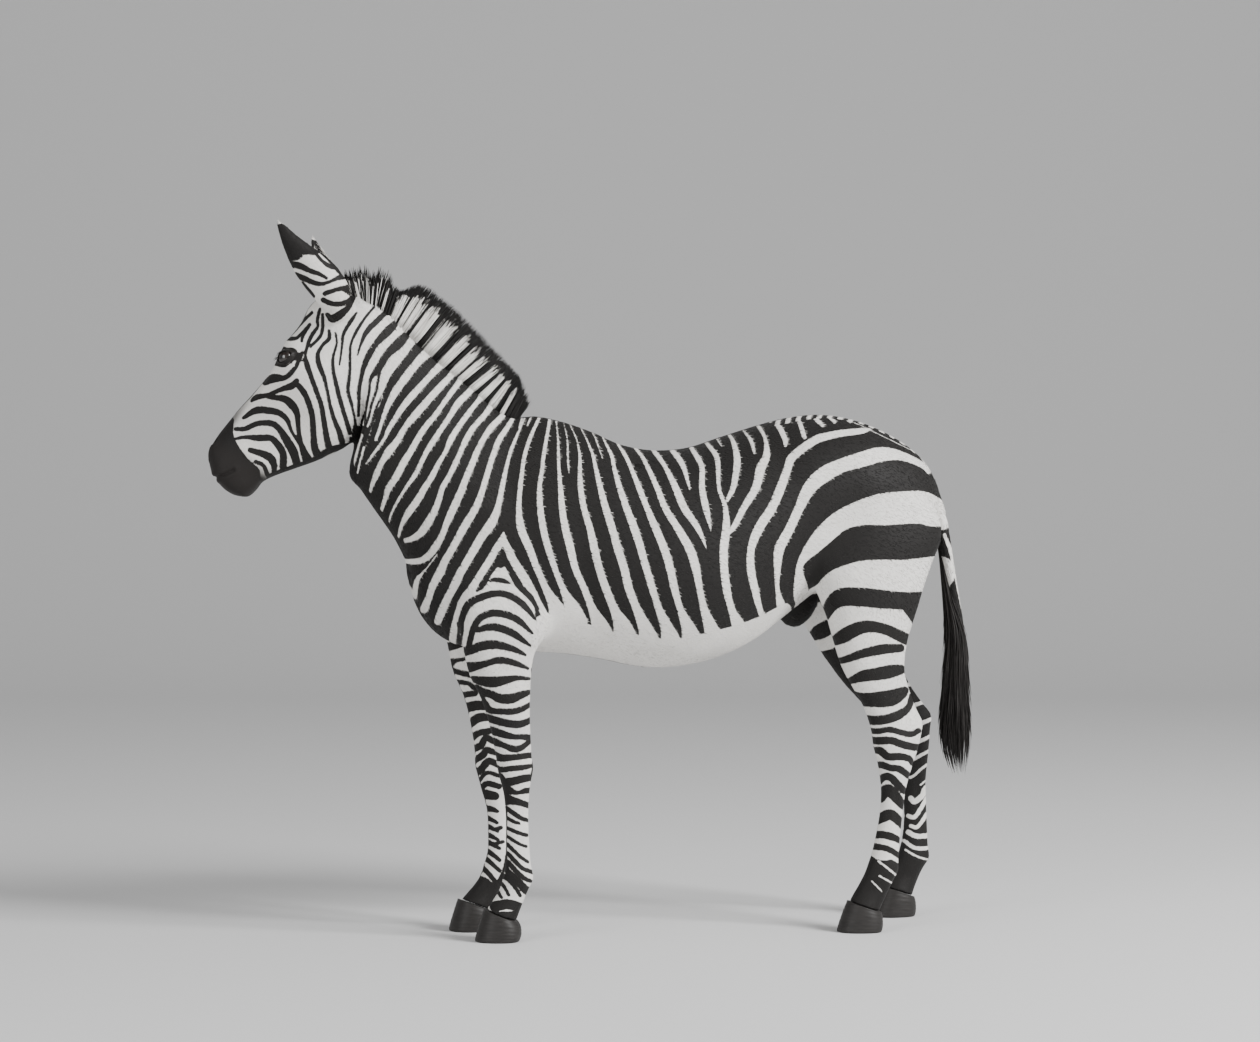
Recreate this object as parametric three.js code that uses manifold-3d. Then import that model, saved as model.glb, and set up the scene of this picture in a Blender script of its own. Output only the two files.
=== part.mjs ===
// A standing mountain zebra, life size, modelled whole and parted with thin cuts.
// Millimetres, +Z up. The animal faces -X, its left side is -Y, and the four
// hooves stand on z = 0. The tables of ribs are written in centimetres.
import * as THREE from 'three';
import { mergeVertices } from 'three/addons/utils/BufferGeometryUtils.js';
import Module from 'manifold-3d';

const wasm = await Module();
wasm.setup();

// ---------------------------------------------------------------- driving sizes
const CM = 10;                    // one centimetre of the rib tables, in mm
const GAP = 0.3;                  // clear gap between neighbouring solids
const CENTRE_X = -6.4;            // mm, brings the middle of the length to x = 0
const HEAD_PIVOT_X = -58;         // cm, the joint of the head and the neck
const HEAD_TURN_DEG = -20;        // the head turns to the animal's right
const HEAD_REACH = 0.988;         // length of the head along its own X
const EYE_RADIUS = 21;            // mm, the whole eyeball
const EYE = { x: -76.3, y: 8.75, z: 141.6 };           // cm, in the head's own frame
const STANCE = { foreLeft: -11, foreRight: 9.5, hindLeft: -13, hindRight: 13.5 };  // cm
const EAR_LENGTH = 25.6;          // cm, root to tip
const SIDES = { trunk: 28, neck: 20, head: 20, leg: 14, hoof: 14, ear: 10, mane: 6, tail: 10 };

// Axis of the head from the poll to the lips, and the way its forehead faces.
const HEAD_FRAME = { x: -62, z: 150, along: [-0.56, -0.83], front: [-0.83, 0.56] };

// ---------------------------------------------------------------- ribs
// A rib is one cross-section between two points of the side outline:
// [x, z of the upper or front point, x, z of the lower or rear point,
//  half width, y of its middle, level of the widest place (0 rear .. 1 front),
//  fullness of the front half, fullness of the rear half, turn about Z].
const body = (fx, fz, rx, rz, w, level = 0.5, ef = 2, er = 2) =>
  [fx, fz, rx, rz, w, 0, level, ef, er, 0];
const limb = (fx, fz, rx, rz, w, y, turn = 0, level = 0.5, ef = 2, er = 2) =>
  [fx, fz, rx, rz, w, y, level, ef, er, turn];
const face = (s, front, rear, w, level, ef, er) => {
  const { x, z, along, front: n } = HEAD_FRAME;
  const at = (t) => [x + along[0] * s + n[0] * t, z + along[1] * s + n[1] * t];
  return [...at(front), ...at(rear), w, 0, level, ef, er, 0];
};

const TRUNK = [
  body(-48.4, 92.5, -47.2, 85.5, 4.0, 0.5, 2.2, 2.2),
  body(-46.6, 98.5, -45.4, 79.8, 8.2, 0.5, 2.2, 2.2),
  body(-42.0, 107, -41.6, 74.6, 11.6, 0.45, 2.1, 2.3),
  body(-35.0, 117, -36.0, 71.2, 14.6, 0.42, 1.8, 2.4),
  body(-26.0, 125.5, -28.0, 69.8, 16.8, 0.42, 1.6, 2.4),
  body(-18.0, 128.4, -20.0, 69.4, 18.4, 0.42, 1.5, 2.3),
  body(-10.0, 127, -10.0, 68.8, 20.0, 0.42, 1.6, 2.2),
  body(-2.5, 124.4, -0.5, 67.4, 21.6, 0.43, 1.75, 2.1),
  body(5.0, 121.2, 7.5, 65.7, 22.8, 0.45, 1.9, 2.1),
  body(13.0, 119.8, 15.0, 65.0, 23.8, 0.46, 2.0, 2.1),
  body(22.0, 120.4, 23.5, 65.9, 24.0, 0.47, 2.0, 2.1),
  body(31.0, 123.2, 31.5, 68.2, 23.2, 0.5, 1.95, 2.1),
  body(40.0, 126, 39.5, 72.2, 21.8, 0.54, 1.95, 2.1),
  body(48.0, 128, 47.5, 78.2, 20.6, 0.58, 2.0, 2.1),
  body(56.0, 128.8, 55.0, 83.6, 20.4, 0.58, 2.05, 2.1),
  body(64.0, 127.7, 62.5, 86.2, 20.2, 0.58, 2.05, 2.2),
  body(71.5, 125.1, 69.8, 88.0, 18.6, 0.56, 2.0, 2.2),
  body(78.5, 121.2, 76.5, 91.0, 15.8, 0.55, 2.0, 2.2),
  body(83.6, 116.6, 81.5, 94.6, 11.8, 0.52, 2.0, 2.2),
  body(87.2, 110.4, 84.9, 99.2, 5.4, 0.5, 2.0, 2.0),
];

const NECK = [
  body(-63.0, 157.0, -57.0, 124.0, 5.6, 0.5, 1.9, 2.2),
  body(-57.5, 156.2, -60.5, 119.6, 6.6, 0.5, 1.8, 2.2),
  body(-52.0, 153.6, -62.5, 113.0, 7.0, 0.48, 1.7, 2.1),
  body(-46.0, 147.4, -59.8, 109.2, 7.9, 0.46, 1.6, 2.1),
  body(-39.5, 141.6, -56.6, 104.6, 9.2, 0.44, 1.6, 2.1),
  body(-32.0, 135.6, -52.0, 98.0, 11.0, 0.42, 1.6, 2.1),
  body(-25.0, 129.6, -48.8, 92.0, 13.2, 0.4, 1.6, 2.1),
  body(-16.0, 125.0, -44.5, 84.0, 15.2, 0.4, 1.6, 2.1),
  body(-6.0, 119.0, -36.0, 79.0, 16.0, 0.4, 1.6, 2.1),
];

const HEAD = [
  face(-6.6, 3.4, -5.0, 5.0, 0.6, 2.0, 2.0),
  face(-3.0, 9.2, -8.0, 6.8, 0.6, 2.0, 2.0),
  face(1.5, 11.4, -11.5, 8.0, 0.62, 2.1, 2.0),
  face(7.0, 11.0, -15.2, 8.8, 0.66, 2.3, 2.0),
  face(11.5, 11.0, -16.6, 9.8, 0.72, 2.7, 1.9),
  face(15.5, 10.8, -17.2, 10.5, 0.74, 2.9, 1.8),
  face(19.5, 10.5, -17.3, 9.9, 0.72, 2.5, 1.9),
  face(24.0, 11.0, -16.6, 8.4, 0.66, 2.1, 2.1),
  face(28.5, 11.7, -14.2, 7.2, 0.6, 2.0, 2.3),
  face(33.0, 12.5, -11.3, 6.1, 0.56, 2.1, 2.4),
  face(37.5, 13.0, -7.9, 5.4, 0.52, 2.2, 2.4),
  face(41.5, 13.3, -4.9, 5.4, 0.5, 2.3, 2.4),
  face(44.6, 13.0, -3.1, 5.9, 0.5, 2.3, 2.4),
  face(47.3, 11.9, -2.8, 6.0, 0.5, 2.2, 2.4),
  face(49.7, 9.4, -2.0, 5.1, 0.48, 2.1, 2.3),
  face(51.1, 5.8, 0.6, 2.9, 0.48, 2.0, 2.2),
];

const foreLeg = (y, turn, lean) => {
  const k = Math.sign(y);
  const m = (v) => v * lean;                 // how far this foot is put forward
  return [
    limb(-33, 100, -18, 98, 3.6, 10.4 * k, 0),
    limb(-37.6, 91, -14.0, 89, 5.9, 11.2 * k, 0, 0.5, 2.0, 2.0),
    limb(-38.6, 83, -12.8, 81.5, 6.9, 11.7 * k, 0, 0.52, 2.0, 2.0),
    limb(-37.8, 76.5, -14.6, 75.5, 7.0, 12.0 * k, 0, 0.55, 2.0, 2.0),
    limb(-36.4, 70, -18.4, 70, 6.2, 12.0 * k, 0, 0.58, 2.0, 2.0),
    limb(-34.9 - m(0.3), 65, -19.4 - m(0.2), 65, 5.5, 11.8 * k, 0, 0.58),
    limb(-32.6 - m(0.8), 60, -19.5 - m(0.4), 60, 4.9, y + 0.5 * k, 0, 0.56),
    limb(-30.9 - m(1.1), 55, -19.5 - m(0.6), 55, 4.3, y + 0.3 * k, 0, 0.54),
    limb(-29.5 - m(1.5), 50, -19.3 - m(0.8), 50, 4.0, y, 0, 0.5, 2.2, 2.2),
    limb(-28.5 - m(1.7), 45, -19.1 - m(1.1), 45, 4.2, y, 0, 0.5, 2.5, 2.2),
    limb(-27.6 - m(2.0), 40, -19.1 - m(1.2), 40, 4.1, y, 0, 0.5, 2.4, 2.2),
    limb(-26.6 - m(2.1), 35.5, -19.6 - m(1.2), 35.5, 3.2, y, 0, 0.5, 2.1, 2.1),
    limb(-26.1 - m(1.1), 30, -19.8 - m(0.9), 30, 2.7, y, turn * 0.3),
    limb(-26.1 - m(0.8), 24, -19.6 - m(0.8), 24, 2.6, y, turn * 0.6),
    limb(-26.1 - m(0.9), 19.5, -19.3 - m(0.9), 19.5, 3.0, y, turn * 0.8, 0.5, 2.1, 2.0),
    limb(-26.6 - m(1.3), 15.8, -18.9 - m(1.1), 15.2, 3.5, y, turn, 0.5, 2.1, 2.0),
    limb(-27.6 - m(1.8), 12.6, -20.3 - m(1.8), 11.2, 3.3, y, turn, 0.5, 2.1, 2.0),
    limb(-29.3 - m(2.3), 9.9, -21.8 - m(2.4), 7.6, 3.5, y, turn, 0.5, 2.1, 2.0),
    limb(-30.7 - m(2.7), 7.9, -22.8 - m(3.0), 4.9, 4.2, y, turn, 0.5, 2.1, 2.0),
  ];
};
const foreHoof = (y, turn, lean) => {
  const m = lean * 3.0;
  return [
    limb(-31.1 - m, 7.9, -22.6 - m, 4.7, 4.4, y, turn, 0.5, 2.1, 2.1),
    limb(-31.9 - m, 5.4, -22.0 - m, 3.4, 4.9, y, turn, 0.5, 2.2, 2.3),
    limb(-32.9 - m, 2.2, -21.9 - m, 1.6, 5.2, y, turn, 0.5, 2.2, 2.5),
    limb(-33.3 - m, 0.35, -22.3 - m, 0.3, 5.2, y, turn, 0.5, 2.2, 2.6),
    limb(-33.0 - m, 0, -22.6 - m, 0, 4.9, y, turn, 0.5, 2.2, 2.6),
  ];
};

const HIND_LEFT = [
  limb(56, 115, 77, 113, 5.4, -10.6),
  limb(51.0, 106, 83.5, 105, 8.0, -11.6),
  limb(49.6, 97, 84.7, 98, 8.8, -12.2, 0, 0.55),
  limb(49.8, 90, 82.3, 91.5, 8.8, -12.5, 0, 0.58),
  limb(52.0, 84, 79.7, 84.5, 8.2, -12.9, 0, 0.6),
  limb(54.2, 78.5, 77.7, 78.5, 7.3, -13.2, 0, 0.6),
  limb(56.0, 72, 75.7, 72.5, 6.3, -13.4, 0, 0.6),
  limb(58.2, 65.5, 74.9, 66.5, 5.2, -13.4, 0, 0.6),
  limb(61.2, 60, 75.9, 61, 4.4, -13.3, 0, 0.58),
  limb(63.8, 55.5, 77.6, 56.2, 3.9, -13.2, 0, 0.6, 2.1, 1.9),
  limb(65.6, 50.5, 79.3, 51.6, 4.1, -13.1, 0, 0.62, 2.2, 1.9),
  limb(66.6, 46, 78.9, 46.6, 4.3, -13.0, 0, 0.6, 2.3, 2.0),
  limb(67.7, 40.5, 77.0, 41, 3.9, -13.0, 0, 0.55, 2.2, 2.0),
  limb(68.3, 35, 75.3, 35, 3.1, -13.0),
  limb(68.0, 29.5, 74.6, 29.5, 2.8, -13.0),
  limb(67.1, 24.5, 74.0, 24.5, 2.8, -13.0),
  limb(66.1, 20, 73.5, 19.5, 3.1, -13.0, -4),
  limb(64.9, 16, 73.0, 15, 3.6, -13.0, -6, 0.5, 2.1, 2.0),
  limb(63.2, 12.6, 71.3, 11.0, 3.4, -13.0, -8, 0.5, 2.1, 2.0),
  limb(61.5, 9.8, 69.6, 7.6, 3.4, -13.0, -8, 0.5, 2.1, 2.0),
  limb(60.3, 7.7, 68.4, 5.0, 4.0, -13.0, -8, 0.5, 2.1, 2.0),
];
const HIND_RIGHT = [
  limb(56, 115, 77, 113, 5.4, 10.6),
  limb(51.0, 106, 83.8, 105, 8.0, 11.6),
  limb(49.8, 97, 85.4, 98, 8.8, 12.2, 0, 0.55),
  limb(49.8, 90, 84.2, 91.5, 8.8, 12.5, 0, 0.58),
  limb(51.6, 84, 82.4, 84.5, 8.2, 12.9, 0, 0.6),
  limb(54.2, 78.5, 81.4, 78.5, 7.3, 13.2, 0, 0.6),
  limb(58.0, 72, 81.4, 72.5, 6.3, 13.4, 0, 0.6),
  limb(62.2, 65.5, 82.2, 66.5, 5.2, 13.5, 0, 0.6),
  limb(66.4, 60, 83.9, 61, 4.4, 13.5, 0, 0.58),
  limb(70.6, 55.5, 86.9, 56.4, 3.9, 13.5, 0, 0.6, 2.1, 1.9),
  limb(74.8, 50.5, 90.0, 51.8, 4.1, 13.5, 0, 0.62, 2.2, 1.9),
  limb(77.4, 46, 90.1, 47.0, 4.3, 13.5, 0, 0.6, 2.3, 2.0),
  limb(79.8, 40.5, 89.6, 41, 3.9, 13.5, 0, 0.55, 2.2, 2.0),
  limb(81.6, 35, 89.0, 35, 3.1, 13.5),
  limb(82.4, 29.5, 89.1, 29.5, 2.8, 13.5),
  limb(82.5, 24.5, 89.3, 24.5, 2.8, 13.5),
  limb(82.0, 20, 89.5, 19.5, 3.1, 13.5, 4),
  limb(81.0, 16, 89.6, 15, 3.6, 13.5, 6, 0.5, 2.1, 2.0),
  limb(79.5, 12.6, 87.7, 11.0, 3.4, 13.5, 8, 0.5, 2.1, 2.0),
  limb(78.2, 9.8, 86.2, 7.6, 3.4, 13.5, 8, 0.5, 2.1, 2.0),
  limb(77.2, 7.7, 85.2, 5.0, 4.0, 13.5, 8, 0.5, 2.1, 2.0),
];
const hindHoof = (dx, y, turn) => [
  limb(60.0 + dx, 7.7, 68.6 + dx, 4.8, 4.1, y, turn, 0.5, 2.1, 2.1),
  limb(59.0 + dx, 5.2, 68.9 + dx, 3.4, 4.5, y, turn, 0.5, 2.2, 2.3),
  limb(57.9 + dx, 2.2, 68.9 + dx, 1.6, 4.7, y, turn, 0.5, 2.2, 2.5),
  limb(57.4 + dx, 0.35, 68.6 + dx, 0.3, 4.7, y, turn, 0.5, 2.2, 2.6),
  limb(57.7 + dx, 0, 68.3 + dx, 0, 4.4, y, turn, 0.5, 2.2, 2.6),
];

const DOCK = [
  limb(82.8, 109.5, 86.6, 113.2, 2.8, 0),
  limb(85.4, 104.2, 89.2, 106.6, 2.5, 0),
  limb(86.9, 98.5, 90.6, 99.5, 2.3, 0),
  limb(88.4, 91.4, 91.8, 92, 2.1, 0),
  limb(89.9, 84, 93.0, 84.5, 2.0, 0),
  limb(91.2, 77.6, 94.2, 78, 1.7, 0),
  limb(92.6, 72.0, 95.0, 72.2, 1.2, 0),
];
const BRUSH = [
  limb(87.0, 96.5, 88.4, 96.7, 0.7, 0),
  limb(87.8, 90, 90.2, 90, 1.7, 0),
  limb(88.4, 82, 92.2, 82, 2.6, 0),
  limb(88.6, 73, 95.8, 73, 3.2, 0),
  limb(88.0, 63, 96.5, 63, 3.6, 0),
  limb(87.3, 53, 97.2, 53, 3.4, 0),
  limb(87.3, 47, 97.2, 47, 2.9, 0),
  limb(88.5, 42, 96.4, 42, 2.1, 0),
  limb(91.6, 36.2, 94.8, 36.6, 0.9, 0),
];

const SHEATH = [
  body(45.8, 78.6, 46.2, 77.0, 1.2),
  body(47.6, 81.0, 48.0, 75.4, 2.6),
  body(50.6, 83.5, 50.8, 75.0, 3.0),
  body(53.4, 84.8, 53.6, 77.0, 2.8),
  body(55.6, 85.4, 55.8, 80.4, 2.0),
];

// The upright mane: [tip x, z, root x, z, half thickness] along the crest.
const MANE = [
  [-68.4, 160.8, -65.5, 154.0, 1.3],
  [-64.6, 163.6, -62.0, 154.6, 1.9],
  [-59.6, 165.4, -58.0, 153.6, 2.2],
  [-53.2, 164.6, -53.4, 151.6, 2.3],
  [-47.4, 162.2, -48.6, 147.6, 2.4],
  [-42.0, 159.2, -44.2, 143.4, 2.4],
  [-36.4, 154.8, -39.8, 139.2, 2.4],
  [-30.6, 149.2, -34.6, 134.6, 2.4],
  [-25.2, 143.6, -29.6, 130.6, 2.3],
  [-20.2, 138.0, -25.4, 127.2, 2.1],
  [-17.8, 131.6, -21.8, 125.0, 1.6],
];
const MANE_TUFTS = 15;            // locks that stand up out of the mane's edge
const MANE_TUFT_DEPTH = 1.5;      // cm, how far the edge dips between two locks

// The ear in its own frame: [distance from the root, outer edge, inner edge, half depth]
const EAR = [
  [-3.2, -2.4, 3.4, 2.4],
  [0.0, -2.9, 4.9, 3.1],
  [4.0, -3.2, 6.0, 3.7],
  [8.0, -3.8, 6.0, 3.7],
  [12.0, -4.0, 5.1, 3.2],
  [16.0, -3.6, 3.2, 2.4],
  [20.0, -2.8, 1.6, 1.6],
  [23.2, -1.9, 0.6, 0.9],
  [25.0, -1.2, 0.1, 0.45],
  [EAR_LENGTH, -0.8, -0.2, 0.15],
];
const EAR_WALL = 0.75;            // cm, thickness of the ear's leaf
const EARS = {
  left: { root: [-66.6, -5.2, 153.6], tip: [-81.2, -9.0, 175.5], roll: -22, size: 1 },
  right: { root: [-63.6, 5.4, 152.6], tip: [-69.6, 14.0, 172.8], roll: 30, size: 0.88 },
};

// ---------------------------------------------------------------- geometry helpers
/** Catmull-Rom value between b and c. */
function spline(a, b, c, d, t) {
  return 0.5 * (2 * b + (c - a) * t + (2 * a - 5 * b + 4 * c - d) * t * t
    + (3 * b - a - 3 * c + d) * t * t * t);
}

/** Ribs filled in with a smooth curve through them, steps to each span. */
function resample(ribs, steps) {
  const out = [];
  for (let i = 0; i + 1 < ribs.length; i++) {
    const a = ribs[Math.max(i - 1, 0)];
    const d = ribs[Math.min(i + 2, ribs.length - 1)];
    for (let k = 0; k < steps; k++) {
      out.push(ribs[i].map((v, j) => spline(a[j], v, ribs[i + 1][j], d[j], k / steps)));
    }
  }
  out.push(ribs[ribs.length - 1]);
  return out;
}

/** Points of one rib in mm, `grow` mm larger all round. */
function section(rib, sides, grow) {
  const [fx, fz, rx, rz, w, y, level, ef, er, turn] = rib;
  const front = new THREE.Vector3(fx, 0, fz).multiplyScalar(CM);
  const rear = new THREE.Vector3(rx, 0, rz).multiplyScalar(CM);
  const along = front.clone().sub(rear);
  const push = along.clone().normalize().multiplyScalar(grow);
  front.add(push);
  rear.sub(push);
  along.subVectors(front, rear);
  const middle = front.clone().add(rear).multiplyScalar(0.5);
  const angle = THREE.MathUtils.degToRad(turn);
  const points = [];
  for (let i = 0; i < sides; i++) {
    const a = (2 * Math.PI * i) / sides;
    const c = Math.cos(a);
    const s = Math.sin(a);
    const e = c >= 0 ? ef : er;
    const reach = c >= 0 ? 1 - level : level;
    const f = level + reach * Math.sign(c) * Math.abs(c) ** (2 / e);
    const p = rear.clone().addScaledVector(along, f);
    p.y = (w * CM + grow) * Math.sign(s) * Math.abs(s) ** (2 / e);
    p.sub(middle).applyAxisAngle(new THREE.Vector3(0, 0, 1), angle).add(middle);
    p.y += y * CM;
    points.push(p);
  }
  return points;
}

/** Closed skin over a run of ribs as a BufferGeometry. */
function loft(ribs, sides, steps, grow = 0) {
  const rows = resample(ribs, steps).map((rib) => section(rib, sides, grow));
  if (grow > 0) {
    const nudge = (row, next) => {
      const a = centre(row);
      const dir = a.clone().sub(centre(next)).normalize().multiplyScalar(grow);
      row.forEach((p) => p.add(dir));
    };
    nudge(rows[0], rows[1]);
    nudge(rows[rows.length - 1], rows[rows.length - 2]);
  }
  return skinRows(rows);
}

function centre(row) {
  return row.reduce((t, p) => t.add(p), new THREE.Vector3()).divideScalar(row.length);
}

/** Rows of points joined by quads, with a fan over each end. */
function skinRows(rows) {
  const n = rows[0].length;
  const positions = rows.flat().flatMap((p) => [p.x, p.y, p.z]);
  const index = [];
  for (let r = 0; r + 1 < rows.length; r++) {
    for (let i = 0; i < n; i++) {
      const j = (i + 1) % n;
      const a = r * n + i, b = r * n + j, c = (r + 1) * n + i, d = (r + 1) * n + j;
      index.push(a, b, d, a, d, c);
    }
  }
  const first = positions.length / 3;
  for (const row of [rows[0], rows[rows.length - 1]]) {
    const m = centre(row);
    positions.push(m.x, m.y, m.z);
  }
  const last = (rows.length - 1) * n;
  for (let i = 0; i < n; i++) {
    const j = (i + 1) % n;
    index.push(first, j, i, first + 1, last + i, last + j);
  }
  const geometry = new THREE.BufferGeometry();
  geometry.setAttribute('position', new THREE.Float32BufferAttribute(positions, 3));
  geometry.setIndex(index);
  if (volume(geometry) < 0) {
    for (let i = 0; i < index.length; i += 3) {
      [index[i + 1], index[i + 2]] = [index[i + 2], index[i + 1]];
    }
    geometry.setIndex(index);
  }
  return geometry;
}

function volume(geometry) {
  const p = geometry.attributes.position;
  const ids = geometry.index.array;
  const a = new THREE.Vector3(), b = new THREE.Vector3(), c = new THREE.Vector3();
  let total = 0;
  for (let i = 0; i < ids.length; i += 3) {
    a.fromBufferAttribute(p, ids[i]);
    b.fromBufferAttribute(p, ids[i + 1]);
    c.fromBufferAttribute(p, ids[i + 2]);
    total += a.dot(b.cross(c)) / 6;
  }
  return total;
}

/** A three.js geometry as a solid that can be joined and cut. */
function solid(geometry) {
  const g = geometry.clone();
  g.deleteAttribute('normal');
  g.deleteAttribute('uv');
  const merged = mergeVertices(g, 1e-4);
  const mesh = new wasm.Mesh({
    numProp: 3,
    vertProperties: Float32Array.from(merged.attributes.position.array),
    triVerts: Uint32Array.from(merged.index.array),
  });
  return new wasm.Manifold(mesh);
}

/** The joined or cut solid as a three.js geometry. */
function geometryOf(manifold) {
  const mesh = manifold.getMesh();
  const geometry = new THREE.BufferGeometry();
  const points = new Float32Array(mesh.numVert * 3);
  for (let i = 0; i < mesh.numVert; i++) {
    for (let k = 0; k < 3; k++) points[i * 3 + k] = mesh.vertProperties[i * mesh.numProp + k];
  }
  geometry.setAttribute('position', new THREE.BufferAttribute(points, 3));
  geometry.setIndex(Array.from(mesh.triVerts));
  return geometry;
}

/** The whole space on one side of a line seen from the side, in cm. */
function halfSpace(x1, z1, x2, z2) {
  const size = 4000;
  const box = new THREE.BoxGeometry(size, size, size);
  const a = new THREE.Vector3(x1, 0, z1).multiplyScalar(CM);
  const b = new THREE.Vector3(x2, 0, z2).multiplyScalar(CM);
  const dir = b.clone().sub(a).normalize();
  const normal = new THREE.Vector3(-dir.z, 0, dir.x);
  const basis = new THREE.Matrix4().makeBasis(dir, new THREE.Vector3(0, 1, 0).negate(), normal);
  if (basis.determinant() < 0) basis.makeBasis(dir, new THREE.Vector3(0, 1, 0), normal);
  const middle = a.add(b).multiplyScalar(0.5).addScaledVector(normal, size / 2 + GAP / 2);
  box.applyMatrix4(basis.setPosition(middle));
  return solid(box);
}

/** A block between opposite corners given in cm. */
function block(x1, x2, y1, y2, z1, z2) {
  const box = new THREE.BoxGeometry((x2 - x1) * CM, (y2 - y1) * CM, (z2 - z1) * CM);
  box.translate((x1 + x2) * CM / 2, (y1 + y2) * CM / 2, (z1 + z2) * CM / 2);
  return solid(box);
}

/** Turns the head's own frame into the standing animal's. */
function turnHead(geometry) {
  geometry.translate(-HEAD_PIVOT_X * CM, 0, 0);
  geometry.scale(HEAD_REACH, 1, 1);
  geometry.rotateZ(THREE.MathUtils.degToRad(HEAD_TURN_DEG));
  geometry.translate(HEAD_PIVOT_X * CM, 0, 0);
  return geometry;
}

// ---------------------------------------------------------------- the flesh
const LEG_RIBS = {
  fore_leg_left: foreLeg(STANCE.foreLeft, -14, 0),
  fore_leg_right: foreLeg(STANCE.foreRight, 6, 1),
  hind_leg_left: HIND_LEFT,
  hind_leg_right: HIND_RIGHT,
};

/** Trunk, neck, head and legs as one body, `grow` mm larger all round. */
function wholeBody(grow) {
  let whole = solid(loft(TRUNK, SIDES.trunk, 1, grow));
  whole = whole.add(solid(loft(NECK, SIDES.neck, 1, grow)));
  whole = whole.add(solid(turnHead(loft(HEAD, SIDES.head, 2, grow))));
  for (const ribs of Object.values(LEG_RIBS)) {
    whole = whole.add(solid(loft(ribs, SIDES.leg, 1, grow)));
  }
  return whole;
}

/** One eyeball, `grow` mm larger all round. */
function eyeball(side, grow) {
  const ball = new THREE.SphereGeometry(EYE_RADIUS + grow, 14, 8);
  ball.translate(EYE.x * CM, EYE.y * CM * side, EYE.z * CM);
  return turnHead(ball);
}

/** An ear: a leaf rolled about its length and scooped out in front. */
function ear({ root, tip, roll, size }, side, grow) {
  const rib = (edge, depth, shift) => ([s, a, b, d]) =>
    [(a + edge), s, (b - edge), s, d + depth, shift, 0.5, 2, 2, 0];
  const outer = resample(EAR.map(rib(0, 0, 0)), 1).map((r) => section(r, SIDES.ear, grow));
  const hollow = EAR.slice(2, -1).map(rib(EAR_WALL, EAR_WALL + 0.2, 2 * EAR_WALL + 0.2));
  const inner = hollow.map((r) => section(r, SIDES.ear, 0));
  const place = new THREE.Matrix4();
  const a = new THREE.Vector3(...root).multiplyScalar(CM);
  const along = new THREE.Vector3(...tip).multiplyScalar(CM).sub(a).normalize();
  const broad = new THREE.Vector3(1, 0, 0).cross(along).cross(along).negate();
  broad.addScaledVector(along, -broad.dot(along)).normalize();
  broad.applyAxisAngle(along, THREE.MathUtils.degToRad(roll));
  const depth = along.clone().cross(broad).multiplyScalar(1);
  place.makeBasis(broad, depth, along).setPosition(a);
  const mirror = new THREE.Matrix4().makeScale(size, -side * size, size);
  const leaf = skinRows(outer);
  const scoop = skinRows(inner);
  const settle = (g) => {
    g.applyMatrix4(mirror);
    g.applyMatrix4(place);
    if (volume(g) < 0) {
      const ids = Array.from(g.index.array);
      for (let i = 0; i < ids.length; i += 3) [ids[i + 1], ids[i + 2]] = [ids[i + 2], ids[i + 1]];
      g.setIndex(ids);
    }
    return solid(g);
  };
  return settle(leaf).subtract(settle(scoop));
}

/** The upright mane, its edge broken into locks. */
function mane(grow) {
  const rows = resample(MANE, 3);
  const ribs = rows.map(([tx, tz, rx, rz, w], i) => {
    const phase = (i / (rows.length - 1)) * MANE_TUFTS * 2 * Math.PI;
    const dip = MANE_TUFT_DEPTH * (0.5 - 0.5 * Math.cos(phase));
    const length = Math.hypot(tx - rx, tz - rz);
    const k = 1 - dip / length;
    return [rx + (tx - rx) * k, rz + (tz - rz) * k, rx, rz, w, 0, 0.3, 1.7, 2, 0];
  });
  return solid(skinRows(ribs.map((rib) => section(rib, SIDES.mane, grow))));
}

const grown = wholeBody(GAP);
const eyes = { left: eyeball(-1, 0), right: eyeball(1, 0) };
let flesh = wholeBody(0);
for (const side of [-1, 1]) flesh = flesh.subtract(solid(eyeball(side, GAP)));

// cuts between the named parts, each a line seen from the side
const HEAD_CUT = [-61.6, 118, -58.6, 160];       // poll to throat
const NECK_CUT = [-49.2, 90, -20.6, 129.6];      // breast to withers
const FORE_CUT_Z = 69;                           // below the elbow
const HIND_CUT = [50.5, 84.4, 88.5, 99.5];       // flank to buttock

const swap = ([x1, z1, x2, z2]) => [x2, z2, x1, z1];
const head = flesh.intersect(halfSpace(...HEAD_CUT));
const behindHead = flesh.intersect(halfSpace(...swap(HEAD_CUT)));
const neck = behindHead.intersect(halfSpace(...NECK_CUT));
let rest = behindHead.intersect(halfSpace(...swap(NECK_CUT)));
const g = GAP / CM / 2;
const foreZone = block(-60, -13, -60, 60, -1, FORE_CUT_Z);
const hindZone = block(50.2, 120, -60, 60, -1, 120).intersect(halfSpace(...swap(HIND_CUT)));
const nearHalf = block(-60, 120, -60, -g, -1, 120);
const farHalf = block(-60, 120, g, 60, -1, 120);
const foreLegs = rest.intersect(foreZone);
const hindLegs = rest.intersect(hindZone);
rest = rest.subtract(block(-60, -13, -60, 60, -1, FORE_CUT_Z + 2 * g));
rest = rest.subtract(block(50.2 - 2 * g, 120, -60, 60, -1, 120)
  .intersect(halfSpace(...swap([HIND_CUT[0], HIND_CUT[1] + 2 * g, HIND_CUT[2], HIND_CUT[3] + 2 * g]))));
const trunk = rest;

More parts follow.
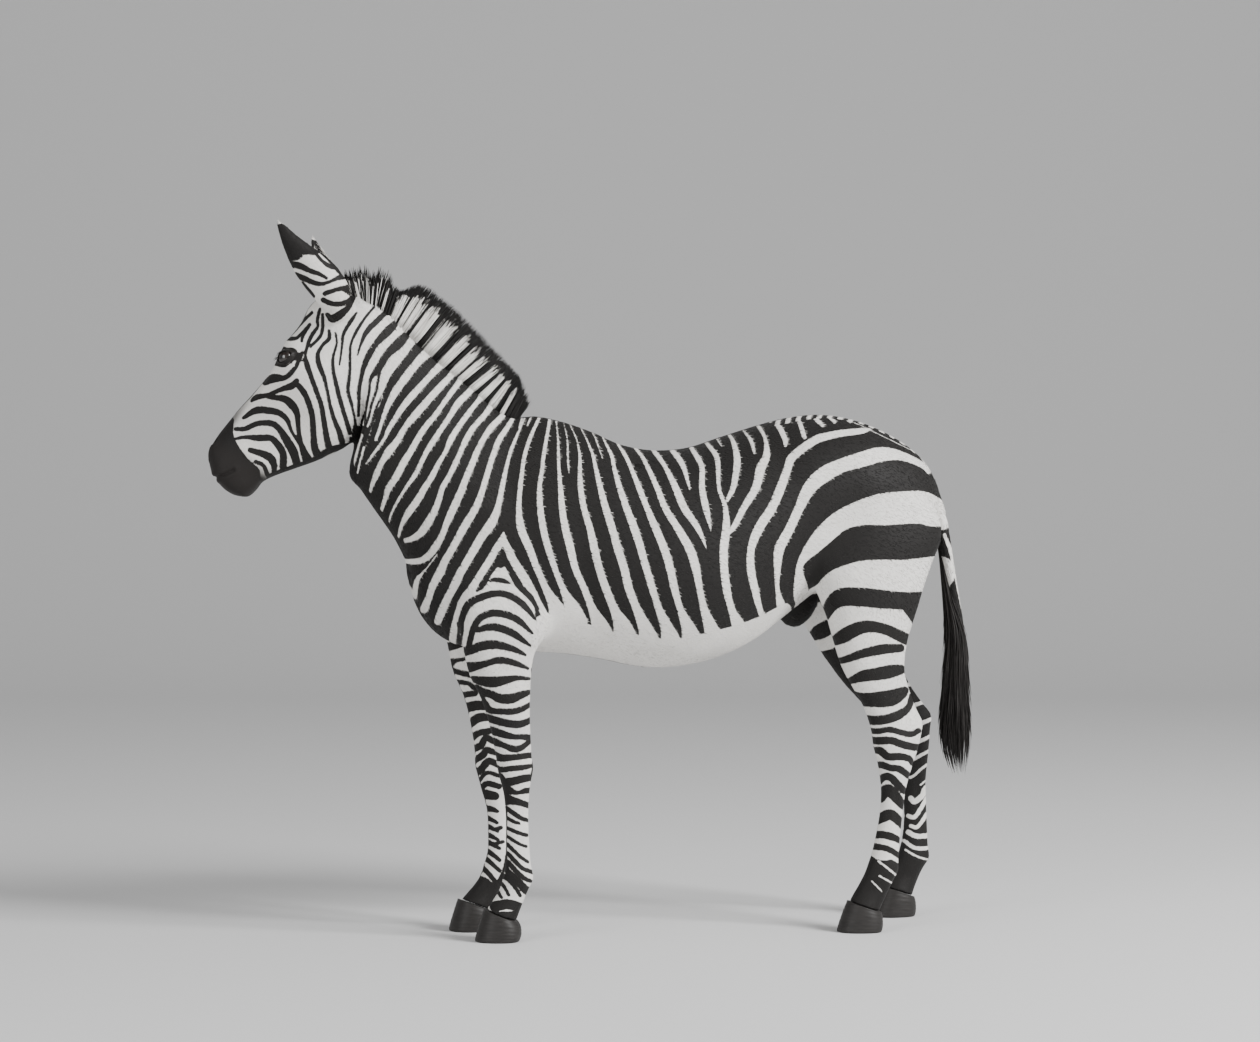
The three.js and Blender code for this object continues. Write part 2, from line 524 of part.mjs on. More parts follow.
const dock = solid(loft(DOCK, SIDES.tail, 1)).subtract(grown);
const brush = solid(loft(BRUSH, SIDES.tail, 1)).subtract(grown)
  .subtract(solid(loft(DOCK, SIDES.tail, 1, GAP)));
const sheath = solid(loft(SHEATH, SIDES.tail, 2)).subtract(grown);
const ears = { left: ear(EARS.left, -1, 0), right: ear(EARS.right, 1, 0) };
const grownEars = [ear(EARS.left, -1, GAP), ear(EARS.right, 1, GAP)];
let crest = mane(0).subtract(grown);
for (const e of grownEars) crest = crest.subtract(e);

const HOOVES = {
  fore_hoof_left: foreHoof(STANCE.foreLeft, -14, 0),
  fore_hoof_right: foreHoof(STANCE.foreRight, 6, 1),
  hind_hoof_left: hindHoof(0, STANCE.hindLeft, -8),
  hind_hoof_right: hindHoof(16.9, STANCE.hindRight, 8),
};

// ---------------------------------------------------------------- finishes
const COAT = { color: 0xd9d5cc, roughness: 0.8, metalness: 0 };
const BLACK_COAT = { color: 0x2a2624, roughness: 0.8, metalness: 0 };
const HORN = { color: 0x3c3835, roughness: 0.5, metalness: 0 };
const WET_EYE = { color: 0x14100e, roughness: 0.08, metalness: 0 };
const BARE_SKIN = { color: 0x26221f, roughness: 0.65, metalness: 0 };

const object = new THREE.Group();
object.name = 'mountain_zebra';

/** The largest body of a cut solid, in case a cut leaves crumbs. */
function largest(manifold) {
  const parts = manifold.decompose();
  parts.sort((a, b) => b.volume() - a.volume());
  return parts[0];
}

function addNode(name, manifold, finish) {
  const geometry = geometryOf(largest(manifold)).translate(CENTRE_X, 0, 0);
  geometry.computeVertexNormals();
  const mesh = new THREE.Mesh(geometry, new THREE.MeshStandardMaterial(finish));
  mesh.name = name;
  object.add(mesh);
}

addNode('head', head, COAT);
addNode('neck', neck, COAT);
addNode('trunk', trunk, COAT);
addNode('fore_leg_left', foreLegs.intersect(nearHalf), COAT);
addNode('fore_leg_right', foreLegs.intersect(farHalf), COAT);
addNode('hind_leg_left', hindLegs.intersect(nearHalf), COAT);
addNode('hind_leg_right', hindLegs.intersect(farHalf), COAT);
addNode('ear_left', ears.left.subtract(grown), COAT);
addNode('ear_right', ears.right.subtract(grown), COAT);
addNode('mane', crest, BLACK_COAT);
addNode('tail', dock, COAT);
addNode('tail_brush', brush, BLACK_COAT);
addNode('sheath', sheath, BARE_SKIN);
for (const side of ['left', 'right']) addNode(`eye_${side}`, solid(eyes[side]), WET_EYE);
for (const [name, ribs] of Object.entries(HOOVES)) {
  const legRibs = LEG_RIBS[name.replace('hoof', 'leg')];
  const hoof = solid(loft(ribs, SIDES.hoof, 1)).subtract(solid(loft(legRibs, SIDES.leg, 1, GAP)));
  addNode(name, hoof, HORN);
}

export default object;
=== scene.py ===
"""A still, life-size mountain zebra: one skin, its striped coat, mane, tail, eyes and hooves."""

import logging
import math
from collections.abc import Iterator
from dataclasses import dataclass, field
from enum import Enum

import bpy
import numpy as np
from bpy.types import Material, Mesh, Node, NodeTree, Object
from mathutils import Matrix, Vector
from mathutils.bvhtree import BVHTree

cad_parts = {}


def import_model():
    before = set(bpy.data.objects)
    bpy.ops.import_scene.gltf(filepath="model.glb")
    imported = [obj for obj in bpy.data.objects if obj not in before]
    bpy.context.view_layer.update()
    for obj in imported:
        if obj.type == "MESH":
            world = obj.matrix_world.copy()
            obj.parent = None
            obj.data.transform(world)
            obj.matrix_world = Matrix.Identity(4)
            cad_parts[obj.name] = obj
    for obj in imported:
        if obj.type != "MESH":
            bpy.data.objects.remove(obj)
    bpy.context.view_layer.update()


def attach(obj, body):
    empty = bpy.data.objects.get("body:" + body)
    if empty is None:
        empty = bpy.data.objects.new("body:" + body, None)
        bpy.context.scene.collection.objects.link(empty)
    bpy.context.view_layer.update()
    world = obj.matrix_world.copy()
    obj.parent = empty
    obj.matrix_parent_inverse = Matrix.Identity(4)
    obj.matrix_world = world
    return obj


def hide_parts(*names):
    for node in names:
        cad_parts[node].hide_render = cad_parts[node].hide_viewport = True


class Ink(Enum):
    """What a stroke of the markings lays down."""

    BLACK = 1
    WHITE = -1


class Side(Enum):
    """A side of the animal, with the sign of its Y."""

    LEFT = -1
    RIGHT = 1


@dataclass(frozen=True)
class Detail:
    """How finely the animal is made.

    Args:
        voxel: Size of the cells that join the flesh into one surface, in metres.
        kept: Triangles kept on the body, on the legs and on the head.
        tufts: Share of the tufts that are grown.
        mane: Locks of the mane.
        brush: Locks of the tail.
    """

    voxel: float = 0.003
    kept: tuple[int, int, int] = (76000, 61500, 61000)
    tufts: float = 1.0
    mane: int = 5200
    brush: int = 1500


FULL, QUICK = Detail(), Detail(0.006, (16000, 14000, 14000), 0.3, 1500, 500)
LOG = logging.getLogger("zebra")
Array = np.ndarray
CM = 0.01                        # the tables below are in centimetres
CENTRE_X = -0.0064               # metres, brings the middle of the length to x = 0
HEAD_PIVOT_X = -58.0             # cm, the joint of the head and the neck
HEAD_TURN = math.radians(-20)    # the head turns to the animal's right
HEAD_REACH = 0.988               # length of the head along its own X
ROOT = "root"


# ------------------------------------------------------------------ ribs of the flesh
def body(fx: float, fz: float, rx: float, rz: float, w: float, level: float = 0.5,
         ef: float = 2.0, er: float = 2.0) -> list[float]:
    """A rib on the median plane: its upper and lower points, half width and fullness."""
    return [fx, fz, rx, rz, w, 0.0, level, ef, er, 0.0]


def limb(fx: float, fz: float, rx: float, rz: float, w: float, y: float, turn: float = 0.0,
         level: float = 0.5, ef: float = 2.0, er: float = 2.0) -> list[float]:
    """A rib of a limb: its front and rear points, half width, middle and turn in degrees."""
    return [fx, fz, rx, rz, w, y, level, ef, er, turn]


HEAD_ORIGIN = np.array([-62.0, 150.0])
HEAD_ALONG = np.array([-0.56, -0.83])
HEAD_FRONT = np.array([-0.83, 0.56])


def face(s: float, front: float, rear: float, w: float, level: float, ef: float,
         er: float) -> list[float]:
    """A rib of the head, s down its axis from the poll, from the forehead to the jaw."""
    a = HEAD_ORIGIN + HEAD_ALONG * s + HEAD_FRONT * front
    b = HEAD_ORIGIN + HEAD_ALONG * s + HEAD_FRONT * rear
    return [a[0], a[1], b[0], b[1], w, 0.0, level, ef, er, 0.0]


TRUNK = [
    body(-48.4, 92.5, -47.2, 85.5, 4.0, 0.5, 2.2, 2.2),
    body(-46.6, 98.5, -45.4, 79.8, 8.2, 0.5, 2.2, 2.2),
    body(-42.0, 107, -41.6, 74.6, 11.6, 0.45, 2.1, 2.3),
    body(-35.0, 117, -36.0, 71.2, 14.6, 0.42, 1.8, 2.4),
    body(-26.0, 125.5, -28.0, 69.8, 16.8, 0.42, 1.6, 2.4),
    body(-18.0, 128.4, -20.0, 69.4, 18.4, 0.42, 1.5, 2.3),
    body(-10.0, 127, -10.0, 68.8, 20.0, 0.42, 1.6, 2.2),
    body(-2.5, 124.4, -0.5, 67.4, 21.6, 0.43, 1.75, 2.1),
    body(5.0, 121.2, 7.5, 65.7, 22.8, 0.45, 1.9, 2.1),
    body(13.0, 119.8, 15.0, 65.0, 23.8, 0.46, 2.0, 2.1),
    body(22.0, 120.4, 23.5, 65.9, 24.0, 0.47, 2.0, 2.1),
    body(31.0, 123.2, 31.5, 68.2, 23.2, 0.5, 1.95, 2.1),
    body(40.0, 126, 39.5, 72.2, 21.8, 0.54, 1.95, 2.1),
    body(48.0, 128, 47.5, 78.2, 20.6, 0.58, 2.0, 2.1),
    body(56.0, 128.8, 55.0, 83.6, 20.4, 0.58, 2.05, 2.1),
    body(64.0, 127.7, 62.5, 86.2, 20.2, 0.58, 2.05, 2.2),
    body(71.5, 125.1, 69.8, 88.0, 18.6, 0.56, 2.0, 2.2),
    body(78.5, 121.2, 76.5, 91.0, 15.8, 0.55, 2.0, 2.2),
    body(83.6, 116.6, 81.5, 94.6, 11.8, 0.52, 2.0, 2.2),
    body(87.2, 110.4, 84.9, 99.2, 5.4, 0.5, 2.0, 2.0),
]

NECK = [
    body(-63.0, 157.0, -57.0, 124.0, 5.6, 0.5, 1.9, 2.2),
    body(-57.5, 156.2, -60.5, 119.6, 6.6, 0.5, 1.8, 2.2),
    body(-52.0, 153.6, -62.5, 113.0, 7.0, 0.48, 1.7, 2.1),
    body(-46.0, 147.4, -59.8, 109.2, 7.9, 0.46, 1.6, 2.1),
    body(-39.5, 141.6, -56.6, 104.6, 9.2, 0.44, 1.6, 2.1),
    body(-32.0, 135.6, -52.0, 98.0, 11.0, 0.42, 1.6, 2.1),
    body(-25.0, 129.6, -48.8, 92.0, 13.2, 0.4, 1.6, 2.1),
    body(-16.0, 125.0, -44.5, 84.0, 15.2, 0.4, 1.6, 2.1),
    body(-6.0, 119.0, -36.0, 79.0, 16.0, 0.4, 1.6, 2.1),
]

HEAD = [
    face(-6.6, 3.4, -5.0, 5.0, 0.6, 2.0, 2.0),
    face(-3.0, 9.2, -8.0, 6.8, 0.6, 2.0, 2.0),
    face(1.5, 11.4, -11.5, 8.0, 0.62, 2.1, 2.0),
    face(7.0, 11.0, -15.2, 8.8, 0.66, 2.3, 2.0),
    face(11.5, 11.0, -16.6, 9.8, 0.72, 2.7, 1.9),
    face(15.5, 10.8, -17.2, 10.5, 0.74, 2.9, 1.8),
    face(19.5, 10.5, -17.3, 9.9, 0.72, 2.5, 1.9),
    face(24.0, 11.0, -16.6, 8.4, 0.66, 2.1, 2.1),
    face(28.5, 11.7, -14.2, 7.2, 0.6, 2.0, 2.3),
    face(33.0, 12.5, -11.3, 6.1, 0.56, 2.1, 2.4),
    face(37.5, 13.0, -7.9, 5.4, 0.52, 2.2, 2.4),
    face(41.5, 13.3, -4.9, 5.4, 0.5, 2.3, 2.4),
    face(44.6, 13.0, -3.1, 5.9, 0.5, 2.3, 2.4),
    face(47.3, 11.9, -2.8, 6.0, 0.5, 2.2, 2.4),
    face(49.7, 9.4, -2.0, 5.1, 0.48, 2.1, 2.3),
    face(51.1, 5.8, 0.6, 2.9, 0.48, 2.0, 2.2),
]


def fore_leg(y: float, turn: float, lean: float) -> list[list[float]]:
    """Ribs of a fore leg whose foot stands at y, turned and put forward by lean."""
    k = math.copysign(1, y)
    return [
        limb(-33, 100, -18, 98, 3.6, 10.4 * k),
        limb(-37.6, 91, -14.0, 89, 5.9, 11.2 * k),
        limb(-38.6, 83, -12.8, 81.5, 6.9, 11.7 * k, 0, 0.52),
        limb(-37.8, 76.5, -14.6, 75.5, 7.0, 12.0 * k, 0, 0.55),
        limb(-36.4, 70, -18.4, 70, 6.2, 12.0 * k, 0, 0.58),
        limb(-34.9 - 0.3 * lean, 65, -19.4 - 0.2 * lean, 65, 5.5, 11.8 * k, 0, 0.58),
        limb(-32.6 - 0.8 * lean, 60, -19.5 - 0.4 * lean, 60, 4.9, y + 0.5 * k, 0, 0.56),
        limb(-30.9 - 1.1 * lean, 55, -19.5 - 0.6 * lean, 55, 4.3, y + 0.3 * k, 0, 0.54),
        limb(-29.5 - 1.5 * lean, 50, -19.3 - 0.8 * lean, 50, 4.0, y, 0, 0.5, 2.2, 2.2),
        limb(-28.5 - 1.7 * lean, 45, -19.1 - 1.1 * lean, 45, 4.2, y, 0, 0.5, 2.5, 2.2),
        limb(-27.6 - 2.0 * lean, 40, -19.1 - 1.2 * lean, 40, 4.1, y, 0, 0.5, 2.4, 2.2),
        limb(-26.6 - 2.1 * lean, 35.5, -19.6 - 1.2 * lean, 35.5, 3.2, y, 0, 0.5, 2.1, 2.1),
        limb(-26.1 - 1.1 * lean, 30, -19.8 - 0.9 * lean, 30, 2.7, y, turn * 0.3),
        limb(-26.1 - 0.8 * lean, 24, -19.6 - 0.8 * lean, 24, 2.6, y, turn * 0.6),
        limb(-26.1 - 0.9 * lean, 19.5, -19.3 - 0.9 * lean, 19.5, 3.0, y, turn * 0.8, 0.5, 2.1),
        limb(-26.6 - 1.3 * lean, 15.8, -18.9 - 1.1 * lean, 15.2, 3.5, y, turn, 0.5, 2.1),
        limb(-27.6 - 1.8 * lean, 12.6, -20.3 - 1.8 * lean, 11.2, 3.3, y, turn, 0.5, 2.1),
        limb(-29.3 - 2.3 * lean, 9.9, -21.8 - 2.4 * lean, 7.6, 3.5, y, turn, 0.5, 2.1),
        limb(-30.7 - 2.7 * lean, 7.9, -22.8 - 3.0 * lean, 4.9, 4.2, y, turn, 0.5, 2.1),
    ]


def fore_hoof(y: float, turn: float, lean: float) -> list[list[float]]:
    """Ribs of a fore hoof from the coronet to the ground."""
    m = 3.0 * lean
    return [
        limb(-31.1 - m, 7.9, -22.6 - m, 4.7, 4.4, y, turn, 0.5, 2.1, 2.1),
        limb(-31.9 - m, 5.4, -22.0 - m, 3.4, 4.9, y, turn, 0.5, 2.2, 2.3),
        limb(-32.9 - m, 2.2, -21.9 - m, 1.6, 5.2, y, turn, 0.5, 2.2, 2.5),
        limb(-33.3 - m, 0.35, -22.3 - m, 0.3, 5.2, y, turn, 0.5, 2.2, 2.6),
        limb(-33.0 - m, 0, -22.6 - m, 0, 4.9, y, turn, 0.5, 2.2, 2.6),
    ]


def hind_hoof(dx: float, y: float, turn: float) -> list[list[float]]:
    """Ribs of a hind hoof, dx behind the left one."""
    return [
        limb(60.0 + dx, 7.7, 68.6 + dx, 4.8, 4.1, y, turn, 0.5, 2.1, 2.1),
        limb(59.0 + dx, 5.2, 68.9 + dx, 3.4, 4.5, y, turn, 0.5, 2.2, 2.3),
        limb(57.9 + dx, 2.2, 68.9 + dx, 1.6, 4.7, y, turn, 0.5, 2.2, 2.5),
        limb(57.4 + dx, 0.35, 68.6 + dx, 0.3, 4.7, y, turn, 0.5, 2.2, 2.6),
        limb(57.7 + dx, 0, 68.3 + dx, 0, 4.4, y, turn, 0.5, 2.2, 2.6),
    ]


HIND_LEFT = [
    limb(56, 115, 77, 113, 5.4, -10.6),
    limb(51.0, 106, 83.5, 105, 8.0, -11.6),
    limb(49.6, 97, 84.7, 98, 8.8, -12.2, 0, 0.55),
    limb(49.8, 90, 82.3, 91.5, 8.8, -12.5, 0, 0.58),
    limb(52.0, 84, 79.7, 84.5, 8.2, -12.9, 0, 0.6),
    limb(54.2, 78.5, 77.7, 78.5, 7.3, -13.2, 0, 0.6),
    limb(56.0, 72, 75.7, 72.5, 6.3, -13.4, 0, 0.6),
    limb(58.2, 65.5, 74.9, 66.5, 5.2, -13.4, 0, 0.6),
    limb(61.2, 60, 75.9, 61, 4.4, -13.3, 0, 0.58),
    limb(63.8, 55.5, 77.6, 56.2, 3.9, -13.2, 0, 0.6, 2.1, 1.9),
    limb(65.6, 50.5, 79.3, 51.6, 4.1, -13.1, 0, 0.62, 2.2, 1.9),
    limb(66.6, 46, 78.9, 46.6, 4.3, -13.0, 0, 0.6, 2.3, 2.0),
    limb(67.7, 40.5, 77.0, 41, 3.9, -13.0, 0, 0.55, 2.2, 2.0),
    limb(68.3, 35, 75.3, 35, 3.1, -13.0),
    limb(68.0, 29.5, 74.6, 29.5, 2.8, -13.0),
    limb(67.1, 24.5, 74.0, 24.5, 2.8, -13.0),
    limb(66.1, 20, 73.5, 19.5, 3.1, -13.0, -4),
    limb(64.9, 16, 73.0, 15, 3.6, -13.0, -6, 0.5, 2.1),
    limb(63.2, 12.6, 71.3, 11.0, 3.4, -13.0, -8, 0.5, 2.1),
    limb(61.5, 9.8, 69.6, 7.6, 3.4, -13.0, -8, 0.5, 2.1),
    limb(60.3, 7.7, 68.4, 5.0, 4.0, -13.0, -8, 0.5, 2.1),
]
HIND_RIGHT = [
    limb(56, 115, 77, 113, 5.4, 10.6),
    limb(51.0, 106, 83.8, 105, 8.0, 11.6),
    limb(49.8, 97, 85.4, 98, 8.8, 12.2, 0, 0.55),
    limb(49.8, 90, 84.2, 91.5, 8.8, 12.5, 0, 0.58),
    limb(51.6, 84, 82.4, 84.5, 8.2, 12.9, 0, 0.6),
    limb(54.2, 78.5, 81.4, 78.5, 7.3, 13.2, 0, 0.6),
    limb(58.0, 72, 81.4, 72.5, 6.3, 13.4, 0, 0.6),
    limb(62.2, 65.5, 82.2, 66.5, 5.2, 13.5, 0, 0.6),
    limb(66.4, 60, 83.9, 61, 4.4, 13.5, 0, 0.58),
    limb(70.6, 55.5, 86.9, 56.4, 3.9, 13.5, 0, 0.6, 2.1, 1.9),
    limb(74.8, 50.5, 90.0, 51.8, 4.1, 13.5, 0, 0.62, 2.2, 1.9),
    limb(77.4, 46, 90.1, 47.0, 4.3, 13.5, 0, 0.6, 2.3, 2.0),
    limb(79.8, 40.5, 89.6, 41, 3.9, 13.5, 0, 0.55, 2.2, 2.0),
    limb(81.6, 35, 89.0, 35, 3.1, 13.5),
    limb(82.4, 29.5, 89.1, 29.5, 2.8, 13.5),
    limb(82.5, 24.5, 89.3, 24.5, 2.8, 13.5),
    limb(82.0, 20, 89.5, 19.5, 3.1, 13.5, 4),
    limb(81.0, 16, 89.6, 15, 3.6, 13.5, 6, 0.5, 2.1),
    limb(79.5, 12.6, 87.7, 11.0, 3.4, 13.5, 8, 0.5, 2.1),
    limb(78.2, 9.8, 86.2, 7.6, 3.4, 13.5, 8, 0.5, 2.1),
    limb(77.2, 7.7, 85.2, 5.0, 4.0, 13.5, 8, 0.5, 2.1),
]
DOCK = [
    limb(82.8, 109.5, 86.6, 113.2, 2.8, 0),
    limb(85.4, 104.2, 89.2, 106.6, 2.5, 0),
    limb(86.9, 98.5, 90.6, 99.5, 2.3, 0),
    limb(88.4, 91.4, 91.8, 92, 2.1, 0),
    limb(89.9, 84, 93.0, 84.5, 2.0, 0),
    limb(91.2, 77.6, 94.2, 78, 1.7, 0),
    limb(92.6, 72.0, 95.0, 72.2, 1.2, 0),
]
SHEATH = [
    body(45.8, 78.6, 46.2, 77.0, 1.2),
    body(47.6, 81.0, 48.0, 75.4, 2.6),
    body(50.6, 83.5, 50.8, 75.0, 3.0),
    body(53.4, 84.8, 53.6, 77.0, 2.8),
    body(55.6, 85.4, 55.8, 80.4, 2.0),
]
FORE_LEFT = fore_leg(-11, -14, 0)
FORE_RIGHT = fore_leg(9.5, 6, 1)


# ------------------------------------------------------------------ lofting
def curve(a: Array, b: Array, c: Array, d: Array, t: float | Array) -> Array:
    """The smooth curve from b to c, at a share t of the way, that a and d lead in and out."""
    return 0.5 * (2 * b + (c - a) * t + (2 * a - 5 * b + 4 * c - d) * t * t
                  + (3 * b - a - 3 * c + d) * t ** 3)


def unit(v: Array) -> Array:
    """Vectors brought to a length of one."""
    return v / np.maximum(np.linalg.norm(v, axis=-1, keepdims=True), 1e-6)


def run_along(p: Array) -> Array:
    """How far along a path of points each of them lies."""
    return np.concatenate([[0], np.cumsum(np.hypot(*np.diff(p, axis=0).T))])


def resample(ribs: list[list[float]], steps: int) -> Array:
    """Ribs filled in with a smooth curve through them.

    Args:
        ribs: The table of ribs.
        steps: Rows made for each span.

    Returns:
        One row of rib values for each made section.
    """
    table = np.array(ribs, float)
    rows = []
    for i in range(len(table) - 1):
        a, b = table[max(i - 1, 0)], table[i]
        c, d = table[i + 1], table[min(i + 2, len(table) - 1)]
        rows += [curve(a, b, c, d, k / steps) for k in range(steps)]
    rows.append(table[-1])
    return np.array(rows)


def sections(rows: Array, sides: int, grow: float = 0.0) -> Array:
    """Points of every section.

    Args:
        rows: Rib values, one row to a section.
        sides: Points round each section.
        grow: Centimetres added all round; less than zero draws the shape in.

    Returns:
        An array of sections by points by (x, y, z), in centimetres.
    """
    fx, fz, rx, rz, w, y, level, ef, er, turn = (rows[:, i, None] for i in range(10))
    length = np.hypot(fx - rx, fz - rz)
    ux, uz = (fx - rx) / length, (fz - rz) / length
    rx, rz, length = rx - ux * grow, rz - uz * grow, length + 2 * grow
    angle = np.linspace(0, 2 * math.pi, sides, endpoint=False)[None, :]
    c, s = np.cos(angle), np.sin(angle)
    e = np.where(c >= 0, ef, er)
    reach = np.where(c >= 0, 1 - level, level)
    f = (level + reach * np.sign(c) * np.abs(c) ** (2 / e)) * length
    side = (w + grow) * np.sign(s) * np.abs(s) ** (2 / e)
    x, z = rx + ux * f, rz + uz * f
    mx = rx + ux * length / 2
    a = np.radians(turn)
    dx = x - mx
    return np.stack([mx + dx * np.cos(a) - side * np.sin(a),
                     y + dx * np.sin(a) + side * np.cos(a), z + 0 * a], axis=-1)


def turn_head(p: Array) -> Array:
    """Points in the head's own frame moved to where the head is held."""
    dx, dy = (p[..., 0] - HEAD_PIVOT_X) * HEAD_REACH, p[..., 1]
    c, s = math.cos(HEAD_TURN), math.sin(HEAD_TURN)
    return np.stack([HEAD_PIVOT_X + dx * c - dy * s, dx * s + dy * c, p[..., 2]], -1)


def unturn_head(p: Array) -> Array:
    """The reverse of turn_head."""
    x, y = p[..., 0] - HEAD_PIVOT_X, p[..., 1]
    c, s = math.cos(-HEAD_TURN), math.sin(-HEAD_TURN)
    return np.stack([HEAD_PIVOT_X + (x * c - y * s) / HEAD_REACH, x * s + y * c, p[..., 2]], -1)


def metres(p: Array) -> Array:
    """Table centimetres to places in the row's frame."""
    return p * CM + np.array([CENTRE_X, 0, 0])


def centimetres(p: Array) -> Array:
    """Places in the row's frame to table centimetres."""
    return (p - np.array([CENTRE_X, 0, 0])) / CM


def bands(n: int, m: int) -> Array:
    """The four-cornered faces between n rings of m points."""
    i = np.arange(m)
    j = (i + 1) % m
    r = np.arange(n - 1)[:, None] * m
    return np.stack([v.ravel() for v in (r + i, r + j, r + m + j, r + m + i)], 1)


def facing_out(verts: Array, faces: Array, middles: Array) -> Array:
    """The faces, all turned over if the first of them face their middles."""
    p = verts[faces[:len(middles)]]
    out = np.cross(p[:, 1] - p[:, 0], p[:, 2] - p[:, 0])
    return faces[:, ::-1] if (out * (p.mean(1) - middles)).sum() < 0 else faces


def tube(rows: Array) -> tuple[Array, Array]:
    """Closed mesh over rows of points, with a fan over each end.

    Args:
        rows: Sections by points by coordinates.

    Returns:
        The vertices and the triangles, facing out.
    """
    n, m = rows.shape[:2]
    verts = np.vstack([rows.reshape(-1, 3), rows[0].mean(0), rows[-1].mean(0)])
    i = np.arange(m)
    j = (i + 1) % m
    quads = bands(n, m)
    last = (n - 1) * m
    tris = np.vstack([quads[:, :3], quads[:, [0, 2, 3]], np.stack([np.full(m, n * m), j, i], 1),
                      np.stack([np.full(m, n * m + 1), last + i, last + j], 1)])
    p = verts[tris]
    if np.einsum("ij,ij->i", p[:, 0], np.cross(p[:, 1], p[:, 2])).sum() < 0:
        tris = tris[:, ::-1]
    return verts, tris


def new_object(name: str, verts: Array, faces: Array) -> Object:
    """A mesh object in the scene from arrays in metres, smooth shaded."""
    mesh = bpy.data.meshes.new(name)
    mesh.from_pydata(verts.tolist(), [], np.asarray(faces).tolist())
    mesh.polygons.foreach_set("use_smooth", [True] * len(mesh.polygons))
    obj = bpy.data.objects.new(name, mesh)
    bpy.context.scene.collection.objects.link(obj)
    return obj


def baked(obj: Object) -> Mesh:
    """The object's mesh with its modifiers applied."""
    graph = bpy.context.evaluated_depsgraph_get()
    return bpy.data.meshes.new_from_object(obj.evaluated_get(graph), depsgraph=graph)


def apply_modifiers(obj: Object) -> None:
    """Puts the evaluated mesh in place and clears the modifiers."""
    mesh = baked(obj)
    obj.modifiers.clear()
    old = obj.data
    obj.data = mesh
    bpy.data.meshes.remove(old)


def coords(mesh: Mesh) -> Array:
    """Vertex places as an array."""
    a = np.empty(len(mesh.vertices) * 3, np.float32)
    mesh.vertices.foreach_get("co", a)
    return a.reshape(-1, 3).astype(float)


def move_to(mesh: Mesh, p: Array) -> None:
    """Puts the vertices at new places, in metres."""
    mesh.vertices.foreach_set("co", p.astype(np.float32).ravel())
    mesh.update()


def corners(mesh: Mesh) -> Array:
    """The vertex at each corner of each face."""
    a = np.empty(len(mesh.loops), np.int32)
    mesh.loops.foreach_get("vertex_index", a)
    return a


def lay_unwrap(mesh: Mesh, uv: Array) -> None:
    """Stores the unwrap, one place to each corner."""
    layer = mesh.uv_layers.new(name="OFBake")
    layer.data.foreach_set("uv", uv.astype(np.float32).ravel())
    mesh.uv_layers.active = layer


def normals(mesh: Mesh) -> Array:
    """Vertex normals as an array."""
    a = np.empty(len(mesh.vertices) * 3, np.float32)
    mesh.vertex_normals.foreach_get("vector", a)
    return a.reshape(-1, 3).astype(float)


def smoothstep(x: Array, lo: float, hi: float) -> Array:
    """Zero below lo, one above hi, and an even curve between."""
    t = np.clip((x - lo) / (hi - lo), 0, 1)
    return t * t * (3 - 2 * t)


# ------------------------------------------------------------------ where a point is on the body
FOUND = ("row", "along", "side", "fill", "run", "angle", "mid_y", "half", "w")


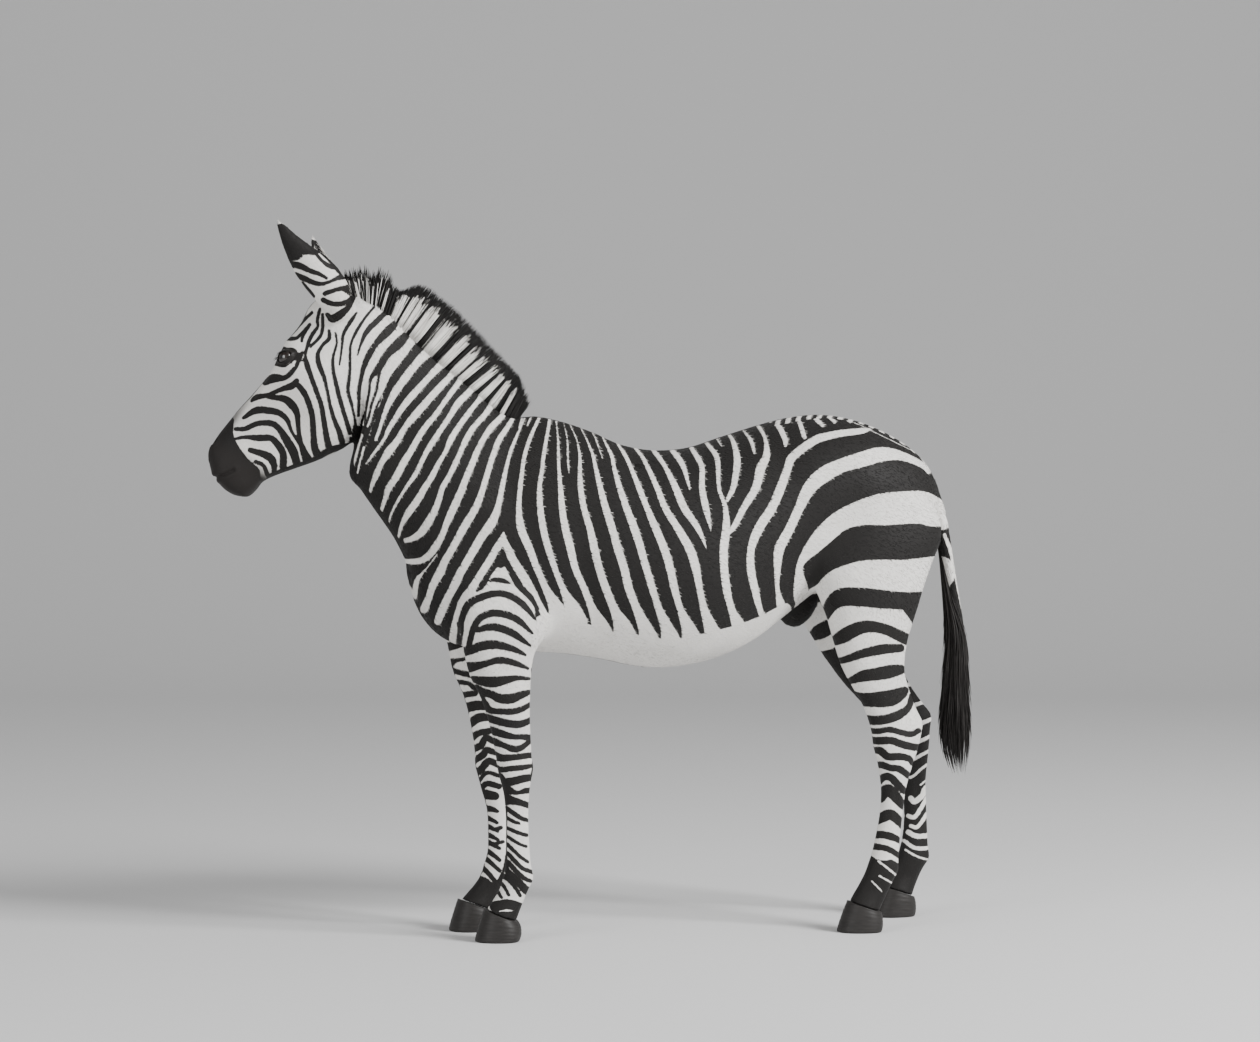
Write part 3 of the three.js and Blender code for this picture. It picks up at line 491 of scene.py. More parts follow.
@dataclass
class Region:
    """One limb of the body as a resampled table, used to find places on it.

    Args:
        name: Plain name of the region.
        ribs: Its table of ribs.
        steps: Rows to each span.
        turned: True where the table stands in the head's own frame.
    """

    name: str
    ribs: list[list[float]]
    steps: int = 2
    turned: bool = False
    rows: Array = field(init=False)
    run: Array = field(init=False)

    def __post_init__(self) -> None:
        """Fills in the rows and how far down the region each lies."""
        self.rows = resample(self.ribs, self.steps)
        mid = (self.rows[:, 0:2] + self.rows[:, 2:4]) / 2
        self.run = run_along(mid)

    def locate(self, p: Array) -> dict[str, Array]:
        """Finds points along, across and around the region.

        Args:
            p: Points in table centimetres.

        Returns:
            row (fraction of a row index), along (0 rear to 1 front), side (cm from the
            region's own middle), fill (1 on the flesh, less inside) and run (cm down it).
        """
        q = unturn_head(p) if self.turned else p
        r = self.rows
        lo = np.array([min(r[:, 0].min(), r[:, 2].min()) - 7, (r[:, 5] - r[:, 4]).min() - 7,
                       min(r[:, 1].min(), r[:, 3].min()) - 7])
        hi = np.array([max(r[:, 0].max(), r[:, 2].max()) + 7, (r[:, 5] + r[:, 4]).max() + 7,
                       max(r[:, 1].max(), r[:, 3].max()) + 7])
        near = np.flatnonzero(((q > lo) & (q < hi)).all(1))
        parts = [self._locate(q[near[i:i + 30000]]) for i in range(0, len(near), 30000)]
        found = {k: np.full(len(q), 9.0 if k == "fill" else 0.0) for k in FOUND}
        for k in FOUND:
            if parts:
                found[k][near] = np.concatenate([part[k] for part in parts])
        return found

    def _locate(self, q: Array) -> dict[str, Array]:
        """What locate says, for points near the region."""
        fx, fz, rx, rz = (self.rows[:, i][None, :] for i in range(4))
        px, pz = q[:, 0:1], q[:, 2:3]
        length = np.hypot(fx - rx, fz - rz)
        cross = ((fx - rx) * (pz - rz) - (fz - rz) * (px - rx)) / length
        along = ((fx - rx) * (px - rx) + (fz - rz) * (pz - rz)) / length ** 2
        c0, c1 = cross[:, :-1], cross[:, 1:]
        t = np.clip(c0 / np.where(np.abs(c0 - c1) < 1e-9, 1e-9, c0 - c1), 0, 1)
        here = along[:, :-1] * (1 - t) + along[:, 1:] * t
        miss = np.minimum(np.abs(c0), np.abs(c1)) * (c0 * c1 > 0)
        cost = miss + 4 * np.maximum(np.abs(here - 0.5) - 0.5, 0)
        k = cost.argmin(1)
        n = np.arange(len(q))
        row = k + t[n, k]
        r = self.rows[k] * (1 - t[n, k])[:, None] + self.rows[k + 1] * t[n, k][:, None]
        over = miss[n, k]
        level, ef, er, w = r[:, 6], r[:, 7], r[:, 8], r[:, 4]
        f = here[n, k]
        side = q[:, 1] - r[:, 5]
        a = (f - level) / np.where(f >= level, 1 - level, level)
        e = np.where(f >= level, ef, er)
        fill = (np.abs(a) ** e + np.abs(side / w) ** e) ** (1 / e)
        angle = np.arctan2(side / w, a)
        span = self.run[k] * (1 - t[n, k]) + self.run[k + 1] * t[n, k]
        return {"row": row, "along": f, "side": side, "fill": fill + over / 6, "run": span,
                "angle": angle, "mid_y": r[:, 5], "w": w,
                "half": np.hypot(r[:, 0] - r[:, 2], r[:, 1] - r[:, 3]) / 2}


REGIONS = {
    region.name: region for region in (
        Region("trunk", TRUNK), Region("neck", NECK, 3), Region("head", HEAD, 2, True),
        Region("fore_left", FORE_LEFT), Region("fore_right", FORE_RIGHT),
        Region("hind_left", HIND_LEFT), Region("hind_right", HIND_RIGHT),
        Region("dock", DOCK, 3))
}
NAMES = tuple(REGIONS)


def fills_of(p: Array) -> Array:
    """How far out each point lies in each region, one row to a region."""
    return np.stack([region.locate(p)["fill"] for region in REGIONS.values()])


def within(owner: Array, *names: str) -> Array:
    """True where the owner, an index of NAMES, is one of the named regions."""
    return np.isin(owner, [NAMES.index(name) for name in names])


def down_and_front(q: Array) -> tuple[Array, Array]:
    """Places in the head's own frame as (down its axis, out to the front), in centimetres."""
    x, z = q[:, 0] - HEAD_ORIGIN[0], q[:, 2] - HEAD_ORIGIN[1]
    return x * HEAD_ALONG[0] + z * HEAD_ALONG[1], x * HEAD_FRONT[0] + z * HEAD_FRONT[1]


def gap_to_path(x: Array, z: Array, path: list[tuple[float, float]]) -> Array:
    """Distance of each point (x, z) from a path of straight runs."""
    gap = np.full(len(x), 9.0)
    for a, b in zip(np.array(path[:-1]), np.array(path[1:])):
        d = b - a
        t = np.clip(((x - a[0]) * d[0] + (z - a[1]) * d[1]) / (d @ d), 0, 1)
        gap = np.minimum(gap, np.hypot(x - a[0] - t * d[0], z - a[1] - t * d[1]))
    return gap


# ------------------------------------------------------------------ the skin
VIEW_TURN = 12                   # degrees from square to the left side, of camera and sheet
VIEW_AWAY = 8.0                  # metres from the camera to the middle of the animal
VIEW_HIGH = 1.10                 # metres from the ground to the camera
COAT_DEPTH = 0.4                 # cm, how far the skin lies inside the flesh of the solids
COAT_SPLIT = 20.0                # cm, where the fore pieces of the coat end and the rear begin
EYE_AT = np.array([-76.3, 8.75, 141.6])     # cm, in the head's own frame
EYE_RADIUS = 2.1                 # cm
EYE_GAZE = np.array([-0.30, -0.95, 0.05])
EYE_SLANT = np.array([-0.86, 0.27, -0.42])  # from the middle to the front corner


@dataclass(frozen=True)
class Swell:
    """A soft swelling or hollow of the flesh.

    Args:
        at: Its middle in table centimetres; y is the distance from the median plane.
        reach: Its half widths along x, y and z in centimetres.
        lift: How far it stands out in centimetres, less than zero for a hollow.
        tilt: Turn of its x and z axes about Y, in degrees.
        where: Regions it may move.
    """

    at: tuple[float, float, float]
    reach: tuple[float, float, float]
    lift: float
    tilt: float = 0.0
    where: str = "trunk neck head fore_left fore_right hind_left hind_right"

    def weight(self, p: Array) -> Array:
        """Share of the lift at each point, given with y as distance from the middle."""
        d = p - np.array(self.at)
        c, s = math.cos(math.radians(self.tilt)), math.sin(math.radians(self.tilt))
        dx, dz = d[:, 0] * c + d[:, 2] * s, -d[:, 0] * s + d[:, 2] * c
        q = (dx / self.reach[0]) ** 2 + (d[:, 1] / self.reach[1]) ** 2
        return np.exp(-1.6 * (q + (dz / self.reach[2]) ** 2))


BODY_SWELLS = [
    Swell((-30, 15, 103), (5, 9, 15), 0.5, 22),          # front of the shoulder blade
    Swell((-23, 16, 106), (3, 9, 15), -0.35, 22),        # groove behind its spine
    Swell((-15, 18, 98), (7, 9, 13), 0.45, 15),          # triceps
    Swell((-8, 19, 88), (4, 9, 12), -0.55, 10),          # hollow behind the elbow
    Swell((-36, 13, 88), (6, 8, 8), 0.5, 0),             # point of the shoulder
    Swell((44, 20, 92), (6, 9, 12), -0.7, -25),          # flank
    Swell((50, 20, 113), (6, 10, 7), 0.5, 0),            # point of the hip
    Swell((42, 20, 117), (4, 10, 6), -0.45, 0),          # hollow before the hip
    Swell((54, 19, 88), (7, 9, 10), 0.4, 0),             # stifle
    Swell((66, 19, 104), (9, 9, 13), 0.3, 0),            # rump
    Swell((77, 17, 98), (3, 9, 12), -0.35, 15),          # groove of the hamstrings
    Swell((15, 23, 84), (16, 9, 10), 0.25, 0),           # belly
    Swell((-44, 4, 93), (4, 5, 9), 0.5, 0),              # breast muscle
    Swell((-47, 0, 93), (4, 1.8, 9), -0.6, 0),           # furrow between the breast muscles
    Swell((-52, 7, 125), (3, 5, 16), -0.35, 28),         # groove of the neck
    Swell((-44, 8, 128), (5, 6, 14), 0.3, 30),           # neck muscle
    Swell((-34, 9, 116), (4, 8, 13), -0.3, 25),          # before the shoulder
]
FORE, LEFT, RIGHT = "fore_left fore_right", "hind_left", "hind_right"
LIMB_SWELLS = [
    Swell((-34.5, 11.5, 63), (4, 4, 7), 0.35, 5, FORE),
    Swell((-22.5, 13, 66), (4, 5, 7), 0.3, 0, FORE),
    Swell((-29.0, 11.0, 41), (2.5, 3.4, 3.5), 0.3, 0, FORE),
    Swell((-20.0, 11.0, 42), (2.0, 3.0, 2.6), 0.45, 0, FORE),
    Swell((-22.2, 13.8, 27), (1.0, 2.2, 8), -0.3, 0, FORE),
    Swell((-22.2, 8.2, 27), (1.0, 2.2, 8), -0.3, 0, FORE),
    Swell((-19.6, 11, 15), (1.8, 2.6, 2.0), 0.35, 0, FORE),
    Swell((-27.6, 11, 16.5), (2.0, 3.2, 2.2), 0.2, 0, FORE),
    Swell((-24.5, 11, 10.5), (3.0, 4.5, 1.6), -0.25, 0, FORE),
    Swell((63, 14, 74), (4, 5, 9), 0.35, -15, LEFT),
    Swell((74, 13.5, 61), (2, 3, 6), -0.3, -10, LEFT),
    Swell((74.5, 16.5, 54), (1.6, 3, 6), -0.5, -20, LEFT),
    Swell((74.5, 9.5, 54), (1.6, 3, 6), -0.5, -20, LEFT),
    Swell((79.0, 13, 51.5), (2.2, 3, 2.5), 0.4, 0, LEFT),
    Swell((68.5, 13, 46), (3.0, 4, 3.2), 0.3, 0, LEFT),
    Swell((71.8, 16, 32), (1.0, 2.4, 8), -0.3, 0, LEFT),
    Swell((71.8, 10, 32), (1.0, 2.4, 8), -0.3, 0, LEFT),
    Swell((72.6, 13, 15), (1.8, 2.6, 2.0), 0.35, 0, LEFT),
    Swell((64.6, 13, 17), (2.0, 3.2, 2.2), 0.2, 0, LEFT),
    Swell((66.5, 13, 10.5), (3.0, 4.5, 1.6), -0.25, 0, LEFT),
    Swell((66, 14, 74), (4, 5, 9), 0.35, -20, RIGHT),
    Swell((83.5, 16.5, 54), (1.6, 3, 6), -0.5, -25, RIGHT),
    Swell((83.5, 9.5, 54), (1.6, 3, 6), -0.5, -25, RIGHT),
    Swell((90.0, 13, 51.5), (2.2, 3, 2.5), 0.4, 0, RIGHT),
    Swell((79.5, 13, 46), (3.0, 4, 3.2), 0.3, 0, RIGHT),
    Swell((85.6, 16, 32), (1.0, 2.4, 8), -0.3, 0, RIGHT),
    Swell((85.6, 10.5, 32), (1.0, 2.4, 8), -0.3, 0, RIGHT),
    Swell((88.6, 13, 15), (1.8, 2.6, 2.0), 0.35, 0, RIGHT),
    Swell((83.0, 13, 10.5), (3.0, 4.5, 1.6), -0.25, 0, RIGHT),
]


@dataclass
class SkinBuilder:
    """Makes the one skin of head, neck, trunk, legs, ears and dock.

    Args:
        voxel: Size of the cells that join the flesh into one surface, in metres.
    """

    voxel: float

    def raw(self) -> Object:
        """The overlapping flesh joined and remeshed as one surface."""
        shapes = [
            sections(resample(TRUNK, 6), 96, -COAT_DEPTH),
            sections(resample(NECK, 8), 80, -COAT_DEPTH),
            turn_head(sections(resample(HEAD, 10), 96, -COAT_DEPTH)),
            *(sections(resample(leg, 6), 56, -COAT_DEPTH)
              for leg in (FORE_LEFT, FORE_RIGHT, HIND_LEFT, HIND_RIGHT)),
            sections(resample(DOCK, 6), 32, -0.2),
            sections(resample(SHEATH, 6), 32, -0.2),
        ]
        verts, tris, count = [], [], 0
        for rows in shapes + [ear_rows("left"), ear_rows("right")]:
            v, t = tube(metres(rows))
            verts.append(v)
            tris.append(t + count)
            count += len(v)
        obj = new_object("skin", np.vstack(verts), np.vstack(tris))
        mod = obj.modifiers.new("join", "REMESH")
        mod.mode = "VOXEL"
        mod.voxel_size = self.voxel
        mod.use_smooth_shade = True
        apply_modifiers(obj)
        return obj

    def build(self) -> Object:
        """The skin, joined, smoothed and shaped."""
        obj = self.raw()
        LOG.info("skin remeshed to %d faces", len(obj.data.polygons))
        p = centimetres(coords(obj.data))
        fills = fills_of(p)
        order = np.sort(fills, axis=0)
        crease = 1 - smoothstep(order[1] - order[0], 0.06, 0.30)
        ear = ear_share(p)
        crease = crease * (1 - ear)
        self.smooth(obj, np.clip(0.25 * (1 - ear) + 0.12 * ear, 0, 1), 8)
        self.smooth(obj, crease * 0.9, int(round((0.022 / self.voxel) ** 2)))
        self.shape(obj, fills.argmin(0), ear)
        return obj

    @staticmethod
    def smooth(obj: Object, weight: Array, times: int) -> None:
        """Evens the surface by vertex weights.

        Args:
            obj: The mesh object.
            weight: One weight to each vertex.
            times: Rounds of smoothing.
        """
        mesh = obj.data
        edges = np.empty(len(mesh.edges) * 2, np.int32)
        mesh.edges.foreach_get("vertices", edges)
        a, b = edges.reshape(-1, 2).T
        p = coords(mesh)
        n = len(p)
        degree = np.maximum(np.bincount(a, minlength=n) + np.bincount(b, minlength=n), 1)
        moving = weight > 1e-3
        keep = moving[a] | moving[b]
        a, b = a[keep], b[keep]
        for _ in range(min(times, 60)):
            for k in range(3):
                total = np.bincount(a, p[b, k], n) + np.bincount(b, p[a, k], n)
                mean = np.where(moving, total / degree, p[:, k])
                p[:, k] += (mean - p[:, k]) * weight
        move_to(mesh, p)

    def shape(self, obj: Object, owner: Array, ear: Array) -> None:
        """Raises and sinks the surface where muscle, bone and hollows lie."""
        p = centimetres(coords(obj.data))
        n = normals(obj.data)
        folded = np.stack([p[:, 0], np.abs(p[:, 1]), p[:, 2]], 1)
        q = unturn_head(p)
        in_head = within(owner, "head") & (ear < 0.5)
        head = np.stack([q[:, 0], np.abs(q[:, 1]), q[:, 2]], 1)
        lift = np.zeros(len(p))
        for swell in BODY_SWELLS:
            lift += swell.lift * swell.weight(folded) * (~in_head)
        for swell in LIMB_SWELLS:
            lift += swell.lift * swell.weight(folded) * within(owner, *swell.where.split())
        for swell in HEAD_SWELLS:
            lift += swell.lift * swell.weight(head) * in_head
        p += n * lift[:, None]
        move_to(obj.data, metres(p))


HEAD_SWELLS = [
    Swell((-77, 8, 145.5), (4.2, 5, 1.8), 0.55, -8),       # brow over the eye
    Swell((-77.5, 8, 136.5), (3.0, 4, 2.2), -0.3, -10),    # hollow under the eye
    Swell((-83, 7, 134), (6.0, 4, 1.2), 0.5, 50),          # crest of the cheek bone
    Swell((-70, 8, 130), (6.0, 6, 7.0), 0.45, 0),          # cheek muscle
    Swell((-67, 6, 147), (2.6, 4, 3.5), -0.5, 0),          # hollow of the temple
    Swell((-88.5, 4, 125), (3.0, 3, 4.0), -0.3, 50),       # side of the nose
    Swell((-97, 4.0, 119.5), (2.2, 3, 2.4), 0.5, 40),      # wing of the nostril
    Swell((-95, 4.5, 113.5), (2.5, 3, 1.6), 0.35, 20),     # upper lip
    Swell((-91, 3.5, 110.5), (2.6, 3, 1.5), 0.3, 20),      # lower lip
]


# ------------------------------------------------------------------ ears
EAR_LENGTH = 25.6
EAR = [
    (-3.2, -2.4, 3.4, 2.4), (0.0, -2.9, 4.9, 3.1), (4.0, -3.2, 6.0, 3.7),
    (8.0, -3.8, 6.0, 3.7), (12.0, -4.0, 5.1, 3.2), (16.0, -3.6, 3.2, 2.4),
    (20.0, -2.8, 1.6, 1.6), (23.2, -1.9, 0.6, 0.9), (25.0, -1.2, 0.1, 0.45),
    (EAR_LENGTH, -0.8, -0.2, 0.15),
]
EARS = {
    "left": ((-66.6, -5.2, 153.6), (-81.2, -9.0, 175.5), -22, 1.0, -1),
    "right": ((-63.6, 5.4, 152.6), (-69.6, 14.0, 172.8), 30, 0.88, 1),
}


def ear_frame(which: str) -> tuple[Array, Array, float, int]:
    """The ear's axes (broad, deep, along) as rows, its root, size and side."""
    root, tip, roll, size, side = EARS[which]
    root = Vector(root)
    along = (Vector(tip) - root).normalized()
    broad = -Vector((1, 0, 0)).cross(along).cross(along)
    broad = (broad - along * broad.dot(along)).normalized()
    broad = Matrix.Rotation(math.radians(roll), 3, along) @ broad
    deep = along.cross(broad)
    return np.array([broad, deep, along]), np.array(root), size, side


def ear_leaf(up: Array) -> Iterator[Array]:
    """An ear's outer edge, inner edge and depth at a level."""
    table = np.array(EAR)
    return (np.interp(up, table[:, 0], table[:, k]) for k in (1, 2, 3))


def ear_rows(which: str, sides: int = 60) -> Array:
    """Sections of an ear: a leaf rolled about its length and open in front."""
    axes, root, size, side = ear_frame(which)
    levels = [row[0] for row in EAR]
    s = np.concatenate([np.linspace(a, b, 8, endpoint=False)
                        for a, b in zip(levels[:-1], levels[1:])] + [[EAR_LENGTH]])
    outer, inner, depth = ear_leaf(s)
    middle, half = (outer + inner) / 2, (inner - outer) / 2 - 0.12
    depth = np.maximum(depth - 0.12, 0.2)
    half = np.maximum(half, 0.2)
    gap = ear_gap(s)
    wall = np.interp(s, [-3.2, 8, 20, EAR_LENGTH], [0.9, 0.75, 0.6, 0.3])
    half_sides = sides // 2
    t = np.linspace(0, 1, half_sides)[None, :]
    turn = gap[:, None] + t * (2 * math.pi - 2 * gap[:, None])
    taper = np.clip(np.minimum(t, 1 - t) * 7, 0.45, 1)
    scoop = np.clip(1 - wall / np.minimum(half, depth), 0.15, 1)[:, None]
    scoop = np.where(s[:, None] < 2, 0.25, scoop)
    inward = 1 - (1 - scoop) * taper
    out_b = middle[:, None] + half[:, None] * np.sin(turn)
    out_d = depth[:, None] * np.cos(turn)
    in_b = middle[:, None] + half[:, None] * inward * np.sin(turn)
    in_d = depth[:, None] * inward * np.cos(turn)
    b = np.concatenate([out_b, in_b[:, ::-1]], 1)
    d = np.concatenate([out_d, in_d[:, ::-1]], 1)
    local = np.stack([b * size, -side * d * size, np.broadcast_to(s[:, None] * size, b.shape)], -1)
    return local @ axes + root


def ear_local(p: Array, which: str) -> Array:
    """Points in an ear's own frame as (broad, deep, along), all in its table centimetres."""
    axes, root, size, side = ear_frame(which)
    q = (p - root) @ axes.T / size
    return np.stack([q[:, 0], -side * q[:, 1], q[:, 2]], 1)


def by_ear(e: Array) -> Array:
    """True for the points, in an ear's own frame, that are near that ear."""
    return (np.abs(e[:, 0] - 1) < 7) & (np.abs(e[:, 1]) < 5.2) & (e[:, 2] < 27)


def ear_share(p: Array) -> Array:
    """One on the ears, none elsewhere."""
    share = np.zeros(len(p))
    for which in EARS:
        e = ear_local(p, which)
        share = np.maximum(share, smoothstep(e[:, 2], 1.0, 4.0) * by_ear(e))
    return share


def ear_gap(up: Array) -> Array:
    """Half the angle that an ear stands open at a level, in radians."""
    return np.radians(np.interp(up, [-3.2, 1.5, 5, 10, 20, EAR_LENGTH], [0, 4, 48, 62, 66, 60]))


# ------------------------------------------------------------------ the markings
# Every stroke is a run of (along, up, width) in centimetres on a flat sheet of the left side.
NECK_WHITES = [
    (-43.1, 143, 2.8, -46.3, 140, 2.2, -48.5, 137, 2.3, -50.7, 134, 2.1, -52.3, 131, 1.5,
     -53.6, 128, 1.2, -54.5, 125, .9, -55.6, 122, .9),
    (-40, 140, 1.9, -43, 137, 1.9, -45.7, 134, 2, -48.2, 131, 1.8, -50.3, 128, 1.5, -52.2, 125, 1.3,
     -53.6, 122, .9, -55.8, 119, .8, -58, 116, .5),
    (-37.8, 137, 1.7, -40.6, 134, 1.9, -43.3, 131, 1.9, -45.9, 128, 2, -48.4, 125, 1.5,
     -50.1, 122, 1.7, -52.4, 119, 2.1, -54.3, 116, 1.5, -55.6, 113, 1.6, -56.8, 110, .9,
     -57.2, 107.5, .5),
    (-36.6, 134, 1.5, -38.8, 131, 1.3, -40.9, 128, 1.5, -43.4, 125, 1.6, -45.3, 122, 1.6,
     -47, 119, 1.7, -48.9, 116, 1.9, -50.4, 113, 1.9, -52.4, 110, 1.7, -53.4, 107, 1.2,
     -54.4, 104, .9),
    (-32.3, 134, 1.7, -35.2, 131, 1.8, -37.1, 128, 1.5, -39.1, 125, 1.4, -41.1, 122, 1.5,
     -43, 119, 1.4, -44.5, 116, 1.3, -46, 113, 1.3, -48.2, 110, .9, -50, 107, .8, -51.6, 104, .7,
     -52.5, 101, .5),
    (-27.9, 134, 2, -30.7, 131, 1.3, -33, 128, 1.5, -35.2, 125, 1.5, -37, 122, 1.6, -38.3, 119, 1.2,
     -40.1, 116, 1.3, -41.6, 113, 1.6, -43.5, 110, 1.7, -45.2, 107, 1.9, -47.4, 104, 1.9,
     -49.1, 101, 1.1, -50, 98, .8),
    (-23.4, 134, 1.5, -26.4, 131, 1.7, -28.7, 128, 1.5, -31.4, 125, 1.5, -33.2, 122, 1.6,
     -34.6, 119, 1.3, -35.9, 116, 1.5, -37.4, 113, 1.4, -39.1, 110, 1.5, -40, 107, 1.6,
     -41.2, 104, 1.8, -42.9, 101, 2.2, -44.5, 98.8, 2, -46.5, 97.5, 1.6, -48.2, 97, 1.3),
    (-22.4, 131, 1.5, -24.1, 128, 1.5, -27, 125, 1.7, -29, 122, 1.5, -30.5, 119, 1.6,
     -31.7, 116, 1.7, -33, 113, 1.7, -34.1, 110, 1.9, -35.4, 107, 2, -36.8, 104, 2,
     -38.1, 101, 1.7, -39.3, 98, 1.7, -41.1, 95, 2, -43, 92.8, 1.8, -45.3, 91.8, 1.6,
     -47.5, 91.8, 1.4),
    (-21.2, 128, 1.1, -23, 125, 1.4, -25, 122, 1.5, -26.2, 119, 1.5, -27.2, 116, 1.5,
     -28.1, 113, 1.6, -29, 110, 1.5, -30, 107, 1.8, -31.4, 104, 1.9, -33.3, 101, 2.1,
     -35, 98, 2, -36.6, 95, 1.9, -38.4, 92, 2, -39.7, 89, 2.3, -41.4, 86, 2, -42.4, 83, 1.8,
     -43.6, 80, 2.2),
    (-19.7, 125, .6, -21, 122, .9, -22.2, 119, 1, -23, 116, 1, -23.7, 113, 1.3, -24.3, 110, 1.4,
     -24.9, 107, 1.5, -25.7, 104, 1.9, -27.1, 101, 2.5, -29.3, 98, 2.2, -31.1, 95, 2.2,
     -32.8, 92, 2.1, -34.6, 89, 2.1, -36, 86, 2.3, -37.6, 83, 2, -39, 80, 2.2, -40.2, 77, 2),
    (-19.3, 127.5, .6, -20, 125, .6),
    (-17.3, 127.3, .6, -18, 125.5, .6),
    (-55.3, 129, .5, -57.6, 123, .8, -59.4, 117, .6, -60.6, 111.5, .5),
    (-59.2, 122.5, .6, -60.8, 117, .8, -62, 112, .4), (-43.4, 89.6, .5, -45.4, 87, 1.4, -46, 83, 1.4),
]
SHOULDER_WHITES = [
    (-23.9, 99, .4, -24.3, 97, 2, -25.6, 95, 2, -27.2, 92, 2.3, -29.2, 89, 2.1, -31.2, 86, 2,
     -33, 83, 2.2, -34.4, 80, 1.9, -35.3, 77, 1.7, -36, 74, 1.5),
    (-23.9, 99, .4, -23.5, 96.5, 1.6, -22.6, 94.5, 2, -21.6, 92, 2.3, -19.6, 89, 2.4,
     -17.5, 85.5, 2.3, -15.5, 82, 1.7, -14.2, 79.5, 1.8, -12.8, 76.5, 2.2),
    (-24.4, 92, 2, -25, 87.5, 7, -26, 83, 12, -26, 78, 18, -26.5, 72, 18, -27, 66, 17),
]
SHOULDER_BLACKS = [
    (-24.8, 93.8, .8, -26, 91, 1.2, -27.4, 89, 1.1, -29.2, 86, 1.3, -30.5, 84.5, .4),
    (-24.4, 93.8, .8, -23.2, 91.5, 1.2, -21.9, 89, 1.3, -20.2, 86, 1.4, -18.2, 83.8, 1.2,
     -17.3, 83, 1.2, -15.4, 80, .5),
    (-24.6, 93.2, .8, -24.6, 91.3, 2),
    (-27.3, 87, .3, -26, 87.3, .9, -24, 87, .9, -22.4, 86.4, .3),
    (-35, 71.5, 1.2, -34.6, 74.5, 1.3, -34.3, 77.5, 1.3, -32.7, 81.1, 1.6, -29.5, 82.9, 1.5,
     -25.5, 83.9, 1.4, -21.8, 83, 1.4, -18.6, 80.6, 1.3, -16.1, 77.5, .4),
    (-32.5, 70.9, 1.2, -31.4, 75.2, 1.3, -29.5, 77.9, 1.5, -26.4, 79, 1.5, -22.7, 78.4, 1.5,
     -20, 77, 1.4, -16.8, 74, .4),
    (-30.5, 74.7, 1, -26.8, 75.6, 1.6, -22.7, 74.5, 1.6, -20, 72.9, 1.3, -17.3, 70.9, .4),
    (-39.9, 72.4, 1, -38.4, 75.3, 1.2, -37, 78, 1.1),
]
THROAT_GROUND = [
    (-58, 157, 6, -62, 152, 8, -66, 146, 12, -66, 138, 14, -64.5, 131, 11, -62, 125, 5,
     -61, 121, 2),
    (-56, 153, 5, -59, 147, 5, -60.5, 140, 5, -60.5, 133, 5, -60.2, 127, 3),
    (-46.5, 147.5, 7, -50.5, 144.5, 6, -54, 139, 6, -57, 132, 4, -58, 126, 2),
    (-52, 150, 6, -56, 145, 6, -57.5, 138, 5, -58, 130, 4),
]
NECK_BLACKS = [
    (-55.5, 155.5, .5, -58.4, 152, .5, -60.3, 149, .7, -61.7, 146, .5, -62, 143, .6, -62, 140, .6,
     -62.3, 137, .8, -62.5, 134, .8, -61.7, 131, .7, -61, 128, .5, -60.5, 125, .6),
    (-52.5, 154.3, .9, -54.7, 152, 1.3, -57.7, 149, 1.2, -59.2, 146, .6, -60.1, 143, .3),
    (-49.6, 152, .9, -52.5, 149, 2.1, -55.4, 146, 1.4, -57.3, 143, 1.5, -58.6, 140, 1.2,
     -59.3, 137, .9, -59.8, 134, 1, -59.8, 131, .7, -59.9, 128, .6),
    (-44, 151.3, .6, -47, 149, 1.3, -49.8, 146, 2.4, -52.9, 143, 1.8, -54.7, 140, 1.8,
     -56.9, 137, .7, -57.2, 134, .5, -57.8, 131, .5, -58.4, 126, .3),
    (-54.3, 140.6, .8, -55, 137, .6, -55.5, 134, .6, -56.6, 131, .6, -57.3, 128, .5,
     -58.8, 123.7, .6),
    (-40, 148.5, .7, -44.3, 146, 1.8, -46.5, 143, 2.2, -48.9, 140, 2.1, -51.1, 137, 2.1,
     -52.8, 134, 1.4, -53.8, 131, 1, -55.7, 128, .5, -57, 125, .5, -58.5, 120.7, .7),
    (-53.6, 131, .8, -54.4, 128, .5, -55.4, 125, .6, -57, 121, .7),
    (-36.1, 145.8, .7, -40.3, 143, 1.2, -43.1, 140, 2.6, -45.6, 137, 2.4, -48.2, 134, 2,
     -50.3, 131, 1.7, -51.8, 128, 1.2, -53.4, 125, .9, -54.6, 122, .7),
]
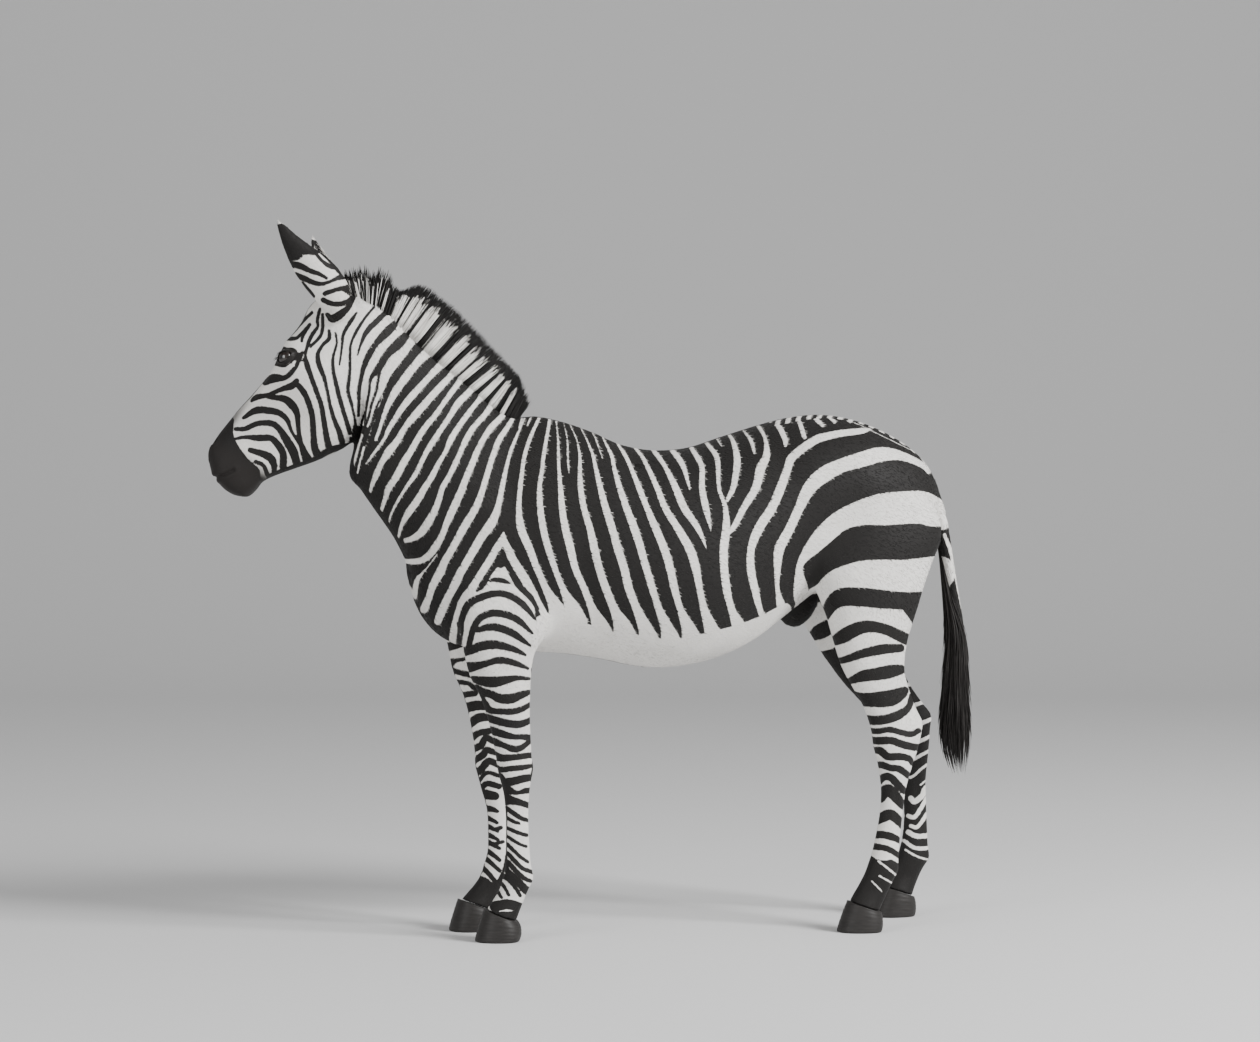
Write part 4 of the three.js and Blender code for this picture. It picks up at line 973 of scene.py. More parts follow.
TRUNK_WHITES = [
    (-15.6, 126.3, .9, -17.5, 122, 1.1, -18.7, 118, 1.1, -19.2, 115, 1.1, -19.8, 110, 1.3,
     -20.1, 105, 1.5, -19.6, 100, 2.1, -17.5, 95, 2, -15.6, 90, 1.8, -13.4, 85, 1.9, -11, 80.5, 2.4),
    (-12.6, 126.3, .9, -13.3, 122, 1, -14, 118, 1.1, -14.3, 115, 1.1, -15, 110, 1.3,
     -14.8, 105, 1.7, -14.1, 100, 1.8, -12.8, 95, 1.8, -11.2, 90, 1.6, -9.2, 85, 1.7, -6.8, 80, 2.6),
    (-10.8, 126, .5, -10.4, 122, .6, -10.3, 118, .9, -10.2, 115, .9, -9.8, 110, 1.3,
     -9.4, 105, 1.7, -8.6, 100, 1.9, -7.3, 95, 2.1, -6.1, 90, 1.8, -3.9, 85, 1.8, -1.9, 80, 2.2,
     -.3, 76.5, 2.6),
    (-8.8, 125.3, .3, -8.1, 122, .5, -8, 118, .6, -7.8, 115, .6, -7.6, 113.4, .2),
    (-7.2, 125.2, .4, -5.8, 122, .5, -5, 118, .8, -5, 115, 1.1, -4.8, 110, 1.5, -4, 105, 1.6,
     -2.5, 100, 1.8, -1.4, 95, 2.1, -.2, 90, 2, 1.5, 85, 2.1, 3.5, 80, 2.3, 5.4, 76, 3),
    (-4.4, 124.2, .4, -3.3, 122, .5, -1.7, 118, .9, -1.1, 115, 1.1, .1, 110, 1.5, 1.4, 105, 1.9,
     3, 100, 2, 4.4, 95, 2.1, 6, 90, 2.1, 7.2, 85, 2.2, 9.1, 80, 2.2, 11.3, 75, 2.4),
    (-1.6, 123.2, .4, -1, 122, .5, .4, 118, .4, .8, 117, .2),
    (.8, 122.3, .5, 2.9, 118, 1, 3.5, 115, 1.1, 4.9, 110, 1.5, 6.6, 105, 1.8, 8.5, 100, 2.1,
     10.1, 95, 2, 11.5, 90, 1.9, 13, 85, 1.9, 14.6, 80, 1.9, 16.7, 75, 2.2),
    (4.2, 121.2, .6, 6.3, 118, 1.1, 7.7, 115, 1.1, 9.7, 110, 1.5, 11.7, 105, 1.6, 13.8, 100, 2,
     15.9, 95, 2.1, 17.4, 90, 2.1, 18.5, 85, 2, 19.9, 80, 1.8, 22, 75, 2.4),
    (7.9, 120.7, .6, 10.3, 118, 1, 11.9, 115, 1.2, 14.2, 110, 1.5, 16.2, 105, 1.7, 19.3, 100, 2,
     22.2, 95, 2.3, 23.8, 90, 2.2, 24.7, 85, 1.7, 25.8, 80, 2.1, 27.6, 75, 2.4),
    (12, 120.6, .7, 14.3, 118, 1.3, 16.3, 115, 1.2, 18.8, 110, 1.8, 20.9, 105, 2, 24.3, 100, 1.5,
     26.2, 95.5, .5, 26.4, 94.5, .2),
    (16.2, 121, .7, 19, 118, 1.5, 20.8, 115, 1.3, 22.1, 110.3, .7, 22.3, 109.3, .2),
    (21.3, 121.6, .7, 23.9, 118, 1.4, 25.3, 115, 1.4, 25.3, 110, 1.6, 26.3, 105, 1.8,
     27.3, 100.5, .7, 27.5, 99, .2),
    (25, 122.6, .7, 26.5, 121, 1, 28.8, 118, 1.4, 29.3, 115, 1.3, 29.5, 110, 1, 31.1, 105, 1.3,
     31.3, 100, 2.1, 30.7, 95, 2.2, 30.8, 90, 2.1, 31.4, 85, 2.1, 32.6, 80, 1.9, 34.5, 75.5, 2.5),
    (28, 123.3, .4, 29.1, 122, .6, 30.2, 120.3, .4),
    (31, 124, .6, 32.8, 122, 1.1, 33.9, 118, 1.7, 33.9, 115, 1.8, 33, 110, 1.5, 31.5, 107, 1),
    (34.8, 125, .4, 37.3, 122, 1, 38.2, 119, .8, 38.4, 118.3, .2),
    (37.8, 126.3, .5, 39.5, 125, 1, 41, 122, 1, 41.3, 118, 1.9, 39.9, 115, 2.4, 38.6, 110, 2.1,
     35.6, 105, 1.8, 33.3, 100.5, 1.5, 31.8, 99, 1.5),
    (42.3, 127.2, .6, 44.5, 125, 1.4, 45.9, 122, 1.4, 46, 120.6, 1),
    (46.1, 127.6, .4, 47.7, 126.2, .5), (48.2, 128.6, .5, 49.6, 126, 1.2, 50.7, 122.6, 1.2),
    (51.7, 129.3, .5, 53.5, 127.2, 1.2, 55.2, 125.5, 1), (55.2, 128.8, .5, 58.2, 126.4, 1),
    (60, 127.8, .4, 62, 126.3, .6), (58, 128, .3, 64, 125.8, .3, 70, 122.9, .3, 79, 118.5, .3),
]
RUMP_WHITES = [
    (67, 124.6, .6, 65, 124.2, 1.6, 60, 123.6, 1.8, 57, 123, 2, 54, 122.2, 2.2, 51.3, 120.6, 2.2,
     48.8, 118.7, 2.2, 47.2, 117, 2.2, 46.6, 115, 2.1, 44.8, 110, 2.4, 42.6, 105, 2.4,
     39.4, 100, 2.5, 37.5, 95, 2, 37.4, 90, 2.1, 38.4, 85, 2, 39.6, 80, 1.6, 40.6, 77.5, 1.5),
    (81.5, 114, 1.2, 80, 115.7, 1.6, 75, 117.9, 2.3, 70, 118.4, 3.7, 65, 117.1, 3.9,
     60, 115.6, 3.6, 55.5, 113.3, 4, 51.9, 110, 3.3, 49.4, 105, 2.5, 47.1, 100, 2.4,
     44.5, 95, 2.6, 44, 90, 1.8, 44, 85, 1.2, 45.1, 80, 2.6),
    (50, 82.3, 3.8, 49.8, 85, 3.8, 49.4, 90, 1.8, 50.8, 93, 2.6, 53, 95.6, 4, 56, 98.8, 5,
     60, 102.1, 5.2, 65, 103.9, 6.4, 70, 104.7, 8, 75, 105.1, 8.2, 80, 105.1, 8.2, 84.5, 103, 7),
    (52.7, 84, 2.5, 55, 84.5, 4, 57.5, 86.5, 5, 60, 87.7, 5.6, 65, 88.6, 6.8, 70, 88.5, 7.6,
     75, 88.2, 8.1, 80, 88.5, 8.5, 84, 89, 8.5),
]
UNDER_WHITES = [
    (-19, 70, 5, -15, 75.5, 5, -12, 77, 4, -8.5, 75.2, 6, -4, 74, 5, 0, 73, 5),
    (-12, 73, 8, -3, 72, 5, 4, 72, 5, 12, 70.6, 5, 20, 70, 5.5, 28, 71, 7, 35, 73, 6.6,
     41, 76.2, 5, 46, 80, 3),
    (-12, 68, 10, 4, 67, 9, 20, 66, 9, 35, 68, 8, 46, 76, 6),
]
LEG_GROUND = [
    (50, 80, 4, 56, 76, 14, 66, 72, 24, 68, 66, 20, 70, 58, 19, 72, 50, 19, 73, 40, 16,
     71, 30, 12, 70.5, 24, 12, 71, 19.5, 3),
    (-26, 78, 20, -26.5, 72, 22, -27, 66, 20, -25, 58, 17, -24, 48, 15, -23, 38, 12,
     -22, 28, 9, -21, 18, 10, -21, 10, 10, -23, 7, 10),
]
HIND_BLACKS = [
    (56, 78, 1.5, 57.3, 81, 3, 60, 82.9, 4, 65, 82.9, 4.1, 70, 82.4, 4, 75, 81.9, 3.6,
     78.3, 81.4, 2.6, 81, 81, 2),
    (57.5, 71.5, 1, 60, 73.1, 2.9, 65, 75.5, 2.7, 70, 75.2, 2.2, 75, 73, 2.4, 78, 71.5, 2),
    (58.9, 67.1, 1.2, 61, 67.5, 1.4, 65, 68.9, 1.8, 70, 70, 2.1, 74.5, 70.3, 1.6),
    (62.3, 62.3, 1.4, 65.4, 63.4, 2.4, 68.9, 63.9, 2.7, 72, 64.5, 2.8, 74.6, 65, 2),
    (61.5, 59.5, 1.2, 64.5, 57.7, 2.6, 68, 57.5, 3.2, 72, 57.9, 3.6, 74.5, 59, 2.6,
     75.6, 59.8, 1.5),
    (64.9, 53.4, 1, 66.3, 52.6, 1.8, 68.9, 52.4, 1.9, 72, 52.9, 1.9, 74.6, 54, 1.8,
     76.6, 55.7, 1.2, 77.3, 58.5, 1),
    (66.3, 49.9, 1, 68.9, 49.7, 1.1, 71.7, 50.1, 1.1, 74.6, 49.4, 1.1, 77.1, 48.9, 1.1, 79, 49.8, 1),
    (66.6, 47.7, 1.2, 68.9, 47.3, 1.5, 72, 47.4, 1.5, 75.4, 46.3, 1.5, 78.3, 45.7, 1.4, 80, 46, 1),
    (67.1, 44.9, .8, 69.4, 44.9, 1.5, 71.4, 43.4, 1.5, 74.3, 43.4, 1.4, 76.6, 42.9, 1.2,
     77.4, 41.7, .8),
    (68.3, 40.9, 1, 69.7, 41.4, 1.3, 72, 40.6, 1.3, 74.3, 40.3, 1.3, 76.6, 38.6, 1.2),
    (69.4, 37.1, 1, 70.3, 38.3, 1.4, 72, 38.3, 1.5, 73.7, 36.6, 1.5, 75.4, 34.9, 1.3),
    (69.7, 32.9, 1.5, 70.9, 34.9, 2.5, 72.3, 34.6, 2.5, 74, 32.6, 2, 75.2, 31.1, 1.4),
    (68.3, 27.2, 1.4, 70.2, 28.4, 2.2, 72.1, 29, 2.2, 74, 27.5, 1.8, 74.9, 26.2, 1.2),
    (67.7, 24, 1.5, 70.2, 24, 1.5, 72.7, 23.4, 1.4, 74.3, 22.5, 1),
    (67.4, 21.2, 1.3, 69.6, 20.9, 1.2, 71.8, 20.3, 1.1, 74, 19, .9),
]
HIND_LIGHTS = [
    (70.8, 19.4, 1.2, 74, 17.5, 1.2), (69, 17.5, .7, 71.5, 15.6, .7, 73.3, 14.1, .7),
    (69.3, 13.8, .6, 72.7, 11.9, .6), (67.4, 12.5, .5, 69.9, 10, .5),
    (78.8, 57, 1.2, 79, 52.5, 1),
]
FORE_BLACKS = [
    (-33.4, 69.5, 1.8, -31.9, 69.8, 1.6, -29.8, 70.7, 1.8, -26.6, 71.2, 1.8, -23.6, 70.7, 1.4,
     -20.6, 69.7, 1, -18.5, 68.6, .3),
    (-32.8, 65.5, 2.2, -30.4, 65.9, 1.6, -27.5, 66.7, 1.2, -24.8, 67.3, 1.3, -21.5, 66.7, 1.2,
     -17.9, 65.3, .4),
    (-31.6, 62.7, 1, -29.5, 62.2, 1.8, -26.6, 61.9, 2.3, -23.3, 62.4, 1.6, -20.6, 62.9, .9,
     -17.6, 62.7, .4),
    (-30.7, 60.6, 1, -28.9, 59.4, 1.5, -26.9, 58.8, 1.5, -25.1, 57.9, 1.8, -22.4, 57.7, 2,
     -19.7, 58.6, 1.5, -17.6, 59.4, .8),
    (-29.8, 57.6, 2, -28.9, 56.4, 2, -27.2, 54.9, 1.2, -24.5, 54.6, 1.1, -21.5, 54.6, 1.2,
     -19.1, 55.3, 1, -17.3, 56.4, .7),
    (-28.9, 53.4, 1.3, -27.2, 52.8, 1.5, -24.5, 52, 1.5, -21.5, 51.4, 1.5, -19.1, 51.6, 1.3,
     -17, 52.6, 1),
    (-28.4, 50.1, 1.5, -26.6, 49.8, 1.6, -23.9, 48.9, 1.4, -21.5, 48.3, 1, -19.4, 48.3, 1,
     -17.4, 48, 1.4),
    (-28.1, 47.4, 1.5, -26.3, 47.1, 1.5, -23.9, 46.2, 1, -21.5, 45.3, 1.3, -19.4, 45.6, 1,
     -17.6, 47.1, .8),
    (-27.5, 44.7, 1.6, -25.1, 43.2, 1.5, -22.1, 43.1, 1.2, -19.1, 43.5, 1.1, -16.7, 43.8, 1),
    (-27.2, 41.4, 2, -25.1, 40.2, 1.2, -22.1, 40.4, 1, -19.1, 40.7, 1, -17, 41.1, .5),
    (-27.5, 38.5, 1.5, -25.1, 38.5, 1.5, -23.9, 37, 1.8, -21.5, 37.3, 1.6, -19.1, 37.9, 1.5,
     -16.7, 38.3, 1.2),
    (-28.1, 35.5, 2.5, -25.1, 35.5, 2.5, -22.5, 35, 1.5, -20.6, 34.4, .6, -18.5, 34.9, 1,
     -17.3, 35, 1),
    (-28.1, 32.5, 3.5, -25.1, 33.1, 3.5, -22.3, 32.6, 1.8, -19.8, 32, 1.2, -17.6, 31.2, 1),
    (-23.2, 30.6, .7, -21.1, 29.1, .8, -19.3, 28, .7, -17.6, 27.5, .5),
    (-23.1, 28.2, .5, -21.5, 27.3, .5, -20, 26.8, .3),
    (-23.1, 25.7, .5, -21.5, 25, .6, -20, 24.4, .6, -18.2, 23.9, .5),
    (-23.1, 23.7, .4, -21.5, 22.6, .5, -19.7, 21.6, .4, -18.3, 21.1, .3),
    (-23, 21.7, .5, -21.5, 20.2, .6, -19.7, 18.5, .5, -17.9, 17.3, .4),
    (-23, 19.5, .6, -21.1, 17.5, .7, -19.3, 15.7, .7, -16.6, 14.7, .6),
    (-22.8, 17.2, .8, -20.8, 15, .8, -18.8, 13.2, .7, -17.2, 12.5, .5),
    (-23.4, 30.5, .5, -23.5, 25, .5, -23.5, 18, .6, -23.2, 15.5, 1),
    (-22.6, 14.4, 1.4, -20.3, 12.3, 1.5, -18.6, 10.5, 1.6, -17.4, 9.8, 1.7),
    (-24.4, 14, 1, -22.8, 13, .8, -21, 10.9, .6, -19.8, 8.9, .5),
    (-25.2, 12.6, .6, -23.8, 11.2, .5, -22.6, 9, .4), (-25.6, 10.4, .5, -24.4, 8.4, .4),
    (-26, 6.2, 2.2, -23, 6.8, 2, -20.6, 6.2, 2, -18.8, 5.6, 1.6),
]
DOCK_WHITES = [(85.4, 98.5, .9, 87.4, 93.1, 1.3, 89.7, 82.4, 1.5, 91.4, 75.2, 1.6, 92, 71, 1.6)]
FAR_HIND_LIGHTS = [
    (77.1, 33.1, 1.5, 78, 32.2, 1.5, 79.9, 33.7, 1.5, 80.8, 35.6, 1.5, 83.5, 37.5, 1),
    (76.4, 28.7, 1.2, 78, 28.4, 1.2, 79.6, 30.6, 1.2, 81.1, 33.1, 1.2, 83.5, 35.2, 1),
    (77.1, 26.2, 1.1, 78.6, 25.9, 1.1, 80.2, 27.8, 1.1, 81.4, 29.7, 1.1, 84, 31.6, 1),
    (76.4, 24.7, 1.4, 78.3, 23.7, 1.4, 80.5, 23.7, 1.4, 81.4, 24, 1.4, 84.5, 25.4, 1),
    (75.5, 22.5, 1.1, 77.7, 20.9, 1.1, 79.9, 20.6, 1.1, 81.7, 20.9, 1.1, 84.5, 21.8, .8),
    (75.8, 20.3, .7, 77.7, 19.1, .7, 80.2, 18.1, .7, 83, 17.6, .6),
    (73.5, 44, 1, 76, 42.3, 1, 79, 43.4, 1, 84.5, 46.6, .8),
    (72.5, 48, 1.1, 75.5, 46.5, 1.1, 80, 47.5, 1.1, 85, 50.4, .8),
    (71, 52, 1, 74.5, 50.5, 1.2, 79.5, 51.6, 1.2, 85, 54, .9),
    (69, 56.5, 1, 72.5, 55, 1.2, 77.5, 56, 1.2, 84.5, 58.6, .9),
    (66, 61.5, 1, 70, 60, 1.2, 75.5, 61, 1.2, 83, 63, 1),
    (74.5, 39.5, .8, 77, 38.2, .8, 80.5, 41, .8, 84, 43, .7), (79.5, 36.4, .6, 84, 40, .6),
]
FAR_FORE_GROUND = [
    (-33, 66, 14, -32.5, 56, 14, -31, 46, 12, -29, 38, 10, -28, 32, 9, -27, 24, 8, -27.6, 16, 7,
     -29, 13, 4),
]
FAR_FORE_BLACKS = [
    (-38, 65.6, 1.2, -36.7, 65, 1.2, -34, 64.1, 1.2, -31, 63.4, 1.2),
    (-37, 62.6, .9, -35.5, 62, .9, -32.5, 61.5, .9, -31, 60.3, .9, -28, 59.8, 1),
    (-36, 57.5, 1.3, -34.6, 58.5, 1.3, -31, 59.1, 1.3),
    (-35, 55, 2, -33.1, 55.5, 2.2, -30.1, 56.1, 2.2, -26, 55.6, 1.5),
    (-34, 50.5, 2, -32.2, 51.6, 2, -29.8, 53.1, 2, -26, 53, 1.4),
    (-33, 47, 1.4, -31.6, 48, 1.4, -30.1, 49.2, 1.4, -26, 50, 1.2),
    (-32.6, 44.5, 1.4, -31.3, 45.3, 1.5, -29.5, 46.2, 1.5, -28.3, 48, 1.5, -26, 47, 1.2),
    (-32.2, 41.8, 1.4, -31, 42.6, 1.5, -29, 43.8, 1.5, -28, 45, 1.5, -25, 44, 1),
    (-32, 38.6, 1.4, -30.7, 39.4, 1.6, -29.5, 40.2, 1.6, -27.5, 42.3, 1.6, -25, 41, 1),
    (-30.1, 37.3, .8, -28, 39.4, .8, -25, 38.6, .8), (-29.7, 35.2, 1.2, -28, 36.7, 1.2, -25, 36, 1.2),
    (-24.5, 25.8, .7, -26, 25.4, .7), (-24, 22.3, .6, -26, 21.8, .6),
    (-31.5, 33, 2.4, -29, 34, 2.4, -26, 33.6, 1.8), (-28.6, 30.6, 1.6, -26.6, 30.3, 1.1, -25.4, 29.8, .6),
    (-29, 28.5, 1.3, -27.4, 28, 1, -25.5, 27, .6), (-29, 26.4, 1.3, -27.4, 25.9, 1, -25.4, 24.9, .6),
    (-29, 24.4, 1.3, -27.3, 23.8, 1, -25.3, 22.8, .6), (-29, 22.6, 1.2, -27, 21.8, 1, -24.9, 20.6, .6),
    (-29, 20.6, 1.2, -27, 19.4, 1, -24.9, 17.7, .7), (-29, 18.6, 1.2, -27, 17, .9, -24.8, 15, .7),
    (-30, 16.4, 1.3, -28, 14.8, 1, -26, 12.4, 1), (-31, 13.4, 1.6, -28.5, 11.6, 3, -27, 9, 4),
    (-28.9, 34, .7, -28.7, 26, .7, -28.7, 20, .8, -29.6, 15, 1),
]
HEAD_BLACKS = [
    (-83.1, 136, 1, -80.9, 137.2, 2, -78.3, 137.3, 1, -76.6, 138.6, 1, -75, 140.9, .8,
     -73.9, 143.5, .6),
    (-80.9, 143.3, 5, -79, 142.6, 5, -77.4, 142.3, 4.3, -76, 142.5, 2.8, -74.6, 142.8, 1.2),
    (-78.3, 147.2, .8, -76.6, 147, .9, -74.9, 147.4, .6, -72.5, 150, .5),
    (-86.4, 131.6, .5, -85.1, 132.5, 1.2, -82.2, 133.1, .8, -79.2, 134.4, 1, -76.3, 135.4, 1.5,
     -75.2, 136.6, 1),
    (-75.6, 136.2, 1, -73.7, 134.1, 1.3, -72.4, 131.5, 1.2, -71.4, 127.9, 1.2, -71.1, 123.7, 1.3,
     -70.8, 120.1, 1.6, -69.8, 117.5, 2),
    (-82.3, 132.6, .8, -78.3, 132.1, 1.5, -76.6, 130.8, 1.8, -75.3, 128.9, 1.4, -74.9, 126.3, 1,
     -74.7, 123.7, .9, -74, 120.4, 1.2, -72.7, 117.2, 2.2),
    (-88.4, 127.4, .6, -85.4, 129.2, 1.5, -82.2, 129.2, 1.5, -79.6, 128.6, 1.3, -77.6, 126.9, 1,
     -76.6, 124.3, .6, -75, 121.7, .6, -73.6, 119.5, 1),
    (-90.4, 124.6, .7, -88, 124.7, 1, -84.8, 126, 1.1, -81.5, 126, 1.3, -79.6, 124.7, 1.3,
     -77.9, 122.1, 1.8, -76, 118.8, 2, -75, 115.2, 1.5),
    (-90.4, 122.2, .5, -88, 122.6, .7, -84.8, 122.4, 1.4, -81.8, 122.4, 1.3, -80.2, 121.1, 1.5,
     -78.6, 118.5, 1.6, -78.6, 115.2, 1.6),
    (-86.8, 119.4, 1, -83.8, 118.5, 1.5, -81.8, 117.5, 1.8, -80.9, 115.9, 1.5, -80.8, 114, 1),
    (-85.4, 116.5, .8, -83.5, 115.6, .8, -82.5, 113.3, .8),
    (-69.5, 154.5, .5, -70.1, 151.6, .6, -70, 150, .5, -71.4, 148, .8, -72.4, 145.8, .7,
     -73.1, 142.8, .5, -72.7, 140.6, 1.2, -71.8, 138, 1, -70.5, 134.4, 1, -69.2, 130.8, 1,
     -68.5, 126.9, 1.1, -67.9, 123, 1.3, -67.2, 119.8, 1.6),
    (-68.8, 153, .5, -68.8, 149.7, .6, -69.5, 147.4, .6, -71.8, 145.1, .5),
    (-67.2, 149, .5, -67.2, 147.1, .8, -68.8, 145.4, .6, -70, 143.2, .8, -69.7, 140.6, 1.1,
     -68.5, 137.6, .8, -67.5, 133.4, .6, -66.9, 130.2, .7, -65.9, 126.9, .9, -64.6, 123.7, 1.2,
     -64, 121.4, 1.3),
    (-65.6, 148.4, .3, -65.3, 145.8, .3, -66.2, 142.5, .5, -66.2, 139.3, .7, -65.3, 135.1, .9,
     -64.3, 131.2, .9, -63, 126.9, .9, -62, 123.7, 1),
    (-60.1, 153.6, .8, -62, 151, .7, -63.7, 148, .6, -64, 145.1, .4, -64.6, 140.6, .2),
    (-72, 150.5, .6, -73.6, 148, .7, -74, 146.4, .4), (-71.4, 153.5, .5, -73.5, 151.5, .6, -76, 149, .7),
    (-72.5, 155.3, .6, -74.6, 153.2, .7, -76.5, 151, .6),
    (-71.4, 116.5, 1.4, -69, 118.3, 1.4, -66, 119.7, 1.4, -62, 120.3, 1.6),
    (-82, 112.8, 1.2, -78.5, 114.2, 1.2, -75, 115.4, 1.2, -71.5, 116.6, 1.2),
    (-66.8, 152, 1.3, -64.8, 152.8, 1.6, -62.6, 154.6, 1.2, -60.6, 157.5, .6),
]
HEAD_LIGHTS = [
    (-79.4, 145.8, .9, -77.3, 145.3, 1.2, -75.2, 144.9, .9),
    (-80.6, 139.4, 1.4, -78.6, 139, 1.4, -76.9, 140, 1.3, -75.6, 141.4, .8),
]
# The first stroke is the muzzle's own black. The second carries black up the side of the nose, where it
# is painted shade.
MUZZLE_DARK_AND_NOSE_SHADE = [
    (-98.5, 121, 12, -96.5, 115, 14, -93, 112.5, 13, -89.5, 111, 9, -86, 110.2, 6),
    (-92.5, 126.5, 3.4, -93.5, 123.5, 5, -93.5, 120, 7, -91, 117, 6, -89, 115, 5.5, -86.8, 113.4, 5),
]
EDGE = 1.5                       # cm, as far from an edge as the field keeps count


def stroke_line(stroke: tuple[float, ...]) -> Array:
    """A stroke's points filled in with a smooth curve, as rows of (along, up, half width)."""
    p = np.array(stroke, float).reshape(-1, 3)
    q = np.vstack([2 * p[0] - p[1], p, 2 * p[-1] - p[-2]])
    t = np.arange(0, 1, 0.25)[:, None, None]
    a, b, c, d = q[:-3], q[1:-2], q[2:-1], q[3:]
    line = np.vstack([curve(a, b, c, d, t).transpose(1, 0, 2).reshape(-1, 3), p[-1:]])
    line[:, 2] /= 2
    return line


def carried_up(strokes: list[tuple[float, ...]], by: float) -> list[tuple[float, ...]]:
    """The same strokes begun sooner, so that they run on over the crest and the back."""
    made = []
    for stroke in strokes:
        a, b = np.array(stroke[:3]), np.array(stroke[3:6])
        way = (a - b)[:2] / np.linalg.norm((a - b)[:2])
        made.append((a[0] + way[0] * by, a[1] + way[1] * by, a[2]) + stroke)
    return made


def fuller(strokes: list[tuple[float, ...]], by: float, more: float) -> list[tuple[float, ...]]:
    """The same strokes with their widths multiplied and added to."""
    made = []
    for stroke in strokes:
        p = np.array(stroke, float).reshape(-1, 3)
        p[:, 2] = p[:, 2] * by + more
        made.append(tuple(p.ravel()))
    return made


def flared(strokes: list[tuple[float, ...]]) -> list[tuple[float, ...]]:
    """The same strokes, those that run into the belly opened out at their lower end."""
    made = []
    for stroke in strokes:
        p = list(stroke)
        if p[-2] < 81.5:
            p[-1] += 1.3
            p += [p[-3] + 0.9, p[-2] - 3.2, p[-1] + 1.8]
        made.append(tuple(p))
    return made


def paint(layers: list[tuple[Ink, list]], p: Array) -> Array:
    """Signed distance from the edges of the marks: above zero is black, below it white.

    Args:
        layers: Groups of strokes with their ink, in the order they are laid.
        p: Points of the sheet as (along, up), in centimetres.

    Returns:
        One value for each point, in centimetres, held within EDGE.
    """
    s = np.full(len(p), EDGE)
    for ink, strokes in layers:
        for stroke in strokes:
            line = stroke_line(stroke)
            reach = line[:, 2].max() + EDGE
            lo, hi = line[:, :2].min(0) - reach, line[:, :2].max(0) + reach
            near = np.flatnonzero(((p > lo) & (p < hi)).all(1))
            if not len(near):
                continue
            x = p[near]
            q = np.full(len(near), -9.0)
            for a, b in zip(line[:-1], line[1:]):
                d = b[:2] - a[:2]
                t = np.clip((x - a[:2]) @ d / max(d @ d, 1e-9), 0, 1)
                gap = np.hypot(x[:, 0] - a[0] - t * d[0], x[:, 1] - a[1] - t * d[1])
                q = np.maximum(q, a[2] + (b[2] - a[2]) * t - gap)
            s[near] = np.maximum(s[near], q) if ink is Ink.BLACK else np.minimum(s[near], -q)
    return np.clip(s, -EDGE, EDGE)


EAR_GROUND = [(-60, 156, 40, -70, 164, 40, -80, 178, 30)]
EAR_BLACKS = [
    (-79, 174, 2.4, -77.8, 172, 4.4, -76.6, 170, 6, -75, 169.8, 4, -73, 169.4, 2.4,
     -70.5, 168.6, 1.2),
    (-77.4, 167.6, 1.2, -76.8, 169, 2.6), (-76.8, 165.5, 1.2, -74.5, 165.1, 1.1, -72, 163.9, .8,
                                           -69.5, 163, .6, -67.8, 162, .3),
    (-75.4, 162.8, 1, -73, 161.8, .9, -71, 160.9, .8, -69, 160.6, .6, -67.4, 161, .4,
     -65.8, 161.7, .5, -64.6, 162.2, .8, -62, 162.8, 1.2),
    (-73.8, 160.5, .8, -72.5, 159, .9, -71.3, 157.6, .8),
    (-68.2, 158.2, .7, -66, 159, .6, -63.5, 159.6, .7, -61.6, 160, .6),
    (-68.6, 156.6, .8, -66.5, 155.7, .8, -64, 155.7, .8, -62, 156.6, .8, -60.6, 158.5, .5),
    (-67.6, 153, .6, -66.4, 151.8, 1.1, -64.6, 152.9, 1.5, -62.9, 154.2, .8),
    (-71.5, 170.2, 1, -69, 168.6, .8, -66.5, 166.2, .9, -64.5, 164, 1.2, -62.8, 162.8, 1.2),
    (-70, 167.6, .4, -69, 166.4, .4, -67, 165, .7, -65, 164.6, .7),
]
HEAD_GROUND = [(-60, 150, 60, -75, 130, 60, -90, 115, 60)]
BLACK, WHITE = Ink.BLACK, Ink.WHITE
EAR_LAYERS = [(WHITE, EAR_GROUND), (BLACK, fuller(EAR_BLACKS, 1.15, 0.25))]
BODY_LAYERS = [
    (WHITE, carried_up(NECK_WHITES, 5.0)), (WHITE, flared(carried_up(TRUNK_WHITES, 2.5))),
    (WHITE, UNDER_WHITES), (WHITE, RUMP_WHITES), (WHITE, SHOULDER_WHITES),
    (WHITE, THROAT_GROUND), (BLACK, NECK_BLACKS), (WHITE, LEG_GROUND),
    (BLACK, fuller(SHOULDER_BLACKS, 1.05, 0.1)), (BLACK, fuller(HIND_BLACKS, 1.05, 0.2)),
    (WHITE, HIND_LIGHTS), (BLACK, fuller(FORE_BLACKS, 1.08, 0.22)), (WHITE, DOCK_WHITES),
]
HEAD_LAYERS = [
    (WHITE, HEAD_GROUND), (BLACK, NECK_BLACKS), (BLACK, fuller(EAR_BLACKS, 1.15, 0.25)),
    (BLACK, fuller(HEAD_BLACKS, 1.0, 0.12)), (WHITE, HEAD_LIGHTS), (BLACK, MUZZLE_DARK_AND_NOSE_SHADE),
]
FAR_LAYERS = [
    (WHITE, FAR_HIND_LIGHTS), (WHITE, FAR_FORE_GROUND),
    (BLACK, fuller(FAR_FORE_BLACKS, 1.0, 0.1)),
]


def sheet(p: Array) -> Array:
    """Points of the left side, in table centimetres, laid on the flat sheet of the markings."""
    x, y, z = p[:, 0] * CM, p[:, 1] * CM, p[:, 2] * CM
    c, s = math.cos(math.radians(VIEW_TURN)), math.sin(math.radians(VIEW_TURN))
    away = (VIEW_AWAY + x * s + y * c) / (VIEW_AWAY * 100)
    return np.stack([(x * c - y * s) / away, VIEW_HIGH * 100 + (z - VIEW_HIGH) / away], 1)


